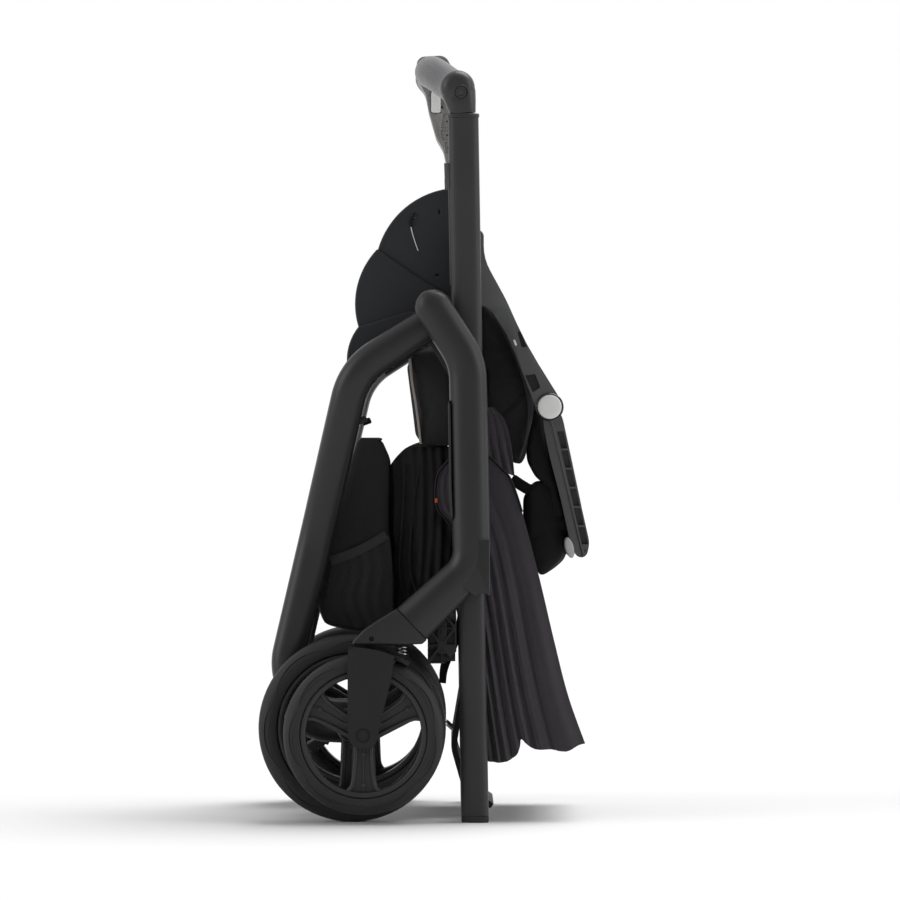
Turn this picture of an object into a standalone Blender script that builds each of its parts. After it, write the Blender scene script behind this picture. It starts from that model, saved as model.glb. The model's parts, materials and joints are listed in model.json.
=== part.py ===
"""A convertible stroller, folded and standing on its rear wheels and handle feet.

Metres, +Z up, +X the way it drives, -Y its right side. The origin is the middle of the
floor under it. Sizes across the stroller are distances from its middle plane, and the
right piece is built first, then its twin on the other side.
"""

import math

import bmesh
import bpy
from mathutils import Matrix, Vector
from mathutils.geometry import interpolate_bezier

# Clearances
GAP = 0.0003
RUNNING = 0.0005
PIVOT_GAP = 0.0003
PAST = 0.0100

# Hub that the rear legs, the seat back and the seat base turn on
HUB = (0.0109, 0.5836)
HUB_PIN_RADIUS = 0.0060
HUB_PIN_IN_LEG, HUB_PIN_IN_SHELL = 0.01705, 0.0160

# Telescoping handle tubes
TUBE_FOOT_X, TUBE_LEAN = 0.0586, 0.0167
TUBE_SIDE = 0.1980
TUBE_WALL, TUBE_CORNER = 0.0014, 0.0085
OUTER_WIDTH, OUTER_DEPTH = 0.0355, 0.0235
OUTER_BOTTOM, OUTER_TOP = 0.2750, 0.8232
COLLAR_HEIGHT, COLLAR_STEP = 0.0042, 0.0009
RAIL_LENGTH, RAIL_BELOW_TOP, RAIL_DEPTH, RAIL_WIDTH = 0.1415, 0.0572, 0.0055, 0.0090
FOOT_HEIGHT, FOOT_PLUG = 0.0075, 0.0200
TUBE_REAR_AT_HUB = TUBE_FOOT_X - TUBE_LEAN * HUB[1] - OUTER_WIDTH / 2

# Front legs and their crossbeam
LEG_THICKNESS, LEG_CORNER = 0.0360, 0.0140
LEG_INNER = TUBE_SIDE + OUTER_DEPTH / 2 + COLLAR_STEP + GAP
LEG_TOP = (0.0099, 0.5980)
LEG_BEND, LEG_BEND_RADIUS = (0.0499, 0.5347), 0.075
LEG_ELBOW, LEG_ELBOW_RADIUS = (0.0548, 0.2984), 0.045
LEG_TOP_WIDTH, LEG_WIDTH, LEG_SEAM_WIDTH = 0.0420, 0.0440, 0.0500
WEB_SET_IN = 0.0020
LIP_BOTTOM, LIP_TOP, LIP_WIDTH, LIP_PROUD = 0.3600, 0.4850, 0.0140, 0.0022
PAD_RADIUS, PAD_IN_LEG, PAD_BELOW_BEND = 0.0110, 0.0040, 0.0350
BEAM_LEFT, BEAM_RIGHT, BEAM_BOTTOM, BEAM_TOP = 0.0035, 0.0370, 0.1850, 0.2470
BEAM_RIBS, BEAM_RIB_THICKNESS, BEAM_INSET, BEAM_CORNER = 15, 0.0026, 0.0100, 0.012

# Casters
CASTER_SIDE = LEG_INNER + LEG_THICKNESS / 2
SWIVEL = (-0.0144, 0.2317)
SWIVEL_ANGLE = math.radians(44.0)
SEAM_GAP = 0.0006
FRONT_AXLE = (-0.0703, 0.1041)
FRONT_RADIUS, FRONT_TYRE_HEIGHT = 0.0931, 0.0196
FRONT_SET_OUT, FRONT_WIDTH = 0.00605, 0.0320
FRONT_INNER = CASTER_SIDE + FRONT_SET_OUT - FRONT_WIDTH / 2
FRONT_OUTER = FRONT_INNER + FRONT_WIDTH
FRONT_BOLT_RADIUS, FRONT_BOLT_IN_WHEEL, FRONT_BOLT_PROUD = 0.0050, 0.0280, 0.0008
FORK_ROOM, FORK_THICKNESS, FORK_BEVEL = 0.0025, 0.0085, 0.0025
FORK_INNER = FRONT_OUTER + FORK_ROOM
FORK_OUTER = FORK_INNER + FORK_THICKNESS
FORK_WHEEL_GAP = 0.0015
FORK_PIVOT = (-0.0607, 0.2160)
FORK_EAR_RADIUS, FORK_EAR_ROOM, FORK_EAR_FOOT = 0.0085, 0.0015, 0.2010
FORK_EAR_SET_OUT, FORK_EAR_THICKNESS = 0.00305, 0.0100
FORK_EAR_INNER = CASTER_SIDE + FORK_EAR_SET_OUT - FORK_EAR_THICKNESS / 2
FORK_EAR_OUTER = FORK_EAR_INNER + FORK_EAR_THICKNESS
FORK_PIN_RADIUS, FORK_PIN_IN_HEAD = 0.0030, 0.0030
SPRING_X, SPRING_BOTTOM, SPRING_TOP = -0.0262, 0.1954, 0.2072
SPRING_RADIUS, SPRING_WIRE, SPRING_TURNS = 0.0055, 0.0010, 2.5

# Rear frame
REAR_RADIUS, REAR_TYRE_HEIGHT = 0.1092, 0.0222
REAR_AXLE = (-0.0844, REAR_RADIUS)
REAR_LEG_WIDTH, REAR_LEG_THICKNESS, REAR_LEG_CORNER = 0.0400, 0.0325, 0.0130
REAR_LEG_SET_IN, REAR_LEG_FOOT_SIDE = 0.0057, 0.1420
REAR_LEG_HUB_SIDE = TUBE_SIDE - REAR_LEG_SET_IN
REAR_LEG_FACE = REAR_LEG_FOOT_SIDE + REAR_LEG_THICKNESS / 2
HUB_END_ROOM, HUB_END_TAPER = 0.0010, 0.0700
HUB_END_RADIUS = TUBE_REAR_AT_HUB - HUB[0] - HUB_END_ROOM
REAR_WHEEL_ROOM, REAR_WIDTH = 0.00575, 0.0360
REAR_INNER = REAR_LEG_FACE + REAR_WHEEL_ROOM
REAR_OUTER = REAR_INNER + REAR_WIDTH
SPLAY_TOP, SPLAY_BOTTOM, SPLAY_STEP = 0.5300, 0.3100, 0.1200
REAR_KNEE, REAR_KNEE_RADIUS = (-0.0818, 0.5245), 0.078
REAR_SHIN, REAR_SHIN_RADIUS = (-0.1610, 0.1850), 0.060
REAR_HEEL, REAR_HEEL_RADIUS = (REAR_AXLE[0] - 0.0636, REAR_AXLE[1] + 0.0028), 0.045
AXLE_TUBE_RADIUS, AXLE_STUB_RADIUS, AXLE_COLLAR, AXLE_INSET = 0.0110, 0.0060, 0.0080, 0.0010
AXLE_SIDES = 20
BASKET_WALL, BASKET_ROOM = 0.0035, 0.0005
PEDAL_SIDE, PEDAL_LENGTH, PEDAL_ANGLE, PEDAL_WALL = 0.0350, 0.0620, math.radians(207), 0.0050

# Wheels
WHEEL_STEPS, HUB_SIDES = 24, 12
WHEEL_HUB_RADIUS, WHEEL_HUB_BEVEL, WHEEL_HUB_SHARE = 0.0170, 0.0015, 0.85
TYRE_SHOULDER, RIM_WALL, RIM_WELL_DROP = 0.0090, 0.0080, 0.0030
SPOKE_TURNS = (30, 150, 270)
SPOKE_START, SPOKE_ROOT, SPOKE_TIP, SPOKE_EDGE = 0.0120, 0.0120, 0.0160, 0.0045
WEB_SHARE, EDGE_SHARE, RIB_SHARE, RIB_HALF = 0.25, 0.60, 0.45, 0.0011

# Handle
HEAD_RISE, HEAD_SET_BACK = 0.0308, 0.00634
HEAD_Z = OUTER_TOP + HEAD_RISE
HEAD_AT = (TUBE_FOOT_X - TUBE_LEAN * HEAD_Z - HEAD_SET_BACK, HEAD_Z)
HEAD_RADIUS, HEAD_LENGTH, HEAD_BEVEL = 0.0205, 0.0220, 0.0030
HEAD_INNER = TUBE_SIDE - HEAD_LENGTH
SLEEVE_WIDTH, SLEEVE_DEPTH = OUTER_WIDTH - 0.0053, OUTER_DEPTH - 0.0009
SLEEVE_TOP = HEAD_Z - 0.0020
BOLT_AT = (HEAD_AT[0] + 0.0043, HEAD_AT[1] - 0.0064)
BOLT_RING_RADIUS, BOLT_RING_PROUD, BOLT_HEX_RADIUS, BOLT_HEX_DEPTH = 0.0093, 0.0010, 0.0026, 0.0025
BAR_MIDDLE = (HEAD_AT[0] - 0.0311, HEAD_AT[1] + 0.0270)
BAR_RADIUS = 0.0110
BAR_STRAIGHT, BAR_PULL, BAR_TURN, BAR_STEPS = 0.0060, 0.0550, 0.0280, 6
GRIP_RADIUS = 0.0193
UNIT_SIDE, UNIT_BEVEL = 0.0440, 0.0020
BUTTON_AT = (BAR_MIDDLE[0] + 0.0059, BAR_MIDDLE[1] - 0.03475)
BUTTON_HALF_X, BUTTON_HALF_Z, BUTTON_CORNER = 0.0056, 0.01275, 0.0025
BUTTON_PROUD, BUTTON_DEPTH, BUTTON_TRAVEL = 0.0025, 0.0030, 0.0025

# Seat, from its arms inwards
ARM_ROOM, ARM_THICKNESS, ARM_BEVEL = 0.01005, 0.0180, 0.0040
ARM_OUTER = REAR_LEG_HUB_SIDE - REAR_LEG_THICKNESS / 2 - ARM_ROOM
ARM_INNER = ARM_OUTER - ARM_THICKNESS
HIP_ROOM, HIP_DEPTH, HIP_STEP, HIP_LAP = 0.0020, 0.0180, 0.0050, 0.0035
HIP_INNER = ARM_INNER - HIP_ROOM - HIP_DEPTH
HIP_COVER_SHRINK, HIP_COVER_FRONT = 0.80, -0.0030
LOBES = (
    ((0.0412, 0.6403), 0.1002, (100, 166),
     ((0.0000, 0.5660), (0.0360, 0.5060), (0.0560, 0.5060), (0.0560, 0.7380))),
    ((0.0107, 0.6040), 0.0926, (136, 198),
     ((0.0200, 0.5650), (0.0350, 0.6100), (0.0000, 0.6300))),
    ((-0.0292, 0.5384), 0.0622, (141, 184),
     ((-0.0700, 0.5180), (0.0150, 0.5690), (0.0250, 0.5950), (-0.0200, 0.5950))),
)
BACK_TOP_SIDE = HIP_INNER - RUNNING
BACK_SIDE = HIP_INNER + 0.0120
BACK_HEAD_SIDE = BACK_SIDE - 0.0400
BACK_SHOULDER, BACK_NECK, BACK_HEAD = 0.4700, 0.1600, 0.0200
BACK_X, BACK_THICKNESS = 0.0480, 0.0070
BACK_REAR, BACK_FRONT = BACK_X - BACK_THICKNESS / 2 - GAP, BACK_X + BACK_THICKNESS / 2 + GAP
BACK_PAD_SIDE = HIP_INNER - 0.0030
COVER_SIDE = HIP_INNER - 0.0060
CAP_AT = (0.1458, 0.4831)
CAP_RADIUS, CAP_RING_RADIUS, CAP_RING_PROUD, CAP_TRAVEL = 0.0140, 0.0164, 0.0020, 0.0040
CAP_OUTER = ARM_OUTER + 0.0045
CAP_INNER = CAP_OUTER - 0.0080
CAP_SIDES = 16
SEAT_PAD_SIDE = ARM_INNER - 0.0260
SEAT_BOARD_THICKNESS = 0.0060
LEG_REST_ROOM, LEG_REST_RAIL, LEG_REST_BEVEL = 0.0240, 0.0180, 0.0030
LEG_REST_SIDE = ARM_INNER - LEG_REST_ROOM
LEG_REST_PIVOT_RADIUS, LEG_REST_PANEL = 0.0090, 0.0040
LEG_REST_EDGE, LEG_REST_LEAN = (0.1738, 0.4152), 0.217
LEG_REST_RUNGS, LEG_REST_TOP_RUNG, LEG_REST_RUNG_PITCH = 7, 0.4560, 0.0225
RUNG_DEPTH, RUNG_INSET, RUNG_RISE = 0.0085, 0.0015, 0.0022
TRIM_AT, TRIM_HALF_WIDTH, TRIM_HALF_HEIGHT = (0.1700, 0.3180), 0.0052, 0.0125
TRIM_LEAN, TRIM_STEPS, TRIM_PROUD = math.radians(-14), 16, 0.0010
LEVER_PIVOT, LEVER_SIDE = (0.0305, 0.1020), 0.0300

# Canopy: its parts are wedges between two angles, each in its own layer
CANOPY_AT = (0.0470, 0.3885)
CANOPY_RADIUS, CANOPY_THICKNESS = 0.3170, 0.0130
CANOPY_LAYER, CANOPY_LAYER_PITCH, CANOPY_ROOM = 0.0030, 0.0033, 0.01375
CANOPY_INNER = TUBE_SIDE - OUTER_DEPTH / 2 - CANOPY_ROOM
CANOPY_PIN_RADIUS, CANOPY_BOSS_RADIUS, CANOPY_SINK = 0.0055, 0.0120, 0.0004
CANOPY_PARTS = {
    "rear": (0, -85.5, -79.0, ((0.0283, 0.4200), (0.0135, 0.3980), (0.0120, 0.3700), (0.0272, 0.3510))),
    "middle": (1, -78.4, -72.4, ()),
    "front": (2, -71.8, -65.0, ((0.1345, 0.2812), (0.1200, 0.3395), (0.1090, 0.3750),
                                (0.0930, 0.4060), (0.0750, 0.4180))),
}

FINISHES = {
    "tube": ((0.020, 0.021, 0.023), 0.45, 0.6),
    "plastic": ((0.014, 0.014, 0.015), 0.50, 0.0),
    "light_plastic": ((0.72, 0.73, 0.75), 0.35, 0.0),
    "rubber": ((0.018, 0.018, 0.018), 0.75, 0.0),
    "steel": ((0.55, 0.56, 0.58), 0.30, 1.0),
    "fabric": ((0.012, 0.011, 0.013), 0.90, 0.0),
    "foam": ((0.022, 0.022, 0.024), 0.70, 0.0),
}

SIDES = {"right": -1, "left": 1}
STRAIGHT = math.radians(1)
FILLET_STEP, BEND_STEP = math.radians(45), math.radians(30)


def clear_scene():
    """Starts from an empty scene."""
    for obj in list(bpy.data.objects):
        bpy.data.objects.remove(obj, do_unlink=True)


def make_finishes():
    """One Principled material per finish."""
    made = {}
    for name, (colour, roughness, metallic) in FINISHES.items():
        material = bpy.data.materials.new(name)
        material.use_nodes = True
        shader = material.node_tree.nodes["Principled BSDF"]
        shader.inputs["Base Color"].default_value = (*colour, 1.0)
        shader.inputs["Roughness"].default_value = roughness
        shader.inputs["Metallic"].default_value = metallic
        made[name] = material
    return made


def at(xz, y=0.0):
    """A point of the side view, at a distance across."""
    return Vector((xz[0], y, xz[1]))


def tube_x(z):
    """Centre of the leaning handle tubes at a height."""
    return TUBE_FOOT_X - TUBE_LEAN * z


def arc(centre, radius, start, end, steps):
    """Points of an arc in the side view, in degrees, counter-clockwise from +X."""
    turns = (math.radians(start + (end - start) * i / steps) for i in range(steps + 1))
    return [(centre[0] + radius * math.cos(a), centre[1] + radius * math.sin(a)) for a in turns]


def rounded(corners, closed=True, step=FILLET_STEP):
    """An outline from corners (x, z, fillet radius), each corner turned into an arc."""
    points = []
    count = len(corners)
    for i, (x, z, radius) in enumerate(corners):
        here = Vector((x, z))
        if radius == 0 or (not closed and i in (0, count - 1)):
            points.append((x, z))
            continue
        before = (Vector(corners[i - 1][:2]) - here).normalized()
        after = (Vector(corners[(i + 1) % count][:2]) - here).normalized()
        between = before.angle(after)
        if math.pi - between < STRAIGHT:
            points.append((x, z))
            continue
        reach = radius / math.tan(between / 2)
        centre = here + (before + after).normalized() * (radius / math.sin(between / 2))
        first = here + before * reach - centre
        turn = math.pi - between
        sign = 1 if before.x * after.y - before.y * after.x < 0 else -1
        steps = max(2, round(turn / step))
        for k in range(steps + 1):
            spoke = first.copy()
            spoke.rotate(Matrix.Rotation(sign * turn * k / steps, 2))
            points.append(tuple(centre + spoke))
    return points


def shifted(corners, by):
    """Corners given from a point, moved to it."""
    return [(x + by[0], z + by[1], radius) for x, z, radius in corners]


def thick_line(corners, thickness):
    """A closed outline with the given thickness around an open rounded line."""
    line = [Vector(p) for p in rounded(corners, closed=False)]
    sides = ([], [])
    for i, point in enumerate(line):
        along = (line[min(i + 1, len(line) - 1)] - line[max(i - 1, 0)]).normalized()
        across = Vector((-along.y, along.x)) * thickness / 2
        sides[0].append(tuple(point + across))
        sides[1].append(tuple(point - across))
    return sides[0] + sides[1][::-1]


def closed_up(bm):
    """Merges what touches and points every face outwards."""
    bmesh.ops.remove_doubles(bm, verts=bm.verts, dist=1e-6)
    bmesh.ops.recalc_face_normals(bm, faces=bm.faces)
    return bm


def prism(outline, y0, y1, bevel=0.0, segments=1):
    """An outline of the side view extruded across, with its long edges rounded."""
    bm = bmesh.new()
    verts = [bm.verts.new((x, min(y0, y1), z)) for x, z in outline]
    face = bm.faces.new(verts)
    grown = bmesh.ops.extrude_face_region(bm, geom=[face])
    moved = [v for v in grown["geom"] if isinstance(v, bmesh.types.BMVert)]
    bmesh.ops.translate(bm, verts=moved, vec=(0, abs(y1 - y0), 0))
    if bevel:
        caps = [f for f in bm.faces if len(f.verts) == len(outline)]
        rims = list({e for f in caps for e in f.edges})
        bmesh.ops.bevel(
            bm, geom=rims, offset=bevel, offset_type="OFFSET", segments=segments, profile=0.5,
            affect="EDGES", clamp_overlap=True, material=-1,
        )
    return closed_up(bm)


def cylinder(xz, radius, y0, y1, sides=12, bevel=0.0):
    """A round bar across the stroller."""
    return prism(arc(xz, radius, 0, 360 - 360 / sides, sides - 1), y0, y1, bevel, 1)


def section(width, depth, corner, per_corner=2):
    """A rounded rectangle: its width lies in the side view, its depth across."""
    corner = min(corner, width / 2 - 1e-5, depth / 2 - 1e-5)
    points = []
    for quarter, (sx, sy) in enumerate(((1, 1), (-1, 1), (-1, -1), (1, -1))):
        cx, cy = sx * (width / 2 - corner), sy * (depth / 2 - corner)
        for k in range(per_corner + 1):
            a = math.radians(90 * (quarter + k / per_corner))
            points.append((cx + corner * math.cos(a), cy + corner * math.sin(a)))
    return points


def rings_along(bm, path, sections, across):
    """Places each section square to the path, its depth along the given direction."""
    rings = []
    for i, (point, shape) in enumerate(zip(path, sections)):
        along = (path[min(i + 1, len(path) - 1)] - path[max(i - 1, 0)]).normalized()
        depth = (across - along * across.dot(along)).normalized()
        width = depth.cross(along)
        rings.append([bm.verts.new(point + width * u + depth * v) for u, v in shape])
    return rings


def skin(bm, rings):
    """Joins each ring to the next with faces."""
    for low, high in zip(rings, rings[1:]):
        for k in range(len(low)):
            n = (k + 1) % len(low)
            bm.faces.new((low[k], low[n], high[n], high[k]))


def swept(path, sections, across=Vector((0, 1, 0)), bore=None):
    """A bar along a path, or a tube if bore gives its inner sections."""
    bm = bmesh.new()
    rings = rings_along(bm, path, sections, across)
    if bore:
        rings += rings_along(bm, path, bore, across)[::-1]
        rings.append(rings[0])
    skin(bm, rings)
    if not bore:
        bm.faces.new(rings[0])
        bm.faces.new(rings[-1])
    return closed_up(bm)


def round_end(radius, steps=2):
    """(how far back from the tip, share of full width) for a rounded end."""
    return [
        (radius * (1 - math.cos(a)), max(math.sin(a), 0.18))
        for a in (math.pi / 2 * k / steps for k in range(steps + 1))
    ]


def leg_path(corners):
    """The rounded centre line of a leg, in the side view."""
    return [Vector((x, 0, z)) for x, z in rounded(corners, closed=False, step=BEND_STEP)]


def divided(path, longest):
    """The path with points added so that no stretch is longer than a given length."""
    points = [path[0]]
    for a, b in zip(path, path[1:]):
        count = math.ceil((b - a).length / longest)
        points += [a.lerp(b, k / count) for k in range(1, count + 1)]
    return points


def rounded_start(path, radius):
    """The path with its start stretched into a round nose, and each point's share of width."""
    along = (path[0] - path[1]).normalized()
    nose = [(path[0] + along * (radius - back), share) for back, share in round_end(radius)]
    return [p for p, _ in nose] + path[1:], [s for _, s in nose] + [1.0] * (len(path) - 1)


def turned(profile, xz, steps=WHEEL_STEPS):
    """A closed profile of (y, radius) spun about the axis across through a point."""
    bm = bmesh.new()
    verts = [bm.verts.new((xz[0], y, xz[1] + r)) for y, r in profile]
    edges = [bm.edges.new((a, b)) for a, b in zip(verts, verts[1:] + verts[:1])]
    bmesh.ops.spin(
        bm, geom=verts + edges, cent=at(xz), axis=(0, 1, 0), angle=2 * math.pi, steps=steps,
        use_merge=True, use_duplicate=False,
    )
    return closed_up(bm)


class Builder:
    """Makes the named objects, each on the empty of the body it moves with."""

    def __init__(self):
        self.finishes = make_finishes()
        self.empties = {}

    def body(self, name, pivot, parent=None):
        """An empty on the joint that a group of pieces turns or slides on."""
        empty = bpy.data.objects.new(f"{name}_pivot", None)
        bpy.context.scene.collection.objects.link(empty)
        empty.location = pivot
        if parent:
            empty.parent = self.empties[parent]
            empty.location = Vector(pivot) - self.place_of(parent)
        empty["place"] = list(pivot)
        self.empties[name] = empty

    def place_of(self, body):
        """World position of a body's empty."""
        return Vector(self.empties[body]["place"])

    def helper(self, name, bm, body):
        """A hidden mesh that is joined to a piece or cut from it."""
        obj = self.mesh_object(name, bm, body)
        obj.hide_render = True
        obj.display_type = "WIRE"
        return obj

    def mesh_object(self, name, bm, body):
        """A mesh object whose origin lies on its body's pivot."""
        bmesh.ops.translate(bm, verts=bm.verts, vec=-self.place_of(body))
        mesh = bpy.data.meshes.new(name)
        bm.to_mesh(mesh)
        bm.free()
        obj = bpy.data.objects.new(name, mesh)
        bpy.context.scene.collection.objects.link(obj)
        obj.parent = self.empties[body]
        return obj

    def add(self, name, bm, body, finish, join=(), cut=(), pins=()):
        """A finished piece: others are joined to it, then cut from it, then pins cross the cuts."""
        obj = self.mesh_object(name, bm, body)
        obj.data.materials.append(self.finishes[finish])
        obj.data.shade_smooth()
        obj.data.set_sharp_from_angle(angle=math.radians(35))
        for operation, others in (("UNION", join), ("DIFFERENCE", cut), ("UNION", pins)):
            for other in others:
                step = f"{operation.lower()}_{len(obj.modifiers)}"
                modifier = obj.modifiers.new(step, "BOOLEAN")
                modifier.operation = operation
                modifier.object = self.helper(f"{name}_{step}", other, body)
        return obj


def add_bodies(build):
    """Every group of pieces that moves as one, from the chassis outwards."""
    build.body("chassis", (0, 0, 0))
    build.body("rear_frame", at(HUB), "chassis")
    build.body("brake", at(REAR_AXLE), "rear_frame")
    build.body("push_bar", (TUBE_FOOT_X, 0, 0), "chassis")
    build.body("fold_button", at(BAR_MIDDLE), "push_bar")
    build.body("seat_back", at(HUB), "chassis")
    build.body("recline_lever", at(LEVER_PIVOT), "seat_back")
    build.body("canopy_middle", at(CANOPY_AT), "seat_back")
    build.body("canopy_front", at(CANOPY_AT), "seat_back")
    build.body("seat_base", at(HUB), "seat_back")
    build.body("leg_rest", at(CAP_AT), "seat_base")
    for side, sign in SIDES.items():
        build.body(f"release_button_{side}", at(CAP_AT, sign * CAP_OUTER), "seat_base")
        build.body(f"rear_wheel_{side}", at(REAR_AXLE, sign * REAR_OUTER), "rear_frame")
        build.body(f"caster_{side}", at(SWIVEL, sign * CASTER_SIDE), "chassis")
        build.body(f"fork_{side}", at(FORK_PIVOT, sign * CASTER_SIDE), f"caster_{side}")
        build.body(f"front_wheel_{side}", at(FRONT_AXLE, sign * FRONT_OUTER), f"fork_{side}")


def front_leg(sign):
    """The fat bent tube from the round head at the hub to the slanted caster seam."""
    corners = [(*LEG_TOP, 0), (*LEG_BEND, LEG_BEND_RADIUS), (*LEG_ELBOW, LEG_ELBOW_RADIUS), (*SWIVEL, 0)]
    path, shares = rounded_start(leg_path(corners), LEG_TOP_WIDTH / 2)
    seam_way = (path[-1] - path[-2]).normalized()
    path[-1] -= seam_way * SEAM_GAP / 2
    lengths = [0.0]
    for a, b in zip(path, path[1:]):
        lengths.append(lengths[-1] + (b - a).length)
    sections = []
    for length, share in zip(lengths, shares):
        t = length / lengths[-1]
        wide = LEG_TOP_WIDTH + (LEG_WIDTH - LEG_TOP_WIDTH) * min(t / 0.3, 1)
        wide += (LEG_SEAM_WIDTH - LEG_WIDTH) * max(0, (t - 0.85) / 0.15)
        deep = LEG_THICKNESS * (0.55 + 0.45 * share)
        sections.append(section(wide * share, deep, LEG_CORNER))
    bm = swept(path, sections)
    bmesh.ops.translate(bm, verts=bm.verts, vec=(0, sign * CASTER_SIDE, 0))
    return bm


def leg_corner(sign):
    """The web that fills the leg's bend and arches over the inner tube."""
    outline = rounded([
        (0.0755, 0.2632, 0.0015), (0.0752, 0.3300, 0.0), (0.0480, 0.3300, 0.0), (0.0420, 0.2750, 0.0),
        (0.0584, 0.2632, 0.002), (0.0630, 0.2670, 0.002), (0.0705, 0.2670, 0.002),
    ])
    half = LEG_THICKNESS / 2 - WEB_SET_IN
    return prism(outline, sign * (CASTER_SIDE - half), sign * (CASTER_SIDE + half), WEB_SET_IN * 2)


def leg_lip(sign):
    """The thin lip along the rear edge of the leg's straight stretch."""
    slope = (LEG_ELBOW[0] - LEG_BEND[0]) / (LEG_ELBOW[1] - LEG_BEND[1])
    edge = [LEG_BEND[0] + slope * (z - LEG_BEND[1]) - LEG_WIDTH / 2 for z in (LIP_BOTTOM, LIP_TOP)]
    outline = [
        (edge[0] + WEB_SET_IN, LIP_BOTTOM - LIP_PROUD * 2), (edge[0] - LIP_PROUD, LIP_BOTTOM + LIP_PROUD * 2),
        (edge[1] - LIP_PROUD, LIP_TOP - LIP_PROUD * 2), (edge[1] + WEB_SET_IN, LIP_TOP + LIP_PROUD * 2),
    ]
    return prism(outline, sign * (CASTER_SIDE - LIP_WIDTH / 2), sign * (CASTER_SIDE + LIP_WIDTH / 2))


def tube_pads(sign):
    """The two round pads on the leg's inner face that hold the outer tube."""
    near, far = LEG_INNER - COLLAR_STEP, LEG_INNER + PAD_IN_LEG
    levels = (LEG_ELBOW[1], LEG_BEND[1] - PAD_BELOW_BEND)
    return [cylinder((tube_x(z), z), PAD_RADIUS, sign * near, sign * far, 8) for z in levels]


def outer_tube(sign):
    """The flat hollow tube that the handle tube slides in, with its collar."""
    y = sign * TUBE_SIDE
    collar = OUTER_TOP - COLLAR_HEIGHT
    levels = [(OUTER_BOTTOM, 0), (collar - 0.0002, 0), (collar, COLLAR_STEP), (OUTER_TOP, COLLAR_STEP)]
    path = [Vector((tube_x(z), y, z)) for z, _ in levels]
    outside = [section(OUTER_WIDTH + 2 * s, OUTER_DEPTH + 2 * s, TUBE_CORNER) for _, s in levels]
    wall = 2 * TUBE_WALL
    inside = [section(OUTER_WIDTH - wall, OUTER_DEPTH - wall, TUBE_CORNER - TUBE_WALL)] * len(levels)
    return swept(path, outside, bore=inside)


def tube_rail(sign):
    """The rail on the rear face of the outer tube."""
    top = OUTER_TOP - RAIL_BELOW_TOP
    bottom = top - RAIL_LENGTH
    inside = TUBE_WALL / 2 - OUTER_WIDTH / 2
    outside = -OUTER_WIDTH / 2 - RAIL_DEPTH
    outline = [
        (tube_x(bottom) + inside, bottom), (tube_x(top) + inside, top), (tube_x(top) + outside, top),
        (tube_x(bottom) + outside + RAIL_DEPTH * 0.4, bottom),
    ]
    return prism(outline, sign * TUBE_SIDE - RAIL_WIDTH / 2, sign * TUBE_SIDE + RAIL_WIDTH / 2, 0.0012)


def crossbeam():
    """The beam between the front legs: a core with a rib at every step."""
    end = LEG_INNER - RUNNING
    left, right = BEAM_LEFT + BEAM_INSET, BEAM_RIGHT - BEAM_INSET
    low, high = BEAM_BOTTOM + BEAM_INSET, BEAM_TOP - BEAM_INSET
    core = [(left, low), (right, low), (right, high), (left, high)]
    rib = rounded([
        (BEAM_LEFT, BEAM_BOTTOM, 0.0), (BEAM_RIGHT, BEAM_BOTTOM, 0.0),
        (BEAM_RIGHT, BEAM_TOP, BEAM_CORNER), (BEAM_LEFT, BEAM_TOP, 0.0),
    ])
    half = BEAM_RIB_THICKNESS / 2
    first = half - end
    pitch = -2 * first / (BEAM_RIBS - 1)
    ribs = [prism(rib, first + k * pitch - half, first + k * pitch + half) for k in range(BEAM_RIBS)]
    return prism(core, half - end, end - half), ribs


def add_chassis(build):
    """What stays put: front legs, outer tubes, hub pins and the crossbeam."""
    for side, sign in SIDES.items():
        pin_end = LEG_INNER + HUB_PIN_IN_LEG
        pin_hole = cylinder(HUB, HUB_PIN_RADIUS + PIVOT_GAP, sign * (LEG_INNER - PAST),
                            sign * (pin_end + GAP))
        build.add(f"front_leg_{side}", front_leg(sign), "chassis", "tube",
                  join=[leg_corner(sign), leg_lip(sign), *tube_pads(sign)], cut=[pin_hole])
        build.add(f"outer_tube_{side}", outer_tube(sign), "chassis", "tube", join=[tube_rail(sign)])
        pin_start = HIP_INNER + HIP_DEPTH - HUB_PIN_IN_SHELL
        pin = cylinder(HUB, HUB_PIN_RADIUS, sign * pin_start, sign * pin_end)
        build.add(f"hub_pin_{side}", pin, "chassis", "steel")
    core, ribs = crossbeam()
    build.add("crossbeam", core, "chassis", "plastic", join=ribs)


def rear_leg(sign):
    """The bent rear leg, splayed outwards to the hub, with round ends."""
    corners = [
        (*REAR_AXLE, 0), (*REAR_HEEL, REAR_HEEL_RADIUS), (*REAR_SHIN, REAR_SHIN_RADIUS),
        (*REAR_KNEE, REAR_KNEE_RADIUS), (*HUB, 0),
    ]
    path, shares = rounded_start(divided(leg_path(corners), SPLAY_STEP), REAR_LEG_WIDTH / 2)
    back, back_shares = rounded_start(path[::-1], HUB_END_RADIUS)
    shares = back_shares[: len(back) - len(path) + 1] + shares[::-1][1:]
    for point in back:
        rise = min(max((point.z - SPLAY_BOTTOM) / (SPLAY_TOP - SPLAY_BOTTOM), 0), 1)
        splay = rise * rise * (3 - 2 * rise)
        point.y = sign * (REAR_LEG_FOOT_SIDE + (REAR_LEG_HUB_SIDE - REAR_LEG_FOOT_SIDE) * splay)
    sections = []
    for point, share in zip(back, shares):
        away = min((Vector((point.x, point.z)) - Vector(HUB)).length / HUB_END_TAPER, 1)
        wide = 2 * HUB_END_RADIUS + (REAR_LEG_WIDTH - 2 * HUB_END_RADIUS) * away
        sections.append(section(wide * share, REAR_LEG_THICKNESS * (0.6 + 0.4 * share), REAR_LEG_CORNER))
    return swept(back, sections)


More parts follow.
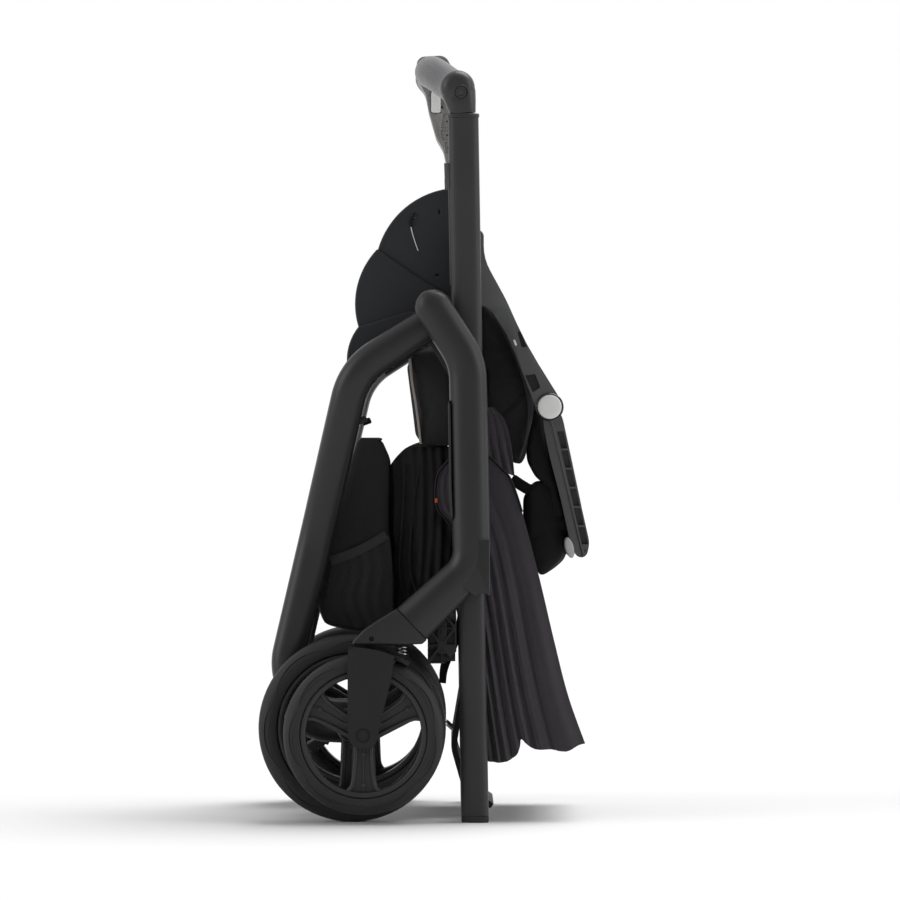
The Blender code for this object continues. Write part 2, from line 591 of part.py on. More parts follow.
def wheel_parts(xz, radius, rim_radius, inner, outer, sign):
    """Tyre and rim of a wheel: the rim has a channel, a hub and three ribbed spokes."""
    middle, half = sign * (inner + outer) / 2, (outer - inner) / 2
    shoulder = radius - TYRE_SHOULDER
    tyre = turned([
        (middle - half * 0.80, rim_radius + GAP), (middle - half, shoulder), (middle - half * 0.48, radius),
        (middle + half * 0.48, radius), (middle + half, shoulder), (middle + half * 0.80, rim_radius + GAP),
    ], xz)
    well = rim_radius - RIM_WALL
    ring = turned([
        (middle - half * 0.78, rim_radius), (middle - half * 0.80, well), (middle, well - RIM_WELL_DROP),
        (middle + half * 0.80, well), (middle + half * 0.78, rim_radius),
    ], xz)
    reach = half * WHEEL_HUB_SHARE
    hub = cylinder(xz, WHEEL_HUB_RADIUS, middle - reach, middle + reach, HUB_SIDES, WHEEL_HUB_BEVEL)
    spokes = [spoke(xz, math.radians(turn), well, middle, half) for turn in SPOKE_TURNS]
    return tyre, ring, hub, spokes


def spoke(xz, turn, well, middle, half):
    """A spoke: a web between two raised edges, wider at the rim, with a rib along its outer face."""
    outwards = math.copysign(1, middle)
    way = Vector((math.cos(turn), 0, math.sin(turn)))
    web, edge, rib = half * WEB_SHARE, half * EDGE_SHARE, half * RIB_SHARE
    sections = []
    for wide in (SPOKE_ROOT, SPOKE_TIP):
        inside = wide - SPOKE_EDGE
        ribbed = [(wide, edge), (inside, edge), (inside, web), (RIB_HALF, web), (RIB_HALF, rib)]
        ribbed += [(-u, v) for u, v in reversed(ribbed)]
        plain = [(-wide, -edge), (-inside, -edge), (-inside, -web)]
        plain += [(-u, v) for u, v in reversed(plain)]
        sections.append([(u, v * outwards) for u, v in ribbed + plain])
    return swept([at(xz, middle) + way * r for r in (SPOKE_START, well + RUNNING)], sections)


def inset(corners, wall):
    """Clockwise corners moved inwards by a wall, with their fillets made smaller by it."""
    moved = []
    for i, (x, z, radius) in enumerate(corners):
        here = Vector((x, z))
        before = (here - Vector(corners[i - 1][:2])).normalized()
        after = (Vector(corners[(i + 1) % len(corners)][:2]) - here).normalized()
        inwards = Vector((before.y + after.y, -before.x - after.x)).normalized()
        corner = here + inwards * wall / inwards.dot(Vector((before.y, -before.x)))
        moved.append((*corner, max(radius - wall, 0)))
    return moved


def basket():
    """The folded under-seat basket between the rear legs, open at the top of its walls."""
    side = REAR_LEG_FOOT_SIDE - REAR_LEG_THICKNESS / 2 - BASKET_ROOM
    corners = [
        (-0.0790, 0.4450, 0.004), (-0.0530, 0.4450, 0.006), (-0.0420, 0.4200, 0.010),
        (-0.0430, 0.3400, 0.006), (-0.0400, 0.3150, 0.010), (-0.0350, 0.2130, 0.010),
        (-0.1160, 0.2260, 0.012), (-0.1400, 0.2750, 0.015), (-0.1130, 0.3350, 0.020),
    ]
    inside = inset(corners, BASKET_WALL)
    low, high = corners[0][1] - 2 * PAST, corners[0][1] + PAST
    left, right = inside[0][0], inside[1][0]
    mouth = [(left, low), (left, high), (right, high), (right, low)]
    return (
        prism(rounded(corners), -side, side, 0.003),
        prism(rounded(inside), BASKET_WALL - side, side - BASKET_WALL),
        prism(mouth, BASKET_WALL - side, side - BASKET_WALL),
    )


def basket_flap():
    """The soft front flap, folded between the basket and the front legs."""
    outline = rounded([
        (-0.0414, 0.4080, 0.004), (-0.0250, 0.4230, 0.010), (0.0060, 0.4230, 0.015),
        (0.0240, 0.3700, 0), (0.0230, 0.3000, 0), (0.0080, 0.2640, 0.008),
        (-0.0220, 0.2640, 0.010), (-0.0424, 0.3420, 0),
    ])
    side = REAR_LEG_FOOT_SIDE - REAR_LEG_THICKNESS
    return prism(outline, -side, side, 0.004)


def brake_pedal():
    """A sleeve on the axle tube with a foot paddle that points to the rear."""
    c, s = math.cos(PEDAL_ANGLE), math.sin(PEDAL_ANGLE)
    x, z = REAR_AXLE
    paddle = []
    start, end = AXLE_TUBE_RADIUS, PEDAL_LENGTH
    for along, off in ((start, 0.006), (end, 0.010), (end + 0.004, -0.002), (start, -0.006)):
        paddle.append((x + along * c - off * s, z + along * s + off * c))
    sleeve = cylinder(REAR_AXLE, AXLE_TUBE_RADIUS + PEDAL_WALL, -PEDAL_SIDE, PEDAL_SIDE, bevel=0.001)
    reach = PEDAL_SIDE + PAST
    bore = cylinder(REAR_AXLE, AXLE_TUBE_RADIUS + PIVOT_GAP, -reach, reach, AXLE_SIDES)
    return sleeve, prism(paddle, -PEDAL_SIDE + 0.002, PEDAL_SIDE - 0.002, 0.0015), bore


def add_rear_frame(build):
    """Rear legs, axle, basket, brake pedal and the two big wheels."""
    axle_bore, hub_bore = AXLE_TUBE_RADIUS + GAP, HUB_PIN_RADIUS + PIVOT_GAP
    rim_radius = REAR_RADIUS - REAR_TYRE_HEIGHT
    for side, sign in SIDES.items():
        hole = cylinder(HUB, hub_bore, sign * (REAR_LEG_HUB_SIDE - REAR_LEG_THICKNESS),
                        sign * (REAR_LEG_HUB_SIDE + REAR_LEG_THICKNESS))
        axle_hole = cylinder(REAR_AXLE, axle_bore, sign * (REAR_LEG_FACE - REAR_LEG_THICKNESS - PAST),
                             sign * (REAR_LEG_FACE + PAST), AXLE_SIDES)
        build.add(f"rear_leg_{side}", rear_leg(sign), "rear_frame", "tube", cut=[hole, axle_hole])
        tyre, ring, hub, spokes = wheel_parts(
            REAR_AXLE, REAR_RADIUS, rim_radius, REAR_INNER, REAR_OUTER, sign)
        body = f"rear_wheel_{side}"
        build.add(f"rear_tyre_{side}", tyre, body, "rubber")
        bore = cylinder(REAR_AXLE, AXLE_STUB_RADIUS + PIVOT_GAP, sign * (REAR_INNER - PAST),
                        sign * (REAR_OUTER + PAST))
        build.add(f"rear_rim_{side}", ring, body, "plastic", join=[*spokes, hub], cut=[bore])
    reach = REAR_LEG_FACE + AXLE_COLLAR
    stub = REAR_OUTER - AXLE_INSET
    tube = cylinder(REAR_AXLE, AXLE_TUBE_RADIUS, -reach, reach, AXLE_SIDES, 0.0008)
    stubs = cylinder(REAR_AXLE, AXLE_STUB_RADIUS, -stub, stub)
    build.add("rear_axle", tube, "rear_frame", "steel", join=[stubs])
    tub, hollow, mouth = basket()
    build.add("basket", tub, "rear_frame", "fabric", cut=[hollow, mouth])
    build.add("basket_flap", basket_flap(), "rear_frame", "fabric")
    sleeve, paddle, bore = brake_pedal()
    build.add("brake_pedal", sleeve, "brake", "plastic", join=[paddle], cut=[bore])


def caster_head(sign):
    """The head that swivels under the seam, with a slot for the fork's ear."""
    way = Vector((-math.cos(SWIVEL_ANGLE), -math.sin(SWIVEL_ANGLE)))
    square = Vector((-way.y, way.x))
    seam = Vector(SWIVEL) + way * SEAM_GAP
    top = seam - square * LEG_SEAM_WIDTH / 2
    low = seam + square * LEG_SEAM_WIDTH / 2
    outline = rounded([
        (top.x, top.y, 0), (-0.0514, 0.2375, 0.08), (-0.0700, 0.2250, 0.03), (-0.0868, 0.2072, 0.003),
        (-0.0300, 0.2075, 0.01), (low.x - 0.0050, low.y - 0.0045, 0.003), (low.x, low.y, 0),
    ])
    half = LEG_THICKNESS / 2
    head = prism(outline, sign * (CASTER_SIDE - half + 0.001), sign * (CASTER_SIDE + half), 0.004, 2)
    near, far = sign * (FORK_EAR_INNER - RUNNING), sign * (FORK_EAR_OUTER + RUNNING)
    r = FORK_EAR_RADIUS + FORK_EAR_ROOM
    slot = cylinder(FORK_PIVOT, r, near, far)
    x, z = FORK_PIVOT
    mouth = prism([(x - r, z), (x + r, z), (x + r, z - 2 * PAST), (x - r, z - 2 * PAST)], near, far)
    pin = cylinder(FORK_PIVOT, FORK_PIN_RADIUS, sign * (FORK_EAR_INNER - FORK_PIN_IN_HEAD),
                   sign * (FORK_EAR_OUTER + FORK_PIN_IN_HEAD))
    return head, [slot, mouth], pin


def fork(sign):
    """The suspension fork: an outer arm, a bridge over the wheel and an ear in the head."""
    over = FRONT_RADIUS + FORK_WHEEL_GAP
    under = arc(FRONT_AXLE, over, 101, 57, 7)
    arm = rounded([
        (-0.0885, 0.2055, 0.008), (-0.0690, 0.2045, 0), (-0.0480, 0.2005, 0), (-0.0300, 0.1935, 0.008),
        (-0.0385, 0.1679, 0), (-0.0530, 0.1075, 0), (-0.0560, 0.0890, 0.013),
        (-0.0855, 0.0890, 0.013), (-0.0885, 0.1100, 0),
    ])
    bridge = [(-0.0868, 0.2060), *under, (-0.0170, 0.1895), (-0.0350, 0.1958), (-0.0520, 0.2015),
              (-0.0690, 0.2046)]
    x, z = FORK_PIVOT
    r = FORK_EAR_RADIUS
    foot = FORK_EAR_FOOT
    ear = rounded([(x - r, z + r, r * 0.98), (x + r, z + r, r * 0.98), (x + r, foot, 0), (x - r, foot, 0)])
    return (
        prism(arm, sign * FORK_INNER, sign * FORK_OUTER, FORK_BEVEL),
        prism(bridge, sign * (FRONT_INNER - 0.0020), sign * (FORK_INNER + 0.0020)),
        prism(ear, sign * FORK_EAR_INNER, sign * FORK_EAR_OUTER),
    )


def coil(sign):
    """The suspension spring, a short helix between the head and the fork's lip."""
    per_turn, sides = 8, 4
    steps = round(SPRING_TURNS * per_turn)
    low, high = SPRING_BOTTOM + SPRING_WIRE, SPRING_TOP - SPRING_WIRE
    path = []
    for i in range(steps + 1):
        a = math.tau * i / per_turn
        x, y = SPRING_X + SPRING_RADIUS * math.cos(a), sign * CASTER_SIDE + SPRING_RADIUS * math.sin(a)
        path.append(Vector((x, y, low + (high - low) * i / steps)))
    return swept(path, [disc(SPRING_WIRE, sides)] * len(path), Vector((0, 0, 1)))


def add_casters(build):
    """Swivelling heads, suspension forks, springs and the small front wheels."""
    for side, sign in SIDES.items():
        head, slots, pin = caster_head(sign)
        build.add(f"caster_head_{side}", head, f"caster_{side}", "plastic", cut=slots, pins=[pin])
        build.add(f"suspension_spring_{side}", coil(sign), f"caster_{side}", "steel")
        arm, bridge, ear = fork(sign)
        bolt = cylinder(FRONT_AXLE, FRONT_BOLT_RADIUS, sign * (FRONT_OUTER - FRONT_BOLT_IN_WHEEL),
                        sign * (FORK_OUTER + FRONT_BOLT_PROUD))
        inside, outside = sign * (FRONT_INNER - PAST), sign * (FORK_OUTER + PAST)
        bores = [cylinder(FRONT_AXLE, FRONT_BOLT_RADIUS + GAP, inside, outside) for _ in ("fork", "wheel")]
        pin_hole = cylinder(FORK_PIVOT, FORK_PIN_RADIUS + PIVOT_GAP, sign * (FORK_EAR_INNER - GAP * 3),
                            sign * (FORK_EAR_OUTER + GAP * 3))
        build.add(f"fork_{side}", arm, f"fork_{side}", "plastic",
                  join=[bridge, ear], cut=[bores[0], pin_hole])
        build.add(f"front_axle_{side}", bolt, f"fork_{side}", "steel")
        tyre, ring, hub, spokes = wheel_parts(
            FRONT_AXLE, FRONT_RADIUS, FRONT_RADIUS - FRONT_TYRE_HEIGHT, FRONT_INNER, FRONT_OUTER, sign)
        body = f"front_wheel_{side}"
        build.add(f"front_tyre_{side}", tyre, body, "rubber")
        build.add(f"front_rim_{side}", ring, body, "plastic", join=[*spokes, hub], cut=[bores[1]])


def inner_size():
    """Width and depth of the inner tube, a running fit in the outer one."""
    play = 2 * (TUBE_WALL + GAP)
    return OUTER_WIDTH - play, OUTER_DEPTH - play


def inner_tube(sign):
    """The hollow handle tube that slides in the outer tube."""
    width, depth = inner_size()
    path = [Vector((tube_x(z), sign * TUBE_SIDE, z)) for z in (FOOT_HEIGHT + GAP, OUTER_TOP + 0.0004)]
    corner = TUBE_CORNER - TUBE_WALL - GAP
    outside = [section(width, depth, corner)] * 2
    inside = [section(width - 2 * TUBE_WALL, depth - 2 * TUBE_WALL, corner - TUBE_WALL)] * 2
    return swept(path, outside, bore=inside)


def foot_cap(sign):
    """The foot that the folded stroller stands on, with its plug up in the tube."""
    width, depth = inner_size()
    play = 2 * (TUBE_WALL + GAP)
    levels = [(0, width, depth), (FOOT_HEIGHT, width, depth),
              (FOOT_HEIGHT + 0.0001, width - play, depth - play),
              (FOOT_HEIGHT + FOOT_PLUG, width - play, depth - play)]
    path = [Vector((tube_x(z), sign * TUBE_SIDE, z)) for z, _, _ in levels]
    bm = swept(path, [section(w, d, TUBE_CORNER - TUBE_WALL - GAP) for _, w, d in levels])
    for vert in bm.verts:
        vert.co.z = max(vert.co.z, 0.0)
        if vert.co.z < 0.001:
            vert.co.z = 0.0
    return bm


def elbow(sign):
    """The elbow: a sleeve on the tube, a round head that the handlebar leaves and a bolt's ring."""
    path = [Vector((tube_x(z), sign * TUBE_SIDE, z)) for z in (OUTER_TOP + RUNNING + 0.0002, SLEEVE_TOP)]
    sleeve = swept(path, [section(SLEEVE_WIDTH, SLEEVE_DEPTH, TUBE_CORNER)] * 2)
    face = TUBE_SIDE + SLEEVE_DEPTH / 2
    head = cylinder(HEAD_AT, HEAD_RADIUS, sign * HEAD_INNER, sign * face, 20, HEAD_BEVEL)
    proud = face + BOLT_RING_PROUD
    ring = cylinder(BOLT_AT, BOLT_RING_RADIUS, sign * (face - BOLT_HEX_DEPTH), sign * proud)
    hexagon = cylinder(BOLT_AT, BOLT_HEX_RADIUS, sign * (proud - BOLT_HEX_DEPTH), sign * (proud + PAST), 6)
    return sleeve, [head, ring], [hexagon]


def bar_curve(sign):
    """The handlebar's centre line from the fold unit to an elbow, which it meets squarely."""
    start, end = UNIT_SIDE + BAR_STRAIGHT, HEAD_INNER - BAR_STRAIGHT - 0.0020
    knot, square = at(BAR_MIDDLE, sign * start), at(HEAD_AT, sign * end)
    near, far = at(BAR_MIDDLE, sign * (start + BAR_PULL)), at(HEAD_AT, sign * (end - BAR_TURN))
    curve = interpolate_bezier(knot, near, far, square, BAR_STEPS)
    return [*curve, at(HEAD_AT, sign * (HEAD_INNER - GAP))]


def disc(radius, sides=10):
    """A round section."""
    turns = (math.tau * k / sides for k in range(sides))
    return [(radius * math.cos(a), radius * math.sin(a)) for a in turns]


def fold_unit():
    """The housing at mid handlebar that holds the one-hand fold button."""
    outline = rounded(shifted([
        (-0.0174, 0.0190, 0.010), (0.0171, 0.0210, 0.012), (0.0291, -0.0010, 0.010), (0.0281, -0.0910, 0),
        (0.0241, -0.1070, 0.002), (0.0181, -0.1070, 0), (0.0146, -0.0910, 0.006), (0.0061, -0.0760, 0.010),
        (-0.0029, -0.0440, 0), (-0.0064, -0.0250, 0), (-0.0164, -0.0080, 0.008),
    ], BAR_MIDDLE))
    return prism(outline, -UNIT_SIDE, UNIT_SIDE, UNIT_BEVEL)


def add_push_bar(build):
    """The handle: inner tubes, feet, elbows, bar, grips and the fold unit."""
    across = Vector((1, 0, 0))
    for side, sign in SIDES.items():
        build.add(f"inner_tube_{side}", inner_tube(sign), "push_bar", "tube")
        build.add(f"foot_cap_{side}", foot_cap(sign), "push_bar", "rubber")
        sleeve, joined, cut = elbow(sign)
        build.add(f"elbow_{side}", sleeve, "push_bar", "plastic", join=joined, cut=cut)
        curve = bar_curve(sign)
        grip = swept(curve, [disc(GRIP_RADIUS)] * len(curve), across,
                     bore=[disc(BAR_RADIUS + GAP)] * len(curve))
        build.add(f"grip_{side}", grip, "push_bar", "foam")
    path = bar_curve(-1)[::-1] + bar_curve(1)
    build.add("handlebar", swept(path, [disc(BAR_RADIUS)] * len(path), across), "push_bar", "tube")
    bar_hole = cylinder(BAR_MIDDLE, BAR_RADIUS + RUNNING, -UNIT_SIDE - PAST, UNIT_SIDE + PAST, 20)
    deep = -UNIT_SIDE + BUTTON_DEPTH + BUTTON_TRAVEL + RUNNING
    build.add("fold_unit", fold_unit(), "push_bar", "plastic",
              cut=[bar_hole, prism(button_outline(RUNNING), -UNIT_SIDE - PAST, deep)])
    button = prism(button_outline(0), -UNIT_SIDE - BUTTON_PROUD, -UNIT_SIDE + BUTTON_DEPTH, 0.0008)
    build.add("fold_button", button, "fold_button", "light_plastic")


def button_outline(grow):
    """The fold button's rounded face, grown for its pocket."""
    x, z, r = BUTTON_HALF_X + grow, BUTTON_HALF_Z + grow, BUTTON_CORNER
    return rounded(shifted([(-x, -z, r), (x, -z, r), (x, z, r), (-x, z, r)], BUTTON_AT))


def back_half_width(z):
    """Half width of the seat back at a height: narrow at the hips and at the head."""
    if z > BACK_SHOULDER:
        return BACK_TOP_SIDE
    if z > BACK_NECK:
        return BACK_SIDE
    rise = max(z - BACK_HEAD, 0) / (BACK_NECK - BACK_HEAD)
    return BACK_HEAD_SIDE + (BACK_SIDE - BACK_HEAD_SIDE) * rise


def shaped_across(bm, half):
    """Narrows a piece across, by the seat back's half width at each height."""
    bmesh.ops.triangulate(bm, faces=bm.faces)
    for vert in bm.verts:
        vert.co.y *= back_half_width(vert.co.z) / half
    return bm


def back_shell():
    """The thin shell of the seat back, whose head end curls round the child."""
    line = [(BACK_X, 0.5560, 0), (BACK_X, 0.4900, 0), (BACK_X, BACK_SHOULDER, 0), (BACK_X, 0.2900, 0),
            (BACK_X, 0.1700, 0.06), (0.0335, 0.0850, 0.04), (0.0480, 0.0330, 0.03), (0.0790, 0.0130, 0)]
    return shaped_across(prism(thick_line(line, BACK_THICKNESS), -1, 1), 1)


def add_seat_back(build):
    """Shell, pads, hip shells, recline lever and the canopy's fixed rear bow."""
    bosses, pins = [], []
    for sign in SIDES.values():
        start, end = BACK_SIDE - 0.0050, CANOPY_INNER - RUNNING
        bosses.append(cylinder(CANOPY_AT, CANOPY_BOSS_RADIUS, sign * start, sign * end, 16))
        tip = CANOPY_INNER + len(CANOPY_PARTS) * CANOPY_LAYER_PITCH - GAP
        pins.append(cylinder(CANOPY_AT, CANOPY_PIN_RADIUS, sign * (end - PAST), sign * tip))
    build.add("back_shell", back_shell(), "seat_back", "plastic", join=bosses + pins)
    pad = rounded([
        (BACK_FRONT, 0.5300, 0.006), (0.0670, 0.5200, 0.010), (0.0700, 0.3000, 0.03),
        (0.0680, 0.2000, 0.02), (BACK_FRONT, 0.1850, 0.006),
    ])
    build.add("back_pad", prism(pad, -BACK_PAD_SIDE, BACK_PAD_SIDE, 0.005), "seat_back", "fabric")
    cover = rounded([
        (-0.0140, 0.5400, 0.012), (BACK_REAR, 0.5480, 0.004), (BACK_REAR, 0.4380, 0.003),
        (0.0060, 0.4380, 0.010),
    ])
    build.add("back_cover", prism(cover, -COVER_SIDE, COVER_SIDE, 0.005), "seat_back", "fabric")
    for side, sign in SIDES.items():
        lobes = hip_lobes(sign)
        hole = cylinder(HUB, HUB_PIN_RADIUS + PIVOT_GAP, sign * (HIP_INNER - PAST), sign * ARM_INNER)
        build.add(f"hip_shell_{side}", lobes[0], "seat_back", "plastic", join=lobes[1:], cut=[hole])
    build.add("hip_cover", hip_cover(), "seat_back", "fabric")
    build.add("canopy_rear", *canopy_part("rear"), "fabric", **canopy_extras("rear"))


def lobe_outline(centre, radius, span, corners):
    """One lobe: its arc, closed past the hub."""
    return arc(centre, radius, *span, 5) + list(corners)


def hip_lobes(sign):
    """Three stepped lobes of a hip shell, each lapping the one before."""
    last = len(LOBES) - 1
    outer = [HIP_INNER + HIP_DEPTH - HIP_STEP * (last - i) for i in range(len(LOBES))]
    inner = [HIP_INNER] + [face - HIP_LAP for face in outer[:-1]]
    return [
        prism(lobe_outline(*lobe), sign * low, sign * high, 0.0012)
        for lobe, low, high in zip(LOBES, inner, outer)
    ]


def hip_cover():
    """The soft cover between the hip shells, a smaller copy of their outline."""
    outline = []
    for centre, radius, (start, end), _ in LOBES:
        outline += [
            (HUB[0] + (x - HUB[0]) * HIP_COVER_SHRINK, HUB[1] + (z - HUB[1]) * HIP_COVER_SHRINK)
            for x, z in arc(centre, radius, start, end, 4)
        ]
    front = HIP_COVER_FRONT
    outline = [p for p in outline if p[0] < front] + [(front, 0.5560), (front, 0.7000)]
    half = HIP_INNER - RUNNING
    return prism(outline, -half, half, 0.003)


def canopy_extras(which):
    """Cross sheet, far side panel and pivot holes of one part of the canopy."""
    return {"join": canopy_join(which), "cut": canopy_cut(which)}


def canopy_outline(which):
    """One part of the canopy from the side: a wedge from the pivot to the hem."""
    _, start, end, bulge = CANOPY_PARTS[which]
    hem = arc(CANOPY_AT, CANOPY_RADIUS, start, end, 3)
    boss = CANOPY_BOSS_RADIUS
    x, z = CANOPY_AT
    if which == "rear":
        return [*hem, (x + boss, z), (x, z + boss), *bulge]
    if which == "middle":
        return [*hem, (x + boss, z - 2 * boss), (x + boss, z + boss * 0.6), (x - boss * 0.6, z + boss),
                (x - boss, z - boss * 0.6)]
    return [*hem, *bulge, (x - boss, z + boss), (x - boss, z - boss)]


def canopy_layer(which):
    """Inner and outer face of one part's side panels."""
    inner = CANOPY_INNER + CANOPY_PARTS[which][0] * CANOPY_LAYER_PITCH
    return inner, inner + CANOPY_LAYER


def canopy_part(which):
    """The right side panel and the body that it moves with."""
    inner, outer = canopy_layer(which)
    body = "seat_back" if which == "rear" else f"canopy_{which}"
    return prism(canopy_outline(which), -inner, -outer), body


def canopy_join(which):
    """The left side panel and the sheet across between them."""
    inner, outer = canopy_layer(which)
    _, start, end, _ = CANOPY_PARTS[which]
    start, end = start + 0.15, end - 0.15
    sheet = arc(CANOPY_AT, CANOPY_RADIUS - CANOPY_SINK, start, end, 3)
    sheet += arc(CANOPY_AT, CANOPY_RADIUS - CANOPY_THICKNESS, end, start, 3)
    edge = outer - CANOPY_SINK
    return [prism(canopy_outline(which), inner, outer), prism(sheet, -edge, edge)][::-1]


def canopy_cut(which):
    """Pivot holes through both side panels."""
    inner, outer = canopy_layer(which)
    radius = CANOPY_PIN_RADIUS + PIVOT_GAP
    return [cylinder(CANOPY_AT, radius, sign * (inner - PAST), sign * (outer + PAST)) for sign in (-1, 1)]


def add_canopy(build):
    """The two moving parts of the canopy."""
    for which in ("middle", "front"):
        build.add(f"canopy_{which}", *canopy_part(which), "fabric", **canopy_extras(which))


def recline_lever():
    """The lever on the back of the shell, which the hand pulls to recline the seat."""
    outline = rounded([
        (0.0328, 0.1060, 0.001), (0.0300, 0.0965, 0.002), (0.0225, 0.0930, 0.003), (0.0215, 0.1020, 0.003),
    ])
    return prism(outline, -LEVER_SIDE, LEVER_SIDE, 0.0015)


def seat_arm(sign):
    """A curved arm from the hub to the pivot of the leg rest."""
    eye = [(x, z, 0) for x, z in arc(CAP_AT, CAP_RING_RADIUS - 0.0010, 25, -155, 5)]
    outline = rounded([
        (-0.0080, 0.5660, 0.014), (-0.0060, 0.6050, 0.014), (0.0400, 0.6930, 0.020),
        (0.0690, 0.6900, 0.008), (0.0690, 0.6560, 0), (0.0950, 0.6085, 0),
        (0.1180, 0.5570, 0), *eye, (0.0970, 0.5690, 0), (0.0620, 0.6170, 0),
        (0.0300, 0.5900, 0.010), (0.0200, 0.5650, 0.010),
    ])
    ring = cylinder(CAP_AT, CAP_RING_RADIUS, sign * (ARM_INNER + 0.0002), sign * (ARM_OUTER + CAP_RING_PROUD),
                    CAP_SIDES)
    pocket = cylinder(CAP_AT, CAP_RADIUS + GAP, sign * (CAP_INNER - CAP_TRAVEL - RUNNING),
                      sign * (CAP_OUTER + PAST), CAP_SIDES)
    hub_hole = cylinder(HUB, HUB_PIN_RADIUS + PIVOT_GAP, sign * (ARM_INNER - PAST), sign * (ARM_OUTER + PAST))
    return prism(outline, sign * ARM_INNER, sign * ARM_OUTER, ARM_BEVEL), ring, [pocket, hub_hole]


def add_seat_base(build):
    """Seat arms, board, pad, release buttons and the leg rest."""
    for side, sign in SIDES.items():
        arm, ring, cuts = seat_arm(sign)
        build.add(f"seat_arm_{side}", arm, "seat_base", "plastic", join=[ring], cut=cuts)
        cap = cylinder(CAP_AT, CAP_RADIUS, sign * CAP_INNER, sign * CAP_OUTER, CAP_SIDES, 0.0012)
        build.add(f"release_button_{side}", cap, f"release_button_{side}", "light_plastic")
    line = [(0.1005, 0.5740, 0), (0.1130, 0.5450, 0.1), (0.1290, 0.4980, 0)]
    board = thick_line(line, SEAT_BOARD_THICKNESS)
    half = ARM_INNER - GAP
    build.add("seat_board", prism(board, -half, half, 0.001), "seat_base", "plastic")
    pad = rounded([
        (0.0745, 0.6000, 0.005), (0.0974, 0.5727, 0), (0.1099, 0.5437, 0),
        (0.1248, 0.5000, 0.006), (0.1230, 0.4700, 0), (0.1040, 0.4150, 0.010),
        (0.0850, 0.4550, 0), (0.0735, 0.5100, 0),
    ])
    build.add("seat_pad", prism(pad, -SEAT_PAD_SIDE, SEAT_PAD_SIDE, 0.004), "seat_base", "fabric")
    add_leg_rest(build)


def add_leg_rest(build):
    """Two rails, a panel with rungs, a pivot tube and the pale bar at the tip."""
    side_outline = rounded([
        (0.1395, 0.4830, 0.006), (0.1395, 0.4600, 0), (0.1470, 0.4234, 0), (0.1590, 0.3780, 0),
        (0.1700, 0.3280, 0), (0.1790, 0.3050, 0.006), (0.1900, 0.3080, 0.006), (0.1938, 0.3230, 0),
        (0.1850, 0.3620, 0), (0.1738, 0.4152, 0), (0.1620, 0.4700, 0), (0.1530, 0.4900, 0.006),
    ])
    rail_inner = LEG_REST_SIDE - LEG_REST_RAIL
    rails = [prism(side_outline, s * rail_inner, s * LEG_REST_SIDE, LEG_REST_BEVEL) for s in SIDES.values()]
    line = [(0.1560, 0.4650, 0), (0.1640, 0.4200, 0), (0.1760, 0.3600, 0), (0.1850, 0.3150, 0)]
    panel = prism(thick_line(line, LEG_REST_PANEL), -rail_inner - 0.0020, rail_inner + 0.0020)
    rungs = []
    for k in range(LEG_REST_RUNGS):
        z = LEG_REST_TOP_RUNG - k * LEG_REST_RUNG_PITCH
        edge = LEG_REST_EDGE[0] + (LEG_REST_EDGE[1] - z) * LEG_REST_LEAN
        back, front = edge - RUNG_DEPTH, edge - RUNG_INSET
        rung = [(back, z), (front, z + RUNG_RISE), (front, z - RUNG_RISE / 2), (back, z - RUNG_RISE)]
        rungs.append(prism(rung, 0.0020 - rail_inner, rail_inner - 0.0020))
    pivot = cylinder(CAP_AT, LEG_REST_PIVOT_RADIUS, RUNNING - ARM_INNER, ARM_INNER - RUNNING, 16)
    room = prism(trim_outline(GAP), -LEG_REST_SIDE - PAST, LEG_REST_SIDE + PAST)
    build.add("leg_rest", rails[0], "leg_rest", "plastic", join=[pivot, rails[1], panel, *rungs], cut=[room])
    reach = LEG_REST_SIDE + TRIM_PROUD
    build.add("trim_bar", prism(trim_outline(0), -reach, reach, 0.0015), "leg_rest", "light_plastic")


def trim_outline(grow):
    """The oval section of the pale bar, leaning with the leg rest."""
    c, s = math.cos(TRIM_LEAN), math.sin(TRIM_LEAN)
    points = []
    for k in range(TRIM_STEPS):
        a = math.tau * k / TRIM_STEPS
        u, v = (TRIM_HALF_WIDTH + grow) * math.cos(a), (TRIM_HALF_HEIGHT + grow) * math.sin(a)
        points.append((TRIM_AT[0] + u * c + v * s, TRIM_AT[1] - u * s + v * c))
    return points


def main():
    """Builds every piece."""
    clear_scene()
    build = Builder()
    add_bodies(build)
    add_chassis(build)
    add_rear_frame(build)
    add_casters(build)
    add_push_bar(build)
    add_seat_back(build)
    build.add("recline_lever", recline_lever(), "recline_lever", "light_plastic")
    add_canopy(build)
    add_seat_base(build)


main()
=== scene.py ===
"""Looks of a folded convertible stroller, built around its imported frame.

Metres, +Z up, +X the way it drives, -Y its right side, which faces the camera. Every piece
is modelled on the right side with its distance from the middle plane counted positive, then
put on its own side of the frame.
"""

from __future__ import annotations

import json
import logging
import math
from dataclasses import dataclass
from enum import Enum
from itertools import accumulate
from typing import Callable, Iterable, Sequence

import bmesh
import bpy
from mathutils import Matrix, Vector, noise
from mathutils.geometry import interpolate_bezier

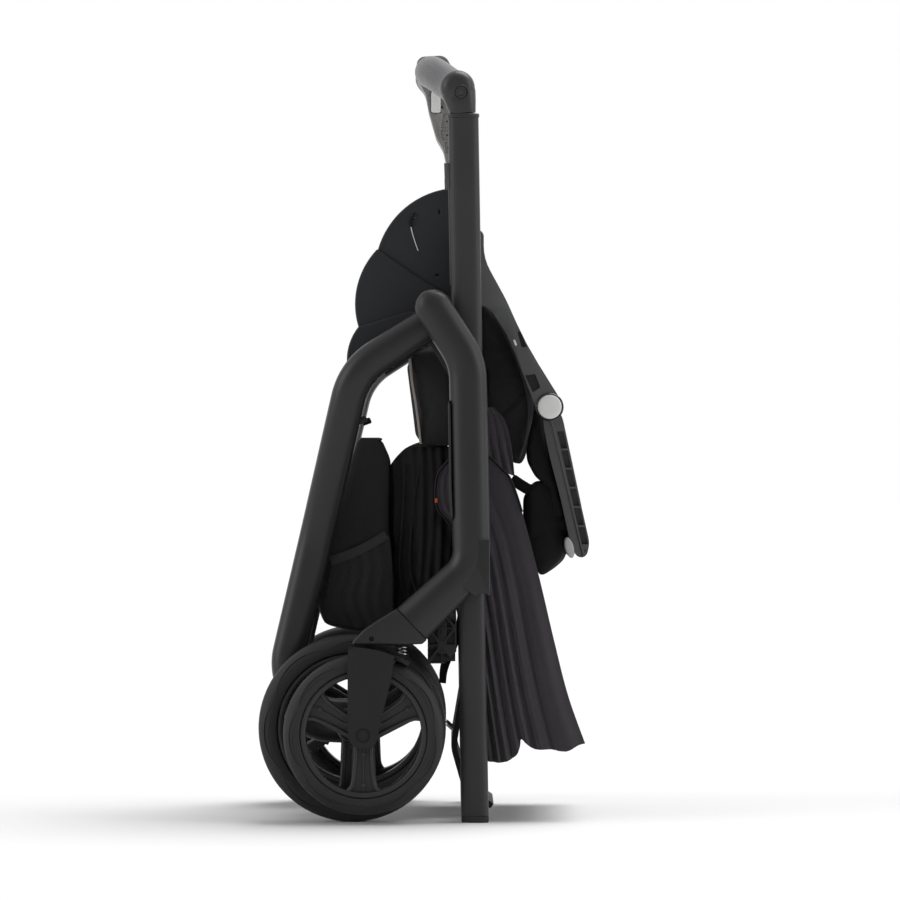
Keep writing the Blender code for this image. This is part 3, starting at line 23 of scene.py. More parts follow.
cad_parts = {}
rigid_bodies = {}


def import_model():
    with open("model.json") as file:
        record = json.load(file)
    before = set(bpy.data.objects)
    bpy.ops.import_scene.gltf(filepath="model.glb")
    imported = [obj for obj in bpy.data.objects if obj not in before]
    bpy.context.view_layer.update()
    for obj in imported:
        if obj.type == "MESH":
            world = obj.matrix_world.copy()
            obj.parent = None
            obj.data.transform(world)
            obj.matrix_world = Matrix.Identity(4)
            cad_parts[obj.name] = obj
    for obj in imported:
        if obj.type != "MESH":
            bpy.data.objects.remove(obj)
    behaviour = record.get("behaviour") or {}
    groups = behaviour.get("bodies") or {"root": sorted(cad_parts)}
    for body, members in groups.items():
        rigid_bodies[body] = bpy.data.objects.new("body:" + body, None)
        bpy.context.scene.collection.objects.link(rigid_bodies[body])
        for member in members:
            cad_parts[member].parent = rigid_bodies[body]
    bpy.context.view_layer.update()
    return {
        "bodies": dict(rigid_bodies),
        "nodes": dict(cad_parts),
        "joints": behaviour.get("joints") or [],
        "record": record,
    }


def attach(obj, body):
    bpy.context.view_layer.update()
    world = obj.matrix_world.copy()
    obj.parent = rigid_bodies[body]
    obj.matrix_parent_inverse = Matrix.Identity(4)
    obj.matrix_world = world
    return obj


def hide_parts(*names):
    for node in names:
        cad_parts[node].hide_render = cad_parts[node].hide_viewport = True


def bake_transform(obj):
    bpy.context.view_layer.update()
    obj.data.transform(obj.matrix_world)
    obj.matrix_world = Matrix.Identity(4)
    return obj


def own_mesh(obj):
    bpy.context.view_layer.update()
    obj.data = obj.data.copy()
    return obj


log = logging.getLogger("stroller")

Pair = tuple[float, float]
Corner = tuple[float, float, float]
Colour = tuple[float, float, float]

ACROSS = Vector((0.0, 1.0, 0.0))
UP = Vector((0.0, 0.0, 1.0))
AHEAD = Vector((1.0, 0.0, 0.0))
HUB: Pair = (0.0109, 0.5836)
TUBE_FOOT_X = 0.0586
TUBE_LEAN = 0.0167
TUBE_SIDE = 0.1980
LEG_SIDE = 0.2289
SWIVEL: Pair = (-0.0144, 0.2317)
SEAM_LEAN = 44.0
SEAM_GAP = 0.0008
REAR_AXLE: Pair = (-0.0844, 0.1092)
REAR_RADIUS = 0.1092
FRONT_AXLE: Pair = (-0.0703, 0.1041)
FRONT_RADIUS = 0.0931
CANOPY_PIVOT: Pair = (0.0470, 0.3885)
FLAT_EDGE = 1e-7


class Side(Enum):
    """The two sides of the stroller, by the sign of Y."""

    RIGHT = -1
    LEFT = 1

    @property
    def word(self) -> str:
        """The side's name, as the nodes write it."""
        return self.name.lower()


def tube_x(z: float) -> float:
    """Centre of the leaning handle tubes at a height."""
    return TUBE_FOOT_X - TUBE_LEAN * z


def in_side_view(point: Pair, across: float = 0.0) -> Vector:
    """A point of the side view, at a distance across."""
    return Vector((point[0], across, point[1]))


def clamped(value: float) -> float:
    """A value kept between 0 and 1."""
    return min(max(value, 0.0), 1.0)


def arc(centre: Pair, radius: float, start: float, end: float, steps: int) -> list[Pair]:
    """Points of an arc in the side view.

    Args:
        centre: its centre.
        radius: its radius.
        start: first angle in degrees, counter-clockwise from +X.
        end: last angle in degrees.
        steps: stretches between the points.

    Returns:
        The points, both ends included.
    """
    turns = (math.radians(start + (end - start) * i / steps) for i in range(steps + 1))
    return [(centre[0] + radius * math.cos(a), centre[1] + radius * math.sin(a)) for a in turns]


def filleted(corners: Sequence[Corner], closed: bool = True, step: float = 7.5) -> list[Pair]:
    """An outline whose corners are turned into arcs.

    Args:
        corners: (x, z, fillet radius) of each corner.
        closed: whether the last corner joins the first.
        step: degrees between the points of an arc.

    Returns:
        The outline's points.
    """
    points: list[Pair] = []
    count = len(corners)
    for i, (x, z, radius) in enumerate(corners):
        here = Vector((x, z))
        ends = not closed and i in (0, count - 1)
        before = (Vector(corners[i - 1][:2]) - here).normalized()
        after = (Vector(corners[(i + 1) % count][:2]) - here).normalized()
        between = 0.0 if ends else before.angle(after)
        turn = math.pi - between
        if ends or radius == 0 or turn < math.radians(1):
            points.append((x, z))
            continue
        centre = here + (before + after).normalized() * (radius / math.sin(between / 2))
        first = here + before * (radius / math.tan(between / 2)) - centre
        sign = 1 if before.x * after.y - before.y * after.x < 0 else -1
        steps = max(2, round(math.degrees(turn) / step))
        for k in range(steps + 1):
            spoke = Matrix.Rotation(sign * turn * k / steps, 2) @ first
            points.append(tuple(centre + spoke))
    return points


def softened(corners: Sequence[Pair], radius: float) -> list[Pair]:
    """An outline whose corners all have one fillet radius."""
    return filleted([(x, z, radius) for x, z in corners])


def rounded_box(centre: Pair, half: Pair, radius: float) -> list[Pair]:
    """A box of the side view with rounded corners, by its centre and its half sizes."""
    (x, z), (a, b) = centre, half
    return softened([(x - a, z - b), (x + a, z - b), (x + a, z + b), (x - a, z + b)], radius)


def spaced(path: Sequence[Vector], gap: float) -> list[Vector]:
    """A path with points added, so that no stretch is longer than a gap.

    Args:
        path: its points.
        gap: the longest stretch.

    Returns:
        The old and the new points in order.
    """
    points = [path[0]]
    for a, b in zip(path, path[1:]):
        count = max(1, math.ceil((b - a).length / gap))
        points += [a.lerp(b, k / count) for k in range(1, count + 1)]
    return points


def travelled(path: Sequence[Vector]) -> list[float]:
    """How far along a path each of its points lies."""
    return list(accumulate(((b - a).length for a, b in zip(path, path[1:])), initial=0.0))


def mirrored(path: Sequence[Vector]) -> list[Vector]:
    """A path's points on the other side of the middle plane, the last one first."""
    return [Vector((p.x, -p.y, p.z)) for p in path[::-1]]


def smoothed(knots: Sequence[Sequence[float]], per_knot: int = 6, closed: bool = False) -> list[Vector]:
    """A smooth curve through knots, each a point of two or three numbers.

    Args:
        knots: the points it passes.
        per_knot: points made for each stretch.
        closed: whether the curve returns to its first knot.

    Returns:
        The curve's points.
    """
    given = [Vector(k) for k in knots]
    count = len(given)
    stretches = count if closed else count - 1
    points: list[Vector] = []
    for i in range(stretches):
        if closed:
            a, b, c, d = (given[(i + k) % count] for k in (-1, 0, 1, 2))
        else:
            a, b, c, d = (given[min(max(i + k, 0), count - 1)] for k in (-1, 0, 1, 2))
        for k in range(per_knot):
            t = k / per_knot
            points.append(0.5 * (2 * b + (c - a) * t + (2 * a - 5 * b + 4 * c - d) * t * t
                                 + (3 * b - a - 3 * c + d) * t * t * t))
    return points if closed else points + [given[-1]]


def pillow(width: float, depth: float, corner: float, per_corner: int = 5) -> list[Pair]:
    """A rounded rectangle: width along the first direction, depth along the second.

    Args:
        width: its size along the first direction.
        depth: its size along the second direction.
        corner: radius of its corners.
        per_corner: stretches in each corner.

    Returns:
        The outline's points.
    """
    corner = min(corner, width / 2 - 1e-5, depth / 2 - 1e-5)
    points = []
    for quarter, (sx, sy) in enumerate(((1, 1), (-1, 1), (-1, -1), (1, -1))):
        cx, cy = sx * (width / 2 - corner), sy * (depth / 2 - corner)
        for k in range(per_corner + 1):
            a = math.radians(90 * (quarter + k / per_corner))
            points.append((cx + corner * math.cos(a), cy + corner * math.sin(a)))
    return points


def oval(width: float, depth: float, power: float = 2.3, sides: int = 44) -> list[Pair]:
    """The outline of a tube that is between an ellipse and a rounded box.

    Args:
        width: its size along the first direction.
        depth: its size along the second direction.
        power: 2 for an ellipse; the higher, the closer to a box.
        sides: how many points it has.

    Returns:
        The outline's points.
    """
    outline = []
    for k in range(sides):
        c, s = math.cos(math.tau * k / sides), math.sin(math.tau * k / sides)
        outline.append((math.copysign(abs(c) ** (2 / power), c) * width / 2,
                        math.copysign(abs(s) ** (2 / power), s) * depth / 2))
    return outline


def disc(radius: float, sides: int = 16) -> list[Pair]:
    """A round section."""
    return [(radius * math.cos(math.tau * k / sides), radius * math.sin(math.tau * k / sides))
            for k in range(sides)]


class Form:
    """A mesh being shaped with bmesh operators."""

    def __init__(self) -> None:
        """Starts with nothing."""
        self.bm = bmesh.new()

    def closed(self) -> Form:
        """Merges what touches and points every face outwards.

        Returns:
            The form itself.
        """
        bmesh.ops.remove_doubles(self.bm, verts=self.bm.verts, dist=1e-6)
        bmesh.ops.recalc_face_normals(self.bm, faces=self.bm.faces)
        return self

    def bevel(self, edges: Iterable[bmesh.types.BMEdge], width: float, segments: int = 3) -> None:
        """Rounds some edges."""
        bmesh.ops.bevel(
            self.bm, geom=list(edges), offset=width, offset_type="OFFSET", segments=segments,
            profile=0.5, affect="EDGES", clamp_overlap=True, material=-1,
        )

    @classmethod
    def plate(cls, outline: Sequence[Sequence[float]], near: float, far: float, bevel: float = 0.0,
              segments: int = 3, sharp: Sequence[Pair] = ()) -> Form:
        """An outline of the side view, given a thickness across.

        Args:
            outline: its points in order.
            near: where it starts, across.
            far: where it ends, across.
            bevel: how far its rims are rounded.
            segments: faces in that rounding.
            sharp: outline points whose rims stay square.

        Returns:
            The closed form.
        """
        form = cls()
        verts = [form.bm.verts.new((x, near, z)) for x, z in outline]
        face = form.bm.faces.new(verts)
        grown = bmesh.ops.extrude_face_region(form.bm, geom=[face])["geom"]
        moved = [g for g in grown if isinstance(g, bmesh.types.BMVert)]
        bmesh.ops.translate(form.bm, verts=moved, vec=(0, far - near, 0))
        if bevel:
            kept = {(round(x, 5), round(z, 5)) for x, z in sharp}
            rims = []
            for edge in form.bm.edges:
                a, b = edge.verts
                ends = {(round(v.co.x, 5), round(v.co.z, 5)) for v in edge.verts}
                if abs(a.co.y - b.co.y) < FLAT_EDGE and not ends <= kept:
                    rims.append(edge)
            form.bevel(rims, bevel, segments)
        return form.closed()

    @classmethod
    def turned(cls, profile: Sequence[Pair], centre: Pair, steps: int = 64, ring: bool = True) -> Form:
        """Spins a profile about an axis across.

        Args:
            profile: (distance across, radius) of its points.
            centre: where the axis stands in the side view.
            steps: faces round the axis.
            ring: whether the profile closes on itself; otherwise its ends lie on the axis.

        Returns:
            The closed form.
        """
        form = cls()
        verts = [form.bm.verts.new((centre[0], y, centre[1] + r)) for y, r in profile]
        pairs = list(zip(verts, verts[1:])) + ([(verts[-1], verts[0])] if ring else [])
        edges = [form.bm.edges.new(pair) for pair in pairs]
        bmesh.ops.spin(form.bm, geom=verts + edges, cent=in_side_view(centre), axis=ACROSS,
                       angle=math.tau, steps=steps, use_merge=True, use_duplicate=False)
        return form.closed()

    @classmethod
    def bar(cls, centre: Pair, radius: float, near: float, far: float, sides: int = 32,
            bevel: float = 0.0) -> Form:
        """A round bar across.

        Args:
            centre: where its axis stands in the side view.
            radius: its radius.
            near: where it starts, across.
            far: where it ends, across.
            sides: faces round it.
            bevel: how far its rims are rounded.

        Returns:
            The closed form.
        """
        form = cls()
        turn = Matrix.Rotation(-math.pi / 2, 4, "X")
        place = Matrix.Translation(in_side_view(centre, (near + far) / 2)) @ turn
        bmesh.ops.create_cone(form.bm, cap_ends=True, segments=sides, radius1=radius,
                              radius2=radius, depth=abs(far - near), matrix=place)
        if bevel:
            form.bevel([edge for edge in form.bm.edges
                        if abs(edge.verts[0].co.y - edge.verts[1].co.y) < FLAT_EDGE], bevel, 3)
        return form.closed()

    @classmethod
    def sweep(cls, path: Sequence[Vector], outline: Sequence[Pair],
              sizes: Sequence[Pair] | None = None, across: Vector = ACROSS, caps: bool = True) -> Form:
        """Extrudes a section step by step along a path.

        Args:
            path: the centre line.
            outline: the section, its second direction kept near across.
            sizes: shares of the section's width and depth at each point of the path.
            across: the direction that the section's depth follows.
            caps: whether the ends are filled.

        Returns:
            The form, closed if it has caps.
        """
        form = cls()
        frames = frames_along(path, across)
        shares = list(sizes or [(1.0, 1.0)] * len(path))
        grow = Matrix.Diagonal((*shares[0], 1.0, 1.0))
        first = [form.bm.verts.new(frames[0] @ grow @ Vector((u, v, 0.0))) for u, v in outline]
        edges = [form.bm.edges.new(pair) for pair in zip(first, first[1:] + first[:1])]
        if caps:
            form.bm.faces.new(first)
        for k in range(1, len(frames)):
            grown = bmesh.ops.extrude_edge_only(form.bm, edges=edges)["geom"]
            verts = [g for g in grown if isinstance(g, bmesh.types.BMVert)]
            new = set(verts)
            edges = [g for g in grown if isinstance(g, bmesh.types.BMEdge) and set(g.verts) <= new]
            (wide, deep), (wide_before, deep_before) = shares[k], shares[k - 1]
            ratio = Matrix.Diagonal((wide / wide_before, deep / deep_before, 1.0, 1.0))
            move = frames[k] @ ratio @ frames[k - 1].inverted()
            bmesh.ops.transform(form.bm, matrix=move, verts=verts)
        if caps:
            bmesh.ops.contextual_create(form.bm, geom=edges)
        return form.closed()

    @classmethod
    def sheet(cls, along: int, across: int, place: Callable[[float, float], Vector]) -> Form:
        """A grid whose points are placed by a function.

        Args:
            along: stretches in the first direction.
            across: stretches in the second direction.
            place: gives a point from its shares of both directions, from 0 to 1.

        Returns:
            The open form.
        """
        form = cls()
        bmesh.ops.create_grid(form.bm, x_segments=along, y_segments=across, size=0.5)
        for vert in form.bm.verts:
            vert.co = place(vert.co.x + 0.5, vert.co.y + 0.5)
        bmesh.ops.recalc_face_normals(form.bm, faces=form.bm.faces)
        return form

    def relaxed(self, times: int) -> Form:
        """The form itself, smoothed a number of times.

        Args:
            times: how often.

        Returns:
            The form itself.
        """
        for _ in range(times):
            bmesh.ops.smooth_vert(self.bm, verts=self.bm.verts, factor=0.5,
                                  use_axis_x=True, use_axis_y=True, use_axis_z=True)
        return self

    def pushed(self, amount: Callable[[Vector, Vector], float]) -> Form:
        """Moves each point along its normal by an amount that depends on its place and normal.

        Args:
            amount: gives the distance from a place and its normal.

        Returns:
            The form itself.
        """
        self.bm.normal_update()
        moves = [(vert, vert.normal * amount(vert.co, vert.normal)) for vert in self.bm.verts]
        for vert, move in moves:
            vert.co += move
        return self

    def join(self, *others: Form) -> Form:
        """Takes the meshes of other forms in.

        Args:
            others: the forms, which are used up.

        Returns:
            The form itself.
        """
        for other in others:
            mesh = bpy.data.meshes.new("joined")
            other.bm.to_mesh(mesh)
            other.bm.free()
            self.bm.from_mesh(mesh)
            bpy.data.meshes.remove(mesh)
        return self

    def moved(self, matrix: Matrix) -> Form:
        """The form itself, transformed."""
        bmesh.ops.transform(self.bm, matrix=matrix, verts=self.bm.verts)
        return self

    def on(self, side: Side) -> Form:
        """The form itself, put on its side of the stroller.

        Args:
            side: its side of the stroller.

        Returns:
            The form itself.
        """
        if side is Side.RIGHT:
            bmesh.ops.scale(self.bm, vec=(1, -1, 1), verts=self.bm.verts)
            bmesh.ops.reverse_faces(self.bm, faces=self.bm.faces)
        return self


def direction(path: Sequence[Vector], i: int) -> Vector:
    """The way that a path runs at one of its points."""
    return (path[min(i + 1, len(path) - 1)] - path[max(i - 1, 0)]).normalized()


def frames_along(path: Sequence[Vector], across: Vector) -> list[Matrix]:
    """The placing matrices of a section along a path.

    Args:
        path: the centre line.
        across: the direction that the section's depth follows.

    Returns:
        A matrix for each point, its third axis along the path.
    """
    frames = []
    for i, point in enumerate(path):
        along = direction(path, i)
        depth = (across - along * across.dot(along)).normalized()
        width = depth.cross(along)
        frame = Matrix((width, depth, along)).transposed().to_4x4()
        frame.translation = point
        frames.append(frame)
    return frames


def round_end(radius: float, steps: int = 8, least: float = 0.06) -> list[Pair]:
    """(how far back from the tip, share of full width) along a rounded end."""
    angles = (math.pi / 2 * k / steps for k in range(steps + 1))
    return [(radius * (1 - math.cos(a)), max(math.sin(a), least)) for a in angles]


def nosed(path: Sequence[Vector], radius: float) -> tuple[list[Vector], list[float]]:
    """A path with its start stretched into a round nose, and each point's share of width.

    Args:
        path: its points.
        radius: the nose's radius.

    Returns:
        The path's points, and for each its share of the full width.
    """
    along = (path[0] - path[1]).normalized()
    nose = [(path[0] + along * (radius - back), share) for back, share in round_end(radius)]
    return [p for p, _ in nose] + list(path[1:]), [s for _, s in nose] + [1.0] * (len(path) - 1)


class Socket:
    """A shader socket that takes part in Python arithmetic."""

    def __init__(self, shade: Shade, link: bpy.types.NodeSocket) -> None:
        """Wraps an output of a node of a shade."""
        self.shade = shade
        self.link = link

    def maths(self, operation: str, *others: Socket | float) -> Socket:
        """A Math node on this socket and others."""
        return self.shade.maths(operation, self, *others)

    def __add__(self, other: Socket | float) -> Socket:
        """The sum."""
        return self.maths("ADD", other)

    __radd__ = __add__

    def __mul__(self, other: Socket | float) -> Socket:
        """The product."""
        return self.maths("MULTIPLY", other)

    __rmul__ = __mul__

    def __sub__(self, other: Socket | float) -> Socket:
        """The difference."""
        return self.maths("SUBTRACT", other)

    def __rsub__(self, other: Socket | float) -> Socket:
        """The difference, the other way round."""
        return self.shade.maths("SUBTRACT", other, self)


class Shade:
    """The node tree of one material, around its Principled shader."""

    def __init__(self, name: str) -> None:
        """Makes the material.

        Args:
            name: the material's name.
        """
        self.material = bpy.data.materials.new(name)
        self.material.use_nodes = True
        self.nodes = self.material.node_tree.nodes
        self.shader = self.nodes["Principled BSDF"]

    def node(self, kind: str, settings: dict | None = None, inputs: dict | None = None,
             output: int | str = 0) -> Socket:
        """Adds a node.

        Args:
            kind: the node's type.
            settings: its own settings, set first.
            inputs: the values or links of its sockets, by name or number.
            output: which output is returned.

        Returns:
            That output.
        """
        made = self.nodes.new(kind)
        for key, value in (settings or {}).items():
            setattr(made, key, value)
        for key, value in (inputs or {}).items():
            self.feed(made.inputs[key], value)
        return Socket(self, made.outputs[output])

    def feed(self, into: bpy.types.NodeSocket, value: Socket | float | Sequence[float]) -> None:
        """Links a socket, or sets its own value.

        Args:
            into: the socket.
            value: the link, number or colour that it gets.
        """
        if isinstance(value, Socket):
            self.material.node_tree.links.new(value.link, into)
        elif isinstance(value, (tuple, list)) and len(value) == 3 and into.type == "RGBA":
            into.default_value = (*value, 1.0)
        else:
            into.default_value = value

    def maths(self, operation: str, *values: Socket | float) -> Socket:
        """A Math node on values."""
        return self.node("ShaderNodeMath", {"operation": operation}, dict(enumerate(values)))

    def set(self, **values: Socket | float | Colour) -> None:
        """Feeds sockets of the shader, their names written with underscores."""
        for name, value in values.items():
            self.feed(self.shader.inputs[name.replace("_", " ")], value)

    def place(self, stretch: Colour = (1.0, 1.0, 1.0)) -> Socket:
        """Object coordinates, stretched."""
        here = self.node("ShaderNodeTexCoord", output="Object")
        return self.node("ShaderNodeMapping", inputs={"Vector": here, "Scale": stretch})

    def axes(self) -> tuple[Socket, ...]:
        """Object coordinates along X, Y and Z, each on its own."""
        split = self.node("ShaderNodeSeparateXYZ", inputs={0: self.place()})
        return tuple(Socket(self, output) for output in split.link.node.outputs)

    def noise(self, scale: float, detail: float = 2.0, at: Socket | None = None) -> Socket:
        """Noise of a number of features a metre."""
        return self.node("ShaderNodeTexNoise", inputs={
            "Vector": at or self.place(), "Scale": scale, "Detail": detail}, output="Fac")

    def cells(self, scale: float) -> Socket:
        """Distance to the nearest of scattered points."""
        return self.node("ShaderNodeTexVoronoi", inputs={"Vector": self.place(), "Scale": scale},
                         output="Distance")

    def blend(self, share: Socket | float, low: Colour, high: Colour) -> Socket:
        """A colour between two."""
        return self.node("ShaderNodeMix", {"data_type": "RGBA"}, {"Factor": share, 6: low, 7: high}, 2)

    def bump(self, height: Socket, distance: float) -> Socket:
        """A normal that follows a height."""
        return self.node("ShaderNodeBump", inputs={
            "Height": height, "Distance": distance, "Strength": 1.0}, output="Normal")


def tinted(colour: Colour, share: float) -> Colour:
    """A colour made lighter or darker by a share."""
    return tuple(min(c * share, 1.0) for c in colour)


@dataclass(frozen=True)
class Finish:
    """A finish: its colour and gloss, and the grain that its kind adds."""

    name: str
    slot: str
    colour: Colour
    roughness: float
    metallic: float = 0.0
    specular: float = 0.5
    grain: float = 900.0
    relief: float = 0.00008
    variation: float = 0.12

    def mottled(self, shade: Shade, share: Socket, spread: float = 1.0) -> Socket:
        """The colour, a little darker or lighter by a share."""
        change = self.variation * spread
        return shade.blend(share, tinted(self.colour, 1 - change), tinted(self.colour, 1 + change))

    def dress(self, shade: Shade) -> None:
        """Grain, faint mottling and a gloss that varies with them.

        Args:
            shade: the shade whose sockets are fed.
        """
        grain = shade.noise(self.grain, 3.0)
        patches = shade.noise(14.0, 3.0)
        mix = grain * 0.4 + patches * 0.6
        shade.set(
            Base_Color=self.mottled(shade, mix),
            Roughness=patches * 0.16 + (self.roughness - 0.08),
            Normal=shade.bump(grain, self.relief),
        )

    @property
    def material(self) -> bpy.types.Material:
        """The material, made once.

        Returns:
            The material.
        """
        found = bpy.data.materials.get(self.name)
        if found:
            return found
        shade = Shade(self.name)
        shade.set(Metallic=self.metallic, Specular_IOR_Level=self.specular)
        self.dress(shade)
        return shade.material


@dataclass(frozen=True)
class Moulded(Finish):
    """Injection-moulded plastic with a spark-eroded grain."""

    def dress(self, shade: Shade) -> None:
        """Pits of the mould's texture over the mottling.

        Args:
            shade: the shade whose sockets are fed.
        """
        pits = shade.cells(self.grain)
        patches = shade.noise(22.0, 4.0)
        shade.set(
            Base_Color=self.mottled(shade, patches),
            Roughness=pits * 0.12 + patches * 0.10 + (self.roughness - 0.10),
            Normal=shade.bump(pits, self.relief),
        )


@dataclass(frozen=True)
class Brushed(Finish):
    """Metal brushed or drawn across the stroller."""

    def dress(self, shade: Shade) -> None:
        """Fine scratches along one direction."""
        scratches = shade.noise(self.grain, 4.0, shade.place((1.0, 0.06, 1.0)))
        shade.set(
            Base_Color=self.mottled(shade, scratches),
            Roughness=scratches * 0.22 + (self.roughness - 0.11),
            Normal=shade.bump(scratches, self.relief),
        )


@dataclass(frozen=True)
class Woven(Finish):
    """Woven polyester: threads over and under, faint creases and a soft sheen."""

    thread: float = 0.0007
    sheen: float = 0.12

    def dress(self, shade: Shade) -> None:
        """A plain weave on the surface's own directions, with slubs.

        Args:
            shade: the shade whose sockets are fed.
        """
        x, y, z = shade.axes()
        pace = math.pi / self.thread
        warp = ((x + y) * pace).maths("SINE")
        weft = (z * pace + (x - y) * (pace * 0.5)).maths("SINE")
        weave = warp * weft
        slubs = shade.noise(420.0, 3.0, shade.place((1.0, 1.0, 0.2)))
        creases = shade.noise(26.0, 5.0)
        shade.set(
            Base_Color=self.mottled(shade, weave * 0.18 + slubs * 0.5 + creases * 0.3, 2.0),
            Roughness=slubs * 0.10 + (self.roughness - 0.05),
            Normal=shade.bump(weave * 0.5 + slubs * 0.8 + creases * 3.0, self.relief),
            Sheen_Weight=self.sheen, Sheen_Roughness=0.45, Sheen_Tint=(1.0, 1.0, 1.0),
        )


@dataclass(frozen=True)
class Netted(Finish):
    """Knitted mesh: round holes in rows, through which the dark inside shows."""

    pitch: float = 0.0026

    def dress(self, shade: Shade) -> None:
        """Rows of holes, darker and lower than the yarn between them.

        Args:
            shade: the shade whose sockets are fed.
        """
        x, y, z = shade.axes()
        pace = math.tau / self.pitch
        rows = ((x + y) * pace).maths("SINE")
        lines = (z * pace).maths("SINE")
        holes = (rows * lines).maths("ABSOLUTE")
        shade.set(
            Base_Color=shade.blend(holes, tinted(self.colour, 1.9), tinted(self.colour, 0.15)),
            Roughness=self.roughness,
            Normal=shade.bump(1 - holes, self.relief),
        )


@dataclass(frozen=True)
class Hide(Finish):
    """Leather-look wrap with a pebbled grain."""

    def dress(self, shade: Shade) -> None:
        """Pebbles with dark creases between them.

        Args:
            shade: the shade whose sockets are fed.
        """
        pebbles = shade.cells(self.grain)
        patches = shade.noise(60.0, 3.0)
        shade.set(
            Base_Color=shade.blend(pebbles, tinted(self.colour, 1.15), tinted(self.colour, 0.7)),
            Roughness=pebbles * 0.25 + patches * 0.12 + (self.roughness - 0.15),
            Normal=shade.bump(1 - pebbles, self.relief),
        )


GRAPHITE = Finish("graphite_powder_coat", "frame", (0.0255, 0.0256, 0.0272), 0.42, 0.0, 0.26, 1500.0, 0.00006)
LEG_COAT = Finish("leg_powder_coat", "frame", (0.0142, 0.0143, 0.0151), 0.38, 0.0, 0.30, 1500.0, 0.00006)
ELBOW_COAT = Finish("elbow_coat", "plastic", (0.0260, 0.0255, 0.0275), 0.36, 0.0, 0.32, 1500.0, 0.00004)
PLASTIC = Moulded("moulded_black_plastic", "plastic", (0.0138, 0.0139, 0.0145), 0.48, 0.0, 0.18, 1300.0,
                  0.00005)
SHELL = Moulded("hip_shell_plastic", "plastic", (0.0185, 0.0193, 0.0218), 0.55, 0.0, 0.20, 1700.0, 0.00005)
ARM_SHELL = Moulded("seat_arm_plastic", "plastic", (0.0600, 0.0605, 0.0620), 0.50, 0.0, 0.34, 1400.0, 0.00005)
UNIT_SHELL = Moulded("fold_unit_plastic", "plastic", (0.170, 0.165, 0.160), 0.42, 0.0, 0.40, 1400.0, 0.00004)
GLOSS = Moulded("smooth_black_plastic", "plastic", (0.0080, 0.0080, 0.0090), 0.20, 0.0, 0.45, 600.0, 0.00001)
SILVER = Moulded("silver_white_plastic", "silver", (0.60, 0.60, 0.585), 0.38, 0.0, 0.4, 900.0, 0.00002, 0.03)
TRIM = Moulded("leg_rest_trim_plastic", "silver", (0.34, 0.34, 0.335), 0.25, 0.0, 0.5, 900.0, 0.00001, 0.03)
# Pale colour of the strips on the rear legs' low edges: a painted highlight.
LEG_EDGE_HIGHLIGHT = Moulded("liner_plastic", "plastic", (0.14, 0.14, 0.145), 0.18, 0.0, 0.7, 700.0, 0.00001)
# Pale colour of the strip along the back cover's edge: a painted highlight.
COVER_EDGE_HIGHLIGHT = Woven("pale_bound_edge", "fabric", (0.30, 0.27, 0.25), 0.8, 0.0, 0.2, 1.0, 0.0002)
RIM = Moulded("rim_plastic", "plastic", (0.0210, 0.0210, 0.0220), 0.42, 0.0, 0.34, 1300.0, 0.00004)
RUBBER = Finish("foot_rubber", "rubber", (0.0290, 0.0290, 0.0290), 0.72, 0.0, 0.18, 700.0, 0.00012)
TYRE = Finish("tyre_rubber", "tyre", (0.0178, 0.0172, 0.0176), 0.56, 0.0, 0.26, 800.0, 0.00010)
STEEL = Brushed("zinc_plated_steel", "steel", (0.52, 0.53, 0.55), 0.30, 1.0, 0.5, 900.0, 0.00003)
DARK_STEEL = Brushed("blackened_steel", "steel", (0.05, 0.05, 0.052), 0.34, 1.0, 0.5, 900.0, 0.00003)
CANOPY_CLOTH = Woven("canopy_cloth", "fabric", (0.0460, 0.0412, 0.0470), 0.84, 0.0, 0.12, 1.0, 0.00030)
SEAT_CLOTH = Woven("seat_cloth", "fabric", (0.0215, 0.0208, 0.0215), 0.86, 0.0, 0.10, 1.0, 0.00030,
                   sheen=0.03)
COVER_CLOTH = Woven("back_cover_cloth", "fabric", (0.0260, 0.0245, 0.0255), 0.86, 0.0, 0.10, 1.0, 0.00020,
                    sheen=0.04)
EDGE_CLOTH = Woven("bound_edge_cloth", "fabric", (0.0300, 0.0290, 0.0300), 0.74, 0.0, 0.16, 1.0, 0.00020,
                   sheen=0.04)
BASKET_CLOTH = Woven("basket_cloth", "fabric", (0.0215, 0.0210, 0.0213), 0.80, 0.0, 0.10, 1.0, 0.00024,
                     sheen=0.02)
BAND_CLOTH = Woven("pocket_band_cloth", "fabric", (0.0330, 0.0320, 0.0325), 0.74, 0.0, 0.16, 1.0, 0.00022,
                   sheen=0.05)
MESH_CLOTH = Netted("mesh_pocket", "fabric", (0.0225, 0.0222, 0.0222), 0.80, 0.0, 0.12, 1.0, 0.00050)
WEBBING = Woven("harness_webbing", "fabric", (0.0085, 0.0082, 0.0085), 0.70, 0.0, 0.16, 1.0, 0.00030,
                thread=0.0011, sheen=0.03)
# Near black: the real colour of the piping, the elastic and the seam collar, and painted shade where it
# colours the screw recesses and the elbow bolt's hex socket.
PIPING_AND_RECESS_SHADE = Finish("black_piping", "fabric", (0.004, 0.004, 0.0045), 0.62, 0.0, 0.2, 900.0, 0.00008)
LEATHER = Hide("leather_look_wrap", "foam", (0.066, 0.063, 0.069), 0.34, 0.0, 0.62, 620.0, 0.00012)
TAG = Woven("orange_tag_cloth", "fabric", (0.45, 0.09, 0.02), 0.8, 0.0, 0.2, 1.0, 0.0002)
THREAD = Finish("pale_thread", "fabric", (0.62, 0.61, 0.58), 0.6, 0.0, 0.3, 2500.0, 0.0001)


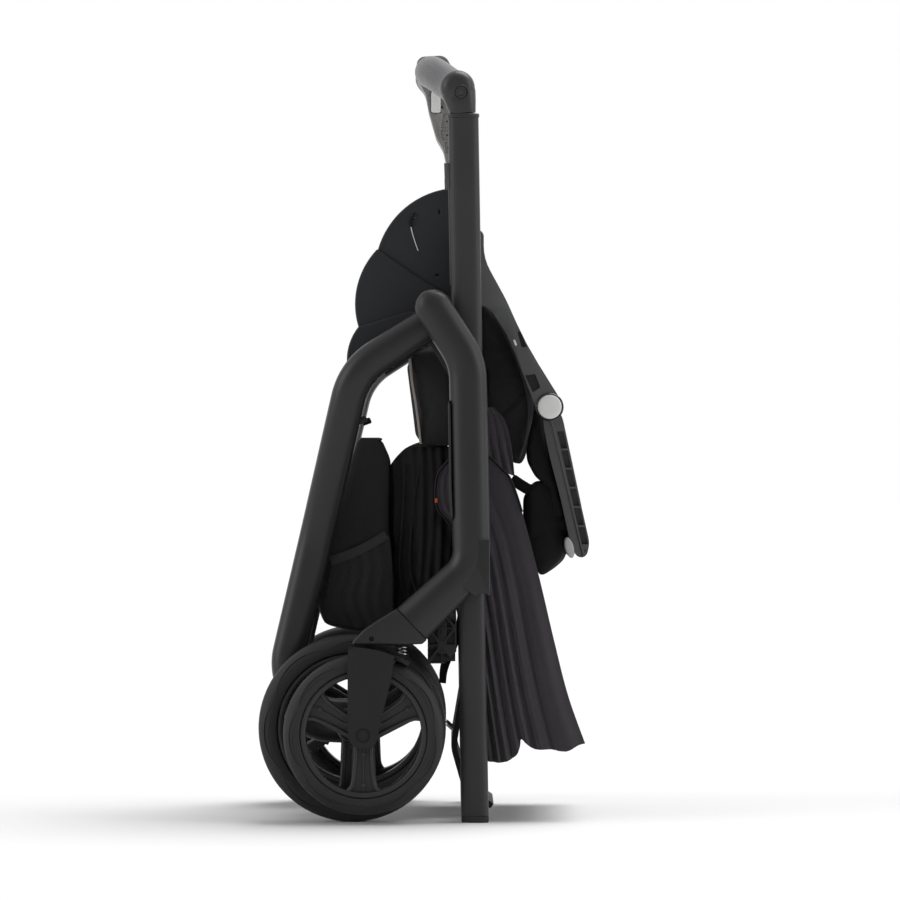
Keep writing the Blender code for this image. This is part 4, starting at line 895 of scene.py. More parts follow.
class Workshop:
    """Turns forms into named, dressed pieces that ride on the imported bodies."""

    pressure = 4.0
    frames = 20

    def __init__(self, frame: dict) -> None:
        """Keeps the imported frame."""
        self.frame = frame

    def add(self, name: str, form: Form, finish: Finish, body: str | None,
            stands_for: Sequence[str] = (), smooth: float = 38.0) -> bpy.types.Object:
        """Makes a piece.

        Args:
            name: its name.
            form: its mesh, which is used up.
            finish: what it is made of.
            body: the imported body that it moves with, or None for a piece that rides on no body.
            stands_for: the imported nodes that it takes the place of.
            smooth: edges that turn by less than this many degrees are shaded smooth.

        Returns:
            The object.
        """
        mesh = bpy.data.meshes.new(name)
        form.bm.to_mesh(mesh)
        form.bm.free()
        mesh.shade_smooth()
        mesh.set_sharp_from_angle(angle=math.radians(smooth))
        mesh.materials.append(finish.material)
        obj = bpy.data.objects.new(name, mesh)
        bpy.context.scene.collection.objects.link(obj)
        if body:
            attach(obj, body)
        if stands_for:
            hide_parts(*stands_for)
        log.info("%s: %d faces, %s", name, len(mesh.polygons), finish.name)
        return obj

    def cut(self, obj: bpy.types.Object, *cutters: Form) -> None:
        """Takes shapes out of a piece.

        Args:
            obj: the piece.
            cutters: the shapes, which are used up.
        """
        for form in cutters:
            tool = self.loose(form)
            form.bm.free()
            modifier = obj.modifiers.new("cut", "BOOLEAN")
            modifier.operation = "DIFFERENCE"
            modifier.object = tool
            self.apply(obj)
            self.discard(tool)

    def thicken(self, obj: bpy.types.Object, wall: float, offset: float = 0.0) -> None:
        """Gives a sheet a wall, half on each side of it, or all inside with an offset of -1.

        Args:
            obj: the piece.
            wall: how thick it becomes.
            offset: 0 for half of it on each side, -1 for all of it inside.
        """
        modifier = obj.modifiers.new("wall", "SOLIDIFY")
        modifier.thickness = wall
        modifier.offset = offset

    def apply(self, obj: bpy.types.Object) -> None:
        """Makes a piece's modifiers part of its mesh.

        Args:
            obj: the piece.
        """
        evaluated = obj.evaluated_get(bpy.context.evaluated_depsgraph_get())
        mesh = bpy.data.meshes.new_from_object(evaluated)
        obj.modifiers.clear()
        old = obj.data
        obj.data = mesh
        mesh.name = obj.name
        bpy.data.meshes.remove(old)

    def loose(self, form: Form) -> bpy.types.Object:
        """A passing object with a form's mesh, on which modifiers are run.

        Args:
            form: the form.

        Returns:
            The object.
        """
        mesh = bpy.data.meshes.new("passing")
        form.bm.to_mesh(mesh)
        obj = bpy.data.objects.new("passing", mesh)
        bpy.context.scene.collection.objects.link(obj)
        return obj

    def discard(self, obj: bpy.types.Object) -> None:
        """Removes a passing object with its mesh.

        Args:
            obj: the object.
        """
        mesh = obj.data
        bpy.data.objects.remove(obj)
        bpy.data.meshes.remove(mesh)

    def taken(self, obj: bpy.types.Object, form: Form) -> Form:
        """Gives a form a passing object's mesh, and removes the object.

        Args:
            obj: the passing object.
            form: the form whose mesh is replaced.

        Returns:
            The form itself.
        """
        form.bm.clear()
        form.bm.from_mesh(obj.data)
        self.discard(obj)
        return form

    def evened(self, form: Form, voxel: float) -> Form:
        """Remakes a form's mesh with small even faces.

        Args:
            form: the form.
            voxel: size of the faces.

        Returns:
            The form itself.
        """
        obj = self.loose(form)
        modifier = obj.modifiers.new("even", "REMESH")
        modifier.mode = "VOXEL"
        modifier.voxel_size = voxel
        self.apply(obj)
        return self.taken(obj, form)

    def puffed(self, form: Form, pressure: float, cap: float) -> Form:
        """Blows a form up as cloth under pressure.

        Args:
            form: the closed form.
            pressure: the pressure inside it.
            cap: the furthest that a point may move.

        Returns:
            The form itself.
        """
        scene = bpy.context.scene
        obj = self.loose(form)
        cloth = obj.modifiers.new("cloth", "CLOTH")
        cloth.settings.use_pressure = True
        cloth.settings.uniform_pressure_force = pressure
        cloth.settings.effector_weights.gravity = 0.0
        cloth.point_cache.frame_end = self.frames
        for number in range(1, self.frames + 1):
            scene.frame_set(number)
        self.apply(obj)
        scene.frame_set(1)
        form.bm.verts.ensure_lookup_table()
        for vert, moved in zip(form.bm.verts, obj.data.vertices):
            move = moved.co - vert.co
            vert.co += move * min(1.0, cap / max(move.length, 1e-9))
        self.discard(obj)
        return form

    def cushion(self, name: str, form: Form, finish: Finish, body: str, stands_for: Sequence[str],
                cap: float = 0.006, voxel: float = 0.005,
                sewn: Callable[[Vector, Vector], float] | None = None) -> bpy.types.Object:
        """Makes a padded piece: evened, blown up as cloth, refined and sewn.

        Args:
            name: its name.
            form: its closed shape, a little small.
            finish: its cloth.
            body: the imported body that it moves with.
            stands_for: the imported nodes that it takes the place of.
            cap: the furthest that a point may swell.
            voxel: size of the even faces.
            sewn: how far seams and folds move a point along its normal.

        Returns:
            The object.
        """
        self.evened(form, voxel).relaxed(1)
        self.puffed(form, self.pressure, cap)
        obj = self.loose(form)
        modifier = obj.modifiers.new("refined", "SUBSURF")
        modifier.levels = modifier.render_levels = 1
        self.apply(obj)
        self.taken(obj, form)
        if sewn:
            form.pushed(sewn)
        piece = self.add(name, form, finish, body, stands_for, smooth=80.0)
        return piece

    def dress(self, finish: Finish, *names: str) -> None:
        """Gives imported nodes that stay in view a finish.

        Args:
            finish: the finish.
            names: the nodes.
        """
        for name in names:
            node = self.frame["nodes"][name]
            node.data.materials.clear()
            node.data.materials.append(finish.material)


@dataclass
class Studio:
    """Camera, lamps, white surroundings and the floor that takes the shadow."""

    distance: float = 7.0
    aim: Pair = (0.0295, 0.4328)
    focal_pixels: float = 5853.0
    picture: int = 900
    sensor: float = 36.0
    ambient: float = 0.43
    dim_share: float = 0.25
    dim_until: float = -0.25
    floor_shade: float = 0.80
    lamps: tuple[tuple[str, float, float, Colour], ...] = (
        ("overhead", 2.60, 46.0, (0.38, 0.34, 1.0)),
        ("left", 0.92, 40.0, (-1.0, -0.42, 0.36)),
        ("right", 0.80, 40.0, (1.0, -0.38, 0.30)),
    )

    def build(self) -> None:
        """Sets up everything that isn't the stroller."""
        scene = bpy.context.scene
        scene.view_settings.view_transform = "Standard"
        lens = bpy.data.cameras.new("camera")
        lens.sensor_width = self.sensor
        lens.lens = self.focal_pixels / self.picture * self.sensor
        lens.clip_end = 100.0
        camera = bpy.data.objects.new("camera", lens)
        camera.location = in_side_view(self.aim, -self.distance)
        camera.rotation_euler = (math.pi / 2, 0.0, 0.0)
        scene.collection.objects.link(camera)
        scene.camera = camera
        for name, strength, spread, towards in self.lamps:
            sun = bpy.data.lights.new(name, "SUN")
            sun.energy = strength
            sun.angle = math.radians(spread)
            lamp = bpy.data.objects.new(name, sun)
            lamp.rotation_euler = Vector(towards).to_track_quat("Z", "Y").to_euler()
            scene.collection.objects.link(lamp)
        self.surroundings()
        self.floor()

    def surroundings(self) -> None:
        """A white world that lights softly and is white where it is seen or mirrored."""
        world = bpy.data.worlds.new("surroundings")
        bpy.context.scene.world = world
        world.use_nodes = True
        nodes, links = world.node_tree.nodes, world.node_tree.links
        rays = nodes.new("ShaderNodeLightPath")
        seen = rays.outputs["Is Camera Ray"]
        for other in ("Is Glossy Ray", "Is Transmission Ray"):
            either = nodes.new("ShaderNodeMath")
            either.operation = "MAXIMUM"
            links.new(seen, either.inputs[0])
            links.new(rays.outputs[other], either.inputs[1])
            seen = either.outputs[0]
        strength = nodes.new("ShaderNodeMapRange")
        strength.inputs["To Min"].default_value = self.ambient
        strength.inputs["To Max"].default_value = 1.0
        links.new(seen, strength.inputs["Value"])
        way = nodes.new("ShaderNodeSeparateXYZ")
        links.new(nodes.new("ShaderNodeTexCoord").outputs["Generated"], way.inputs[0])
        dim = nodes.new("ShaderNodeMapRange")
        dim.interpolation_type = "SMOOTHSTEP"
        for name, value in (("From Min", -1.0), ("From Max", self.dim_until), ("To Min", self.dim_share),
                            ("To Max", 1.0)):
            dim.inputs[name].default_value = value
        links.new(way.outputs["Y"], dim.inputs["Value"])
        pick = nodes.new("ShaderNodeMix")
        links.new(rays.outputs["Is Glossy Ray"], pick.inputs["Factor"])
        pick.inputs["A"].default_value = 1.0
        links.new(dim.outputs[0], pick.inputs["B"])
        both = nodes.new("ShaderNodeMath")
        both.operation = "MULTIPLY"
        links.new(strength.outputs[0], both.inputs[0])
        links.new(pick.outputs["Result"], both.inputs[1])
        links.new(both.outputs[0], nodes["Background"].inputs["Strength"])
        nodes["Background"].inputs["Color"].default_value = (1.0, 1.0, 1.0, 1.0)

    def floor(self) -> None:
        """A pale matt floor that takes the shadow."""
        form = Form()
        bmesh.ops.create_grid(form.bm, x_segments=1, y_segments=1, size=40.0)
        mesh = bpy.data.meshes.new("floor")
        form.bm.to_mesh(mesh)
        form.bm.free()
        floor = bpy.data.objects.new("floor", mesh)
        bpy.context.scene.collection.objects.link(floor)
        shade = Shade("studio_floor")
        matt = shade.node("ShaderNodeBsdfDiffuse", inputs={"Color": (self.floor_shade,) * 3})
        shade.feed(shade.nodes["Material Output"].inputs["Surface"], matt)
        mesh.materials.append(shade.material)


@dataclass
class Chassis:
    """Front legs, outer handle tubes and what sits on them; it stays put."""

    leg_depth: float = 0.0360
    leg_top: Pair = (0.0099, 0.5980)
    leg_bend: Corner = (0.0499, 0.5347, 0.075)
    leg_elbow: Corner = (0.0548, 0.2984, 0.045)
    leg_widths: tuple[float, float, float] = (0.0420, 0.0440, 0.0500)
    swivel: Pair = SWIVEL
    seam_gap: float = SEAM_GAP
    seam_lean: float = SEAM_LEAN
    tube_width: float = 0.0355
    tube_depth: float = 0.0235
    tube_power: float = 2.9
    tube_wall: float = 0.0014
    tube_bottom: float = 0.2750
    tube_top: float = 0.8232
    collar_height: float = 0.0044
    collar_step: float = 0.0009
    rib: tuple[Corner, ...] = ((0.0035, 0.1850, 0.002), (0.0230, 0.1850, 0.002), (0.0370, 0.1990, 0.002),
                               (0.0370, 0.2470, 0.012), (0.0035, 0.2470, 0.006))
    ribs: int = 16
    beam_reach: float = 0.2085

    def leg(self) -> Form:
        """The fat bent tube from the round head at the hub to the slanted seam.

        Returns:
            The form.
        """
        corners = [(*self.leg_top, 0.0), self.leg_bend, self.leg_elbow, (*self.swivel, 0.0)]
        line = [in_side_view(p, LEG_SIDE) for p in filleted(corners, closed=False, step=4.0)]
        path, shares = nosed(line, self.leg_widths[0] / 2)
        path[-1] -= (path[-1] - path[-2]).normalized() * self.seam_gap / 2
        lengths = travelled(path)
        top, middle, seam = self.leg_widths
        sizes = []
        for length, share in zip(lengths, shares):
            t = length / lengths[-1]
            width = top + (middle - top) * min(t / 0.3, 1) + (seam - middle) * max(0, (t - 0.85) / 0.15)
            sizes.append((width * share / middle, 0.35 + 0.65 * share))
        return Form.sweep(path, oval(middle, self.leg_depth), sizes)

    def web(self) -> Form:
        """The web that fills the leg's lower bend and arches over the inner tube.

        Returns:
            The form.
        """
        outline = filleted([
            (0.0757, 0.2626, 0.0015), (0.0754, 0.3300, 0.0), (0.0480, 0.3300, 0.0), (0.0400, 0.2780, 0.0),
            (0.0584, 0.2632, 0.002), (0.0630, 0.2672, 0.004), (0.0705, 0.2672, 0.003),
        ])
        half = self.leg_depth / 2 - 0.0008
        return Form.plate(outline, LEG_SIDE - half, LEG_SIDE + half, 0.0052, 4)

    def flange(self) -> Form:
        """The thin lip along the rear edge of the leg's straight stretch.

        Returns:
            The form.
        """
        path = [Vector((x, LEG_SIDE + 0.004, z)) for x, z in
                ((0.0286, 0.490), (0.0294, 0.440), (0.0301, 0.390), (0.0318, 0.352))]
        line = smoothed(path, 6)
        sizes = [(0.15, 0.6)] + [(1.0, 1.0)] * (len(line) - 2) + [(0.15, 0.6)]
        return Form.sweep(line, pillow(0.0030, 0.0160, 0.0012, 3), sizes)

    def hollow(self, levels: Sequence[float], sizes: Sequence[Pair] | None = None) -> Form:
        """A hollow length of the outer tube's section.

        Args:
            levels: the heights that it passes.
            sizes: shares of the section's width and depth at each of them.

        Returns:
            The form.
        """
        line = [Vector((tube_x(z), TUBE_SIDE, z)) for z in levels]
        form = Form.sweep(line, oval(self.tube_width, self.tube_depth, self.tube_power), sizes, caps=False)
        bmesh.ops.solidify(form.bm, geom=list(form.bm.faces), thickness=self.tube_wall)
        return form.closed()

    def outer_tube(self) -> Form:
        """The flat hollow tube that the handle tube slides in."""
        return self.hollow((self.tube_bottom, self.tube_top - self.collar_height))

    def collar(self) -> Form:
        """The thin ring that guides the handle tube at the top of the outer tube.

        Returns:
            The form.
        """
        low = self.tube_top - self.collar_height
        step = 2 * self.collar_step / self.tube_width
        sizes = [(1 + step * s, 1 + 1.5 * step * s) for s in (0.3, 1.0, 1.0, 0.3)]
        return self.hollow((low + 0.0002, low + 0.0009, self.tube_top - 0.0008, self.tube_top), sizes)

    def rail(self) -> Form:
        """The pale-edged rail on the rear face of the outer tube.

        Returns:
            The form.
        """
        face = -self.tube_width / 2
        outline = [(tube_x(0.6245) + face + 0.0010, 0.6245), (tube_x(0.7660) + face + 0.0010, 0.7660),
                   (tube_x(0.7660) + face - 0.0055, 0.7660), (tube_x(0.7385) + face - 0.0050, 0.7385),
                   (tube_x(0.7360) + face - 0.0012, 0.7360), (tube_x(0.6245) + face - 0.0010, 0.6245)]
        return Form.plate(outline, TUBE_SIDE - 0.0045, TUBE_SIDE + 0.0045, 0.0010, 2)

    def beam_ribs(self) -> Form:
        """The crossbeam's ribs and the lattice between them.

        Returns:
            The form.
        """
        rib = filleted(self.rib)
        low, high = -self.beam_reach, self.beam_reach
        pitch = (high - low) / self.ribs
        core = softened([(0.0145, 0.1960), (0.0260, 0.1960), (0.0260, 0.2360), (0.0145, 0.2360)], 0.003)
        beam = Form.plate(core, low, high, 0.0010, 2)
        for k in range(1, self.ribs):
            middle = low + pitch * k
            beam.join(Form.plate(rib, middle - 0.0011, middle + 0.0011, 0.0005, 1))
        for k in range(self.ribs):
            middle = low + pitch * (k + 0.5)
            for lean in (-1, 1):
                ends = [Vector((0.0202, middle - pitch / 2 * lean, 0.1880)),
                        Vector((0.0202, middle + pitch / 2 * lean, 0.2440))]
                beam.join(Form.sweep(ends, pillow(0.0310, 0.0018, 0.0005, 1)))
        return beam

    def beam_end(self) -> Form:
        """The plate that closes the crossbeam at one end."""
        return Form.plate(filleted(self.rib), 0.2010, 0.2095, 0.0006, 2)

    def beam_pockets(self) -> list[Form]:
        """Triangular pockets between the diagonals of the beam's end plate.

        Returns:
            The forms.
        """
        pockets = []
        for row in range(3):
            low = 0.1872 + 0.0198 * row
            for column in range(2):
                left = 0.0048 + 0.0158 * column
                right, top, gap = left + 0.0146, low + 0.0184, 0.0011
                for corners in ([(left, low + gap * 2), (left, top), (right - gap * 2, top)],
                                [(left + gap * 2, low), (right, top - gap * 2), (right, low)]):
                    if (row + column) % 2:
                        corners = [(left + right - x, z) for x, z in corners]
                    if row == 0 and max(x for x, _ in corners) > 0.0330:
                        continue
                    pockets.append(Form.plate(softened(corners, 0.0006), 0.2030, 0.2200))
        return pockets

    def seam_collar(self) -> Form:
        """The dark collar in the seam between the leg and the caster head.

        Returns:
            The form.
        """
        a = math.radians(self.seam_lean)
        way = Vector((-math.cos(a), 0.0, -math.sin(a)))
        at = in_side_view(self.swivel, LEG_SIDE)
        section = oval(self.leg_widths[2] - 0.0016, self.leg_depth - 0.0016)
        return Form.sweep([at - way * 0.0030, at + way * 0.0007], section)

    def build(self, shop: Workshop) -> None:
        """Makes both sides and the beam between them.

        Args:
            shop: the workshop that makes the pieces.
        """
        for side in Side:
            word = side.word
            leg = self.leg().join(self.web(), self.flange())
            shop.add(f"front_leg_tube_{word}", leg.on(side), LEG_COAT, "chassis", [f"front_leg_{word}"])
            shop.add(f"outer_tube_shell_{word}", self.outer_tube().on(side), GRAPHITE, "chassis",
                     [f"outer_tube_{word}"])
            shop.add(f"outer_tube_collar_{word}", self.collar().on(side), GRAPHITE, "chassis")
            shop.add(f"outer_tube_rail_{word}", self.rail().on(side), ARM_SHELL, "chassis")
            shop.add(f"leg_seam_collar_{word}", self.seam_collar().on(side), PIPING_AND_RECESS_SHADE, "chassis")
            plate = shop.add(f"crossbeam_end_{word}", self.beam_end().on(side), PLASTIC, "chassis")
            shop.cut(plate, *[pocket.on(side) for pocket in self.beam_pockets()])
        shop.add("crossbeam_lattice", self.beam_ribs(), PLASTIC, "chassis", ["crossbeam"])
        shop.dress(STEEL, "hub_pin_right", "hub_pin_left")


@dataclass
class Wheel:
    """A foam tyre on a rim with three ribbed spokes."""

    name: str
    centre: Pair
    radius: float
    rim_radius: float
    inner: float
    outer: float
    spoke_root: float = 0.0125
    spoke_tip: float = 0.0152
    hub_radius: float = 0.0175
    swooshes: int = 7
    turns: tuple[float, ...] = (30.0, 150.0, 270.0)

    @property
    def middle(self) -> float:
        """Distance of the wheel's middle plane from the stroller's."""
        return (self.inner + self.outer) / 2

    @property
    def half(self) -> float:
        """Half of the wheel's width."""
        return (self.outer - self.inner) / 2

    def profile(self, points: Sequence[Pair], per_knot: int = 3) -> list[Pair]:
        """A symmetric closed profile from (share of half width, radius) of its outer half.

        Args:
            points: share of half width and radius of each point, from the middle outwards.
            per_knot: points made for each of them.

        Returns:
            (distance across, radius) of the profile's points.
        """
        half = [(self.middle + share * self.half, r) for share, r in points]
        other = [(self.middle - share * self.half, r) for share, r in reversed(points)]
        return [tuple(p) for p in smoothed(half + other, per_knot, closed=True)]

    def tyre(self) -> Form:
        """The tyre, with a groove on each shoulder and a low bead at the rim."""
        r, rim = self.radius, self.rim_radius
        return Form.turned(self.profile([
            (0.10, r), (0.30, r - 0.0002), (0.34, r - 0.0012), (0.38, r - 0.0003), (0.56, r - 0.0012),
            (0.74, r - 0.0034), (0.90, r - 0.0075), (0.985, r - 0.0125), (0.95, rim + 0.0030),
            (0.86, rim + 0.0004), (0.40, rim + 0.0002),
        ]), self.centre, 112)

    def sidewall_lines(self) -> Form:
        """Low curved ribs on the outer sidewall, in overlapping pairs.

        Returns:
            The form.
        """
        lines = Form()
        low, high = self.rim_radius + 0.0048, self.radius - 0.0065
        span = math.tau / self.swooshes
        for k in range(self.swooshes):
            for lag, rise in ((0.0, 1.0), (0.16, 0.55)):
                path = []
                for i in range(17):
                    t = i / 16
                    a = span * (k + 1.18 * t + lag)
                    r = low + (high - low) * rise * math.sin(math.pi * t) ** 0.8
                    depth = self.outer - 0.0004 - 0.0016 * abs((r - low) / (high - low) - 0.45)
                    path.append(Vector((self.centre[0] + r * math.cos(a), depth,
                                        self.centre[1] + r * math.sin(a))))
                lines.join(Form.sweep(path, disc(0.00055, 6)))
        return lines

    def rim(self) -> Form:
        """The rim's channel, hub and spokes.

        Returns:
            The form.
        """
        rim, half = self.rim_radius, self.half
        well = rim - 0.0060
        ring = Form.turned(self.profile([
            (0.0, rim - 0.0004), (0.70, rim - 0.0004), (0.80, rim - 0.0010), (0.84, rim - 0.0028),
            (0.80, well + 0.0002), (0.70, well - 0.0008), (0.56, well - 0.0004), (0.30, well - 0.0002),
        ], 2), self.centre, 112)
        hub = Form.turned([
            (self.middle - half * 0.85, 0.0), (self.middle - half * 0.85, self.hub_radius - 0.002),
            (self.middle - half * 0.80, self.hub_radius), (self.middle + half * 0.70, self.hub_radius),
            (self.middle + half * 0.82, self.hub_radius - 0.0014),
            (self.middle + half * 0.85, self.hub_radius - 0.003),
            (self.middle + half * 0.72, self.hub_radius - 0.0045), (self.middle + half * 0.72, 0.0),
        ], self.centre, 48, ring=False)
        ring.join(hub)
        for turn in self.turns:
            ring.join(*self.spoke(math.radians(turn), well))
        return ring

    def spoke(self, a: float, well: float) -> list[Form]:
        """A spoke: a sunk web between two raised edges, with a rib along it and two pips.

        Args:
            a: the angle that it stands at.
            well: radius of the rim's inner face.

        Returns:
            Its forms.
        """
        centre, half = self.centre, self.half
        turn = Matrix.Translation(in_side_view(centre)) @ Matrix.Rotation(-a, 4, "Y")
        reach = well + 0.0010
        forms = [Form.plate([(0.008, -self.spoke_root), (reach, -self.spoke_tip), (reach, self.spoke_tip),
                             (0.008, self.spoke_root)], self.middle - half * 0.25, self.middle + half * 0.30)]
        for sign in (-1, 1):
            flare = [Vector((0.011, self.middle, sign * (self.spoke_root - 0.0035))),
                     Vector((reach * 0.45, self.middle, sign * (self.spoke_root - 0.0028))),
                     Vector((reach * 0.80, self.middle, sign * (self.spoke_tip - 0.0030))),
                     Vector((reach * 0.94, self.middle, sign * (self.spoke_tip + 0.0010))),
                     Vector((reach + 0.001, self.middle, sign * (self.spoke_tip + 0.0080)))]
            forms.append(Form.sweep(smoothed(flare, 5), pillow(0.0046, half * 1.30, 0.0018, 3)))
        rib = [Vector((0.014, self.middle + half * 0.30, 0.0)),
               Vector((reach, self.middle + half * 0.30, 0.0))]
        forms.append(Form.sweep(rib, pillow(0.0022, half * 0.30, 0.0008, 2)))
        for place in (0.0225, reach - 0.010):
            forms.append(Form.bar((place, 0.0), 0.0026, self.middle + half * 0.25, self.middle + half * 0.52,
                                  16, 0.0006))
        return [form.moved(turn) for form in forms]

    def build(self, shop: Workshop, side: Side) -> None:
        """Makes the wheel's tyre and rim.

        Args:
            shop: the workshop that makes the pieces.
            side: its side of the stroller.
        """
        word = side.word
        body = f"{self.name}_wheel_{word}"
        tyre = self.tyre().join(self.sidewall_lines())
        shop.add(f"{self.name}_tyre_round_{word}", tyre.on(side), TYRE, body, [f"{self.name}_tyre_{word}"],
                 45.0)
        shop.add(f"{self.name}_rim_spoked_{word}", self.rim().on(side), RIM, body,
                 [f"{self.name}_rim_{word}"])


@dataclass
class Caster:
    """The swivelling head under the front leg, its spring and its fork."""

    swivel: Pair = SWIVEL
    lean: float = SEAM_LEAN
    seam_gap: float = SEAM_GAP
    seam_width: float = 0.0500
    depth: float = 0.0360
    axle: Pair = FRONT_AXLE
    pivot: Pair = (-0.0607, 0.2160)
    arm_inner: float = 0.2535
    arm_outer: float = 0.2620
    wheel_radius: float = FRONT_RADIUS
    side_screw: Pair = (-0.0611, 0.2148)
    spring_at: Pair = (-0.0262, 0.1954)
    spring_height: float = 0.0118
    spring_radius: float = 0.0055
    spring_turns: float = 2.5

    def head(self) -> Form:
        """The head's rounded body below the slanted seam.

        Returns:
            The form.
        """
        a = math.radians(self.lean)
        way = Vector((-math.cos(a), -math.sin(a)))
        square = Vector((-way.y, way.x))
        seam = Vector(self.swivel) + way * self.seam_gap
        top = seam - square * self.seam_width / 2
        low = seam + square * self.seam_width / 2
        outline = filleted([
            (top.x, top.y, 0), (-0.0514, 0.2378, 0.08), (-0.0702, 0.2252, 0.035), (-0.0872, 0.2072, 0.003),
            (-0.0300, 0.2077, 0.010), (low.x - 0.0050, low.y - 0.0045, 0.004), (low.x, low.y, 0),
        ])
        half = self.depth / 2
        return Form.plate(outline, LEG_SIDE - half + 0.001, LEG_SIDE + half, 0.0105, 6,
                          [tuple(top), tuple(low)])

    def arm(self) -> Form:
        """The fork's outer arm, with rounded rims."""
        outline = filleted([
            (-0.0885, 0.2055, 0.009), (-0.0690, 0.2045, 0.05), (-0.0480, 0.2005, 0.06),
            (-0.0280, 0.1930, 0.004),
            (-0.0350, 0.1900, 0.012), (-0.0385, 0.1679, 0.05), (-0.0530, 0.1075, 0.05),
            (-0.0560, 0.0890, 0.0142), (-0.0858, 0.0890, 0.0142), (-0.0885, 0.1100, 0.02),
        ])
        return Form.plate(outline, self.arm_inner, self.arm_outer, 0.0034, 5)

    def bridge(self) -> Form:
        """The bridge over the wheel, from the arm to the ear in the head.

        Returns:
            The form.
        """
        under = arc(self.axle, self.wheel_radius + 0.0015, 101, 57, 16)
        outline = [(-0.0868, 0.2060), *under, (-0.0170, 0.1895), (-0.0350, 0.1958), (-0.0520, 0.2015),
                   (-0.0690, 0.2046)]
        x, z = self.pivot
        ear = filleted([(x - 0.0085, z + 0.0085, 0.0083), (x + 0.0085, z + 0.0085, 0.0083),
                        (x + 0.0085, 0.2010, 0), (x - 0.0085, 0.2010, 0)])
        bridge = Form.plate(outline, LEG_SIDE - 0.0120, self.arm_inner + 0.002, 0.0008, 2)
        return bridge.join(Form.plate(ear, LEG_SIDE - 0.0050, LEG_SIDE + 0.0050, 0.0008, 2))

    def spring(self) -> Form:
        """The bright coil between the head and the fork's lip.

        Returns:
            The form.
        """
        per_turn = 20
        steps = round(self.spring_turns * per_turn)
        path = []
        for i in range(steps + 1):
            a = math.tau * i / per_turn
            rise = self.spring_at[1] + 0.001 + (self.spring_height - 0.002) * i / steps
            path.append(Vector((self.spring_at[0] + self.spring_radius * math.cos(a),
                                LEG_SIDE + self.spring_radius * math.sin(a), rise)))
        return Form.sweep(path, disc(0.0010, 8), across=UP)

    def screw(self, at: Pair, radius: float, face: float, sunk: float = 0.0008) -> Form:
        """A socket screw seen in its round recess."""
        return Form.turned([
            (face - 0.0030, 0.0), (face - 0.0030, radius), (face + 0.0003, radius),
            (face + 0.0003, radius * 0.86),
            (face - sunk, radius * 0.80), (face - sunk, radius * 0.34), (face - sunk - 0.0012, radius * 0.30),
            (face - sunk - 0.0012, 0.0),
        ], at, 32, ring=False)

    def build(self, shop: Workshop, side: Side) -> None:
        """Makes one caster.

        Args:
            shop: the workshop that makes the pieces.
            side: its side of the stroller.
        """
        word = side.word
        body, fork = f"caster_{word}", f"fork_{word}"
        head = shop.add(f"caster_housing_{word}", self.head().on(side), LEG_COAT, body,
                        [f"caster_head_{word}"])
        shop.cut(head, Form.bar(self.side_screw, 0.0029, LEG_SIDE + 0.016, LEG_SIDE + 0.030).on(side))
        # The caster screw is coloured near black: painted shade for its recess in the head.
        screw = self.screw(self.side_screw, 0.0028, LEG_SIDE + 0.0168)
        shop.add(f"caster_screw_{word}", screw.on(side), PIPING_AND_RECESS_SHADE, body)
        coil = shop.add(f"caster_spring_{word}", self.spring().on(side), STEEL, body,
                        [f"suspension_spring_{word}"])
        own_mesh(coil)
        shop.add(f"fork_arm_{word}", self.arm().join(self.bridge()).on(side), PLASTIC, fork, [f"fork_{word}"])
        # The axle cap is coloured near black as painted shade in its recess; the pip in its middle stays
        # lighter.
        cap = self.screw((self.axle[0] - 0.0003, self.axle[1]), 0.0082, self.arm_outer + 0.0002)
        shop.add(f"axle_cap_{word}", cap.on(side), PIPING_AND_RECESS_SHADE, fork)
        pip = Form.bar(self.axle, 0.0022, self.arm_outer - 0.0020, self.arm_outer + 0.0007, 20, 0.0004)
        shop.add(f"axle_pip_{word}", pip.on(side), GRAPHITE, fork)
        shop.dress(PLASTIC, f"front_axle_{word}")


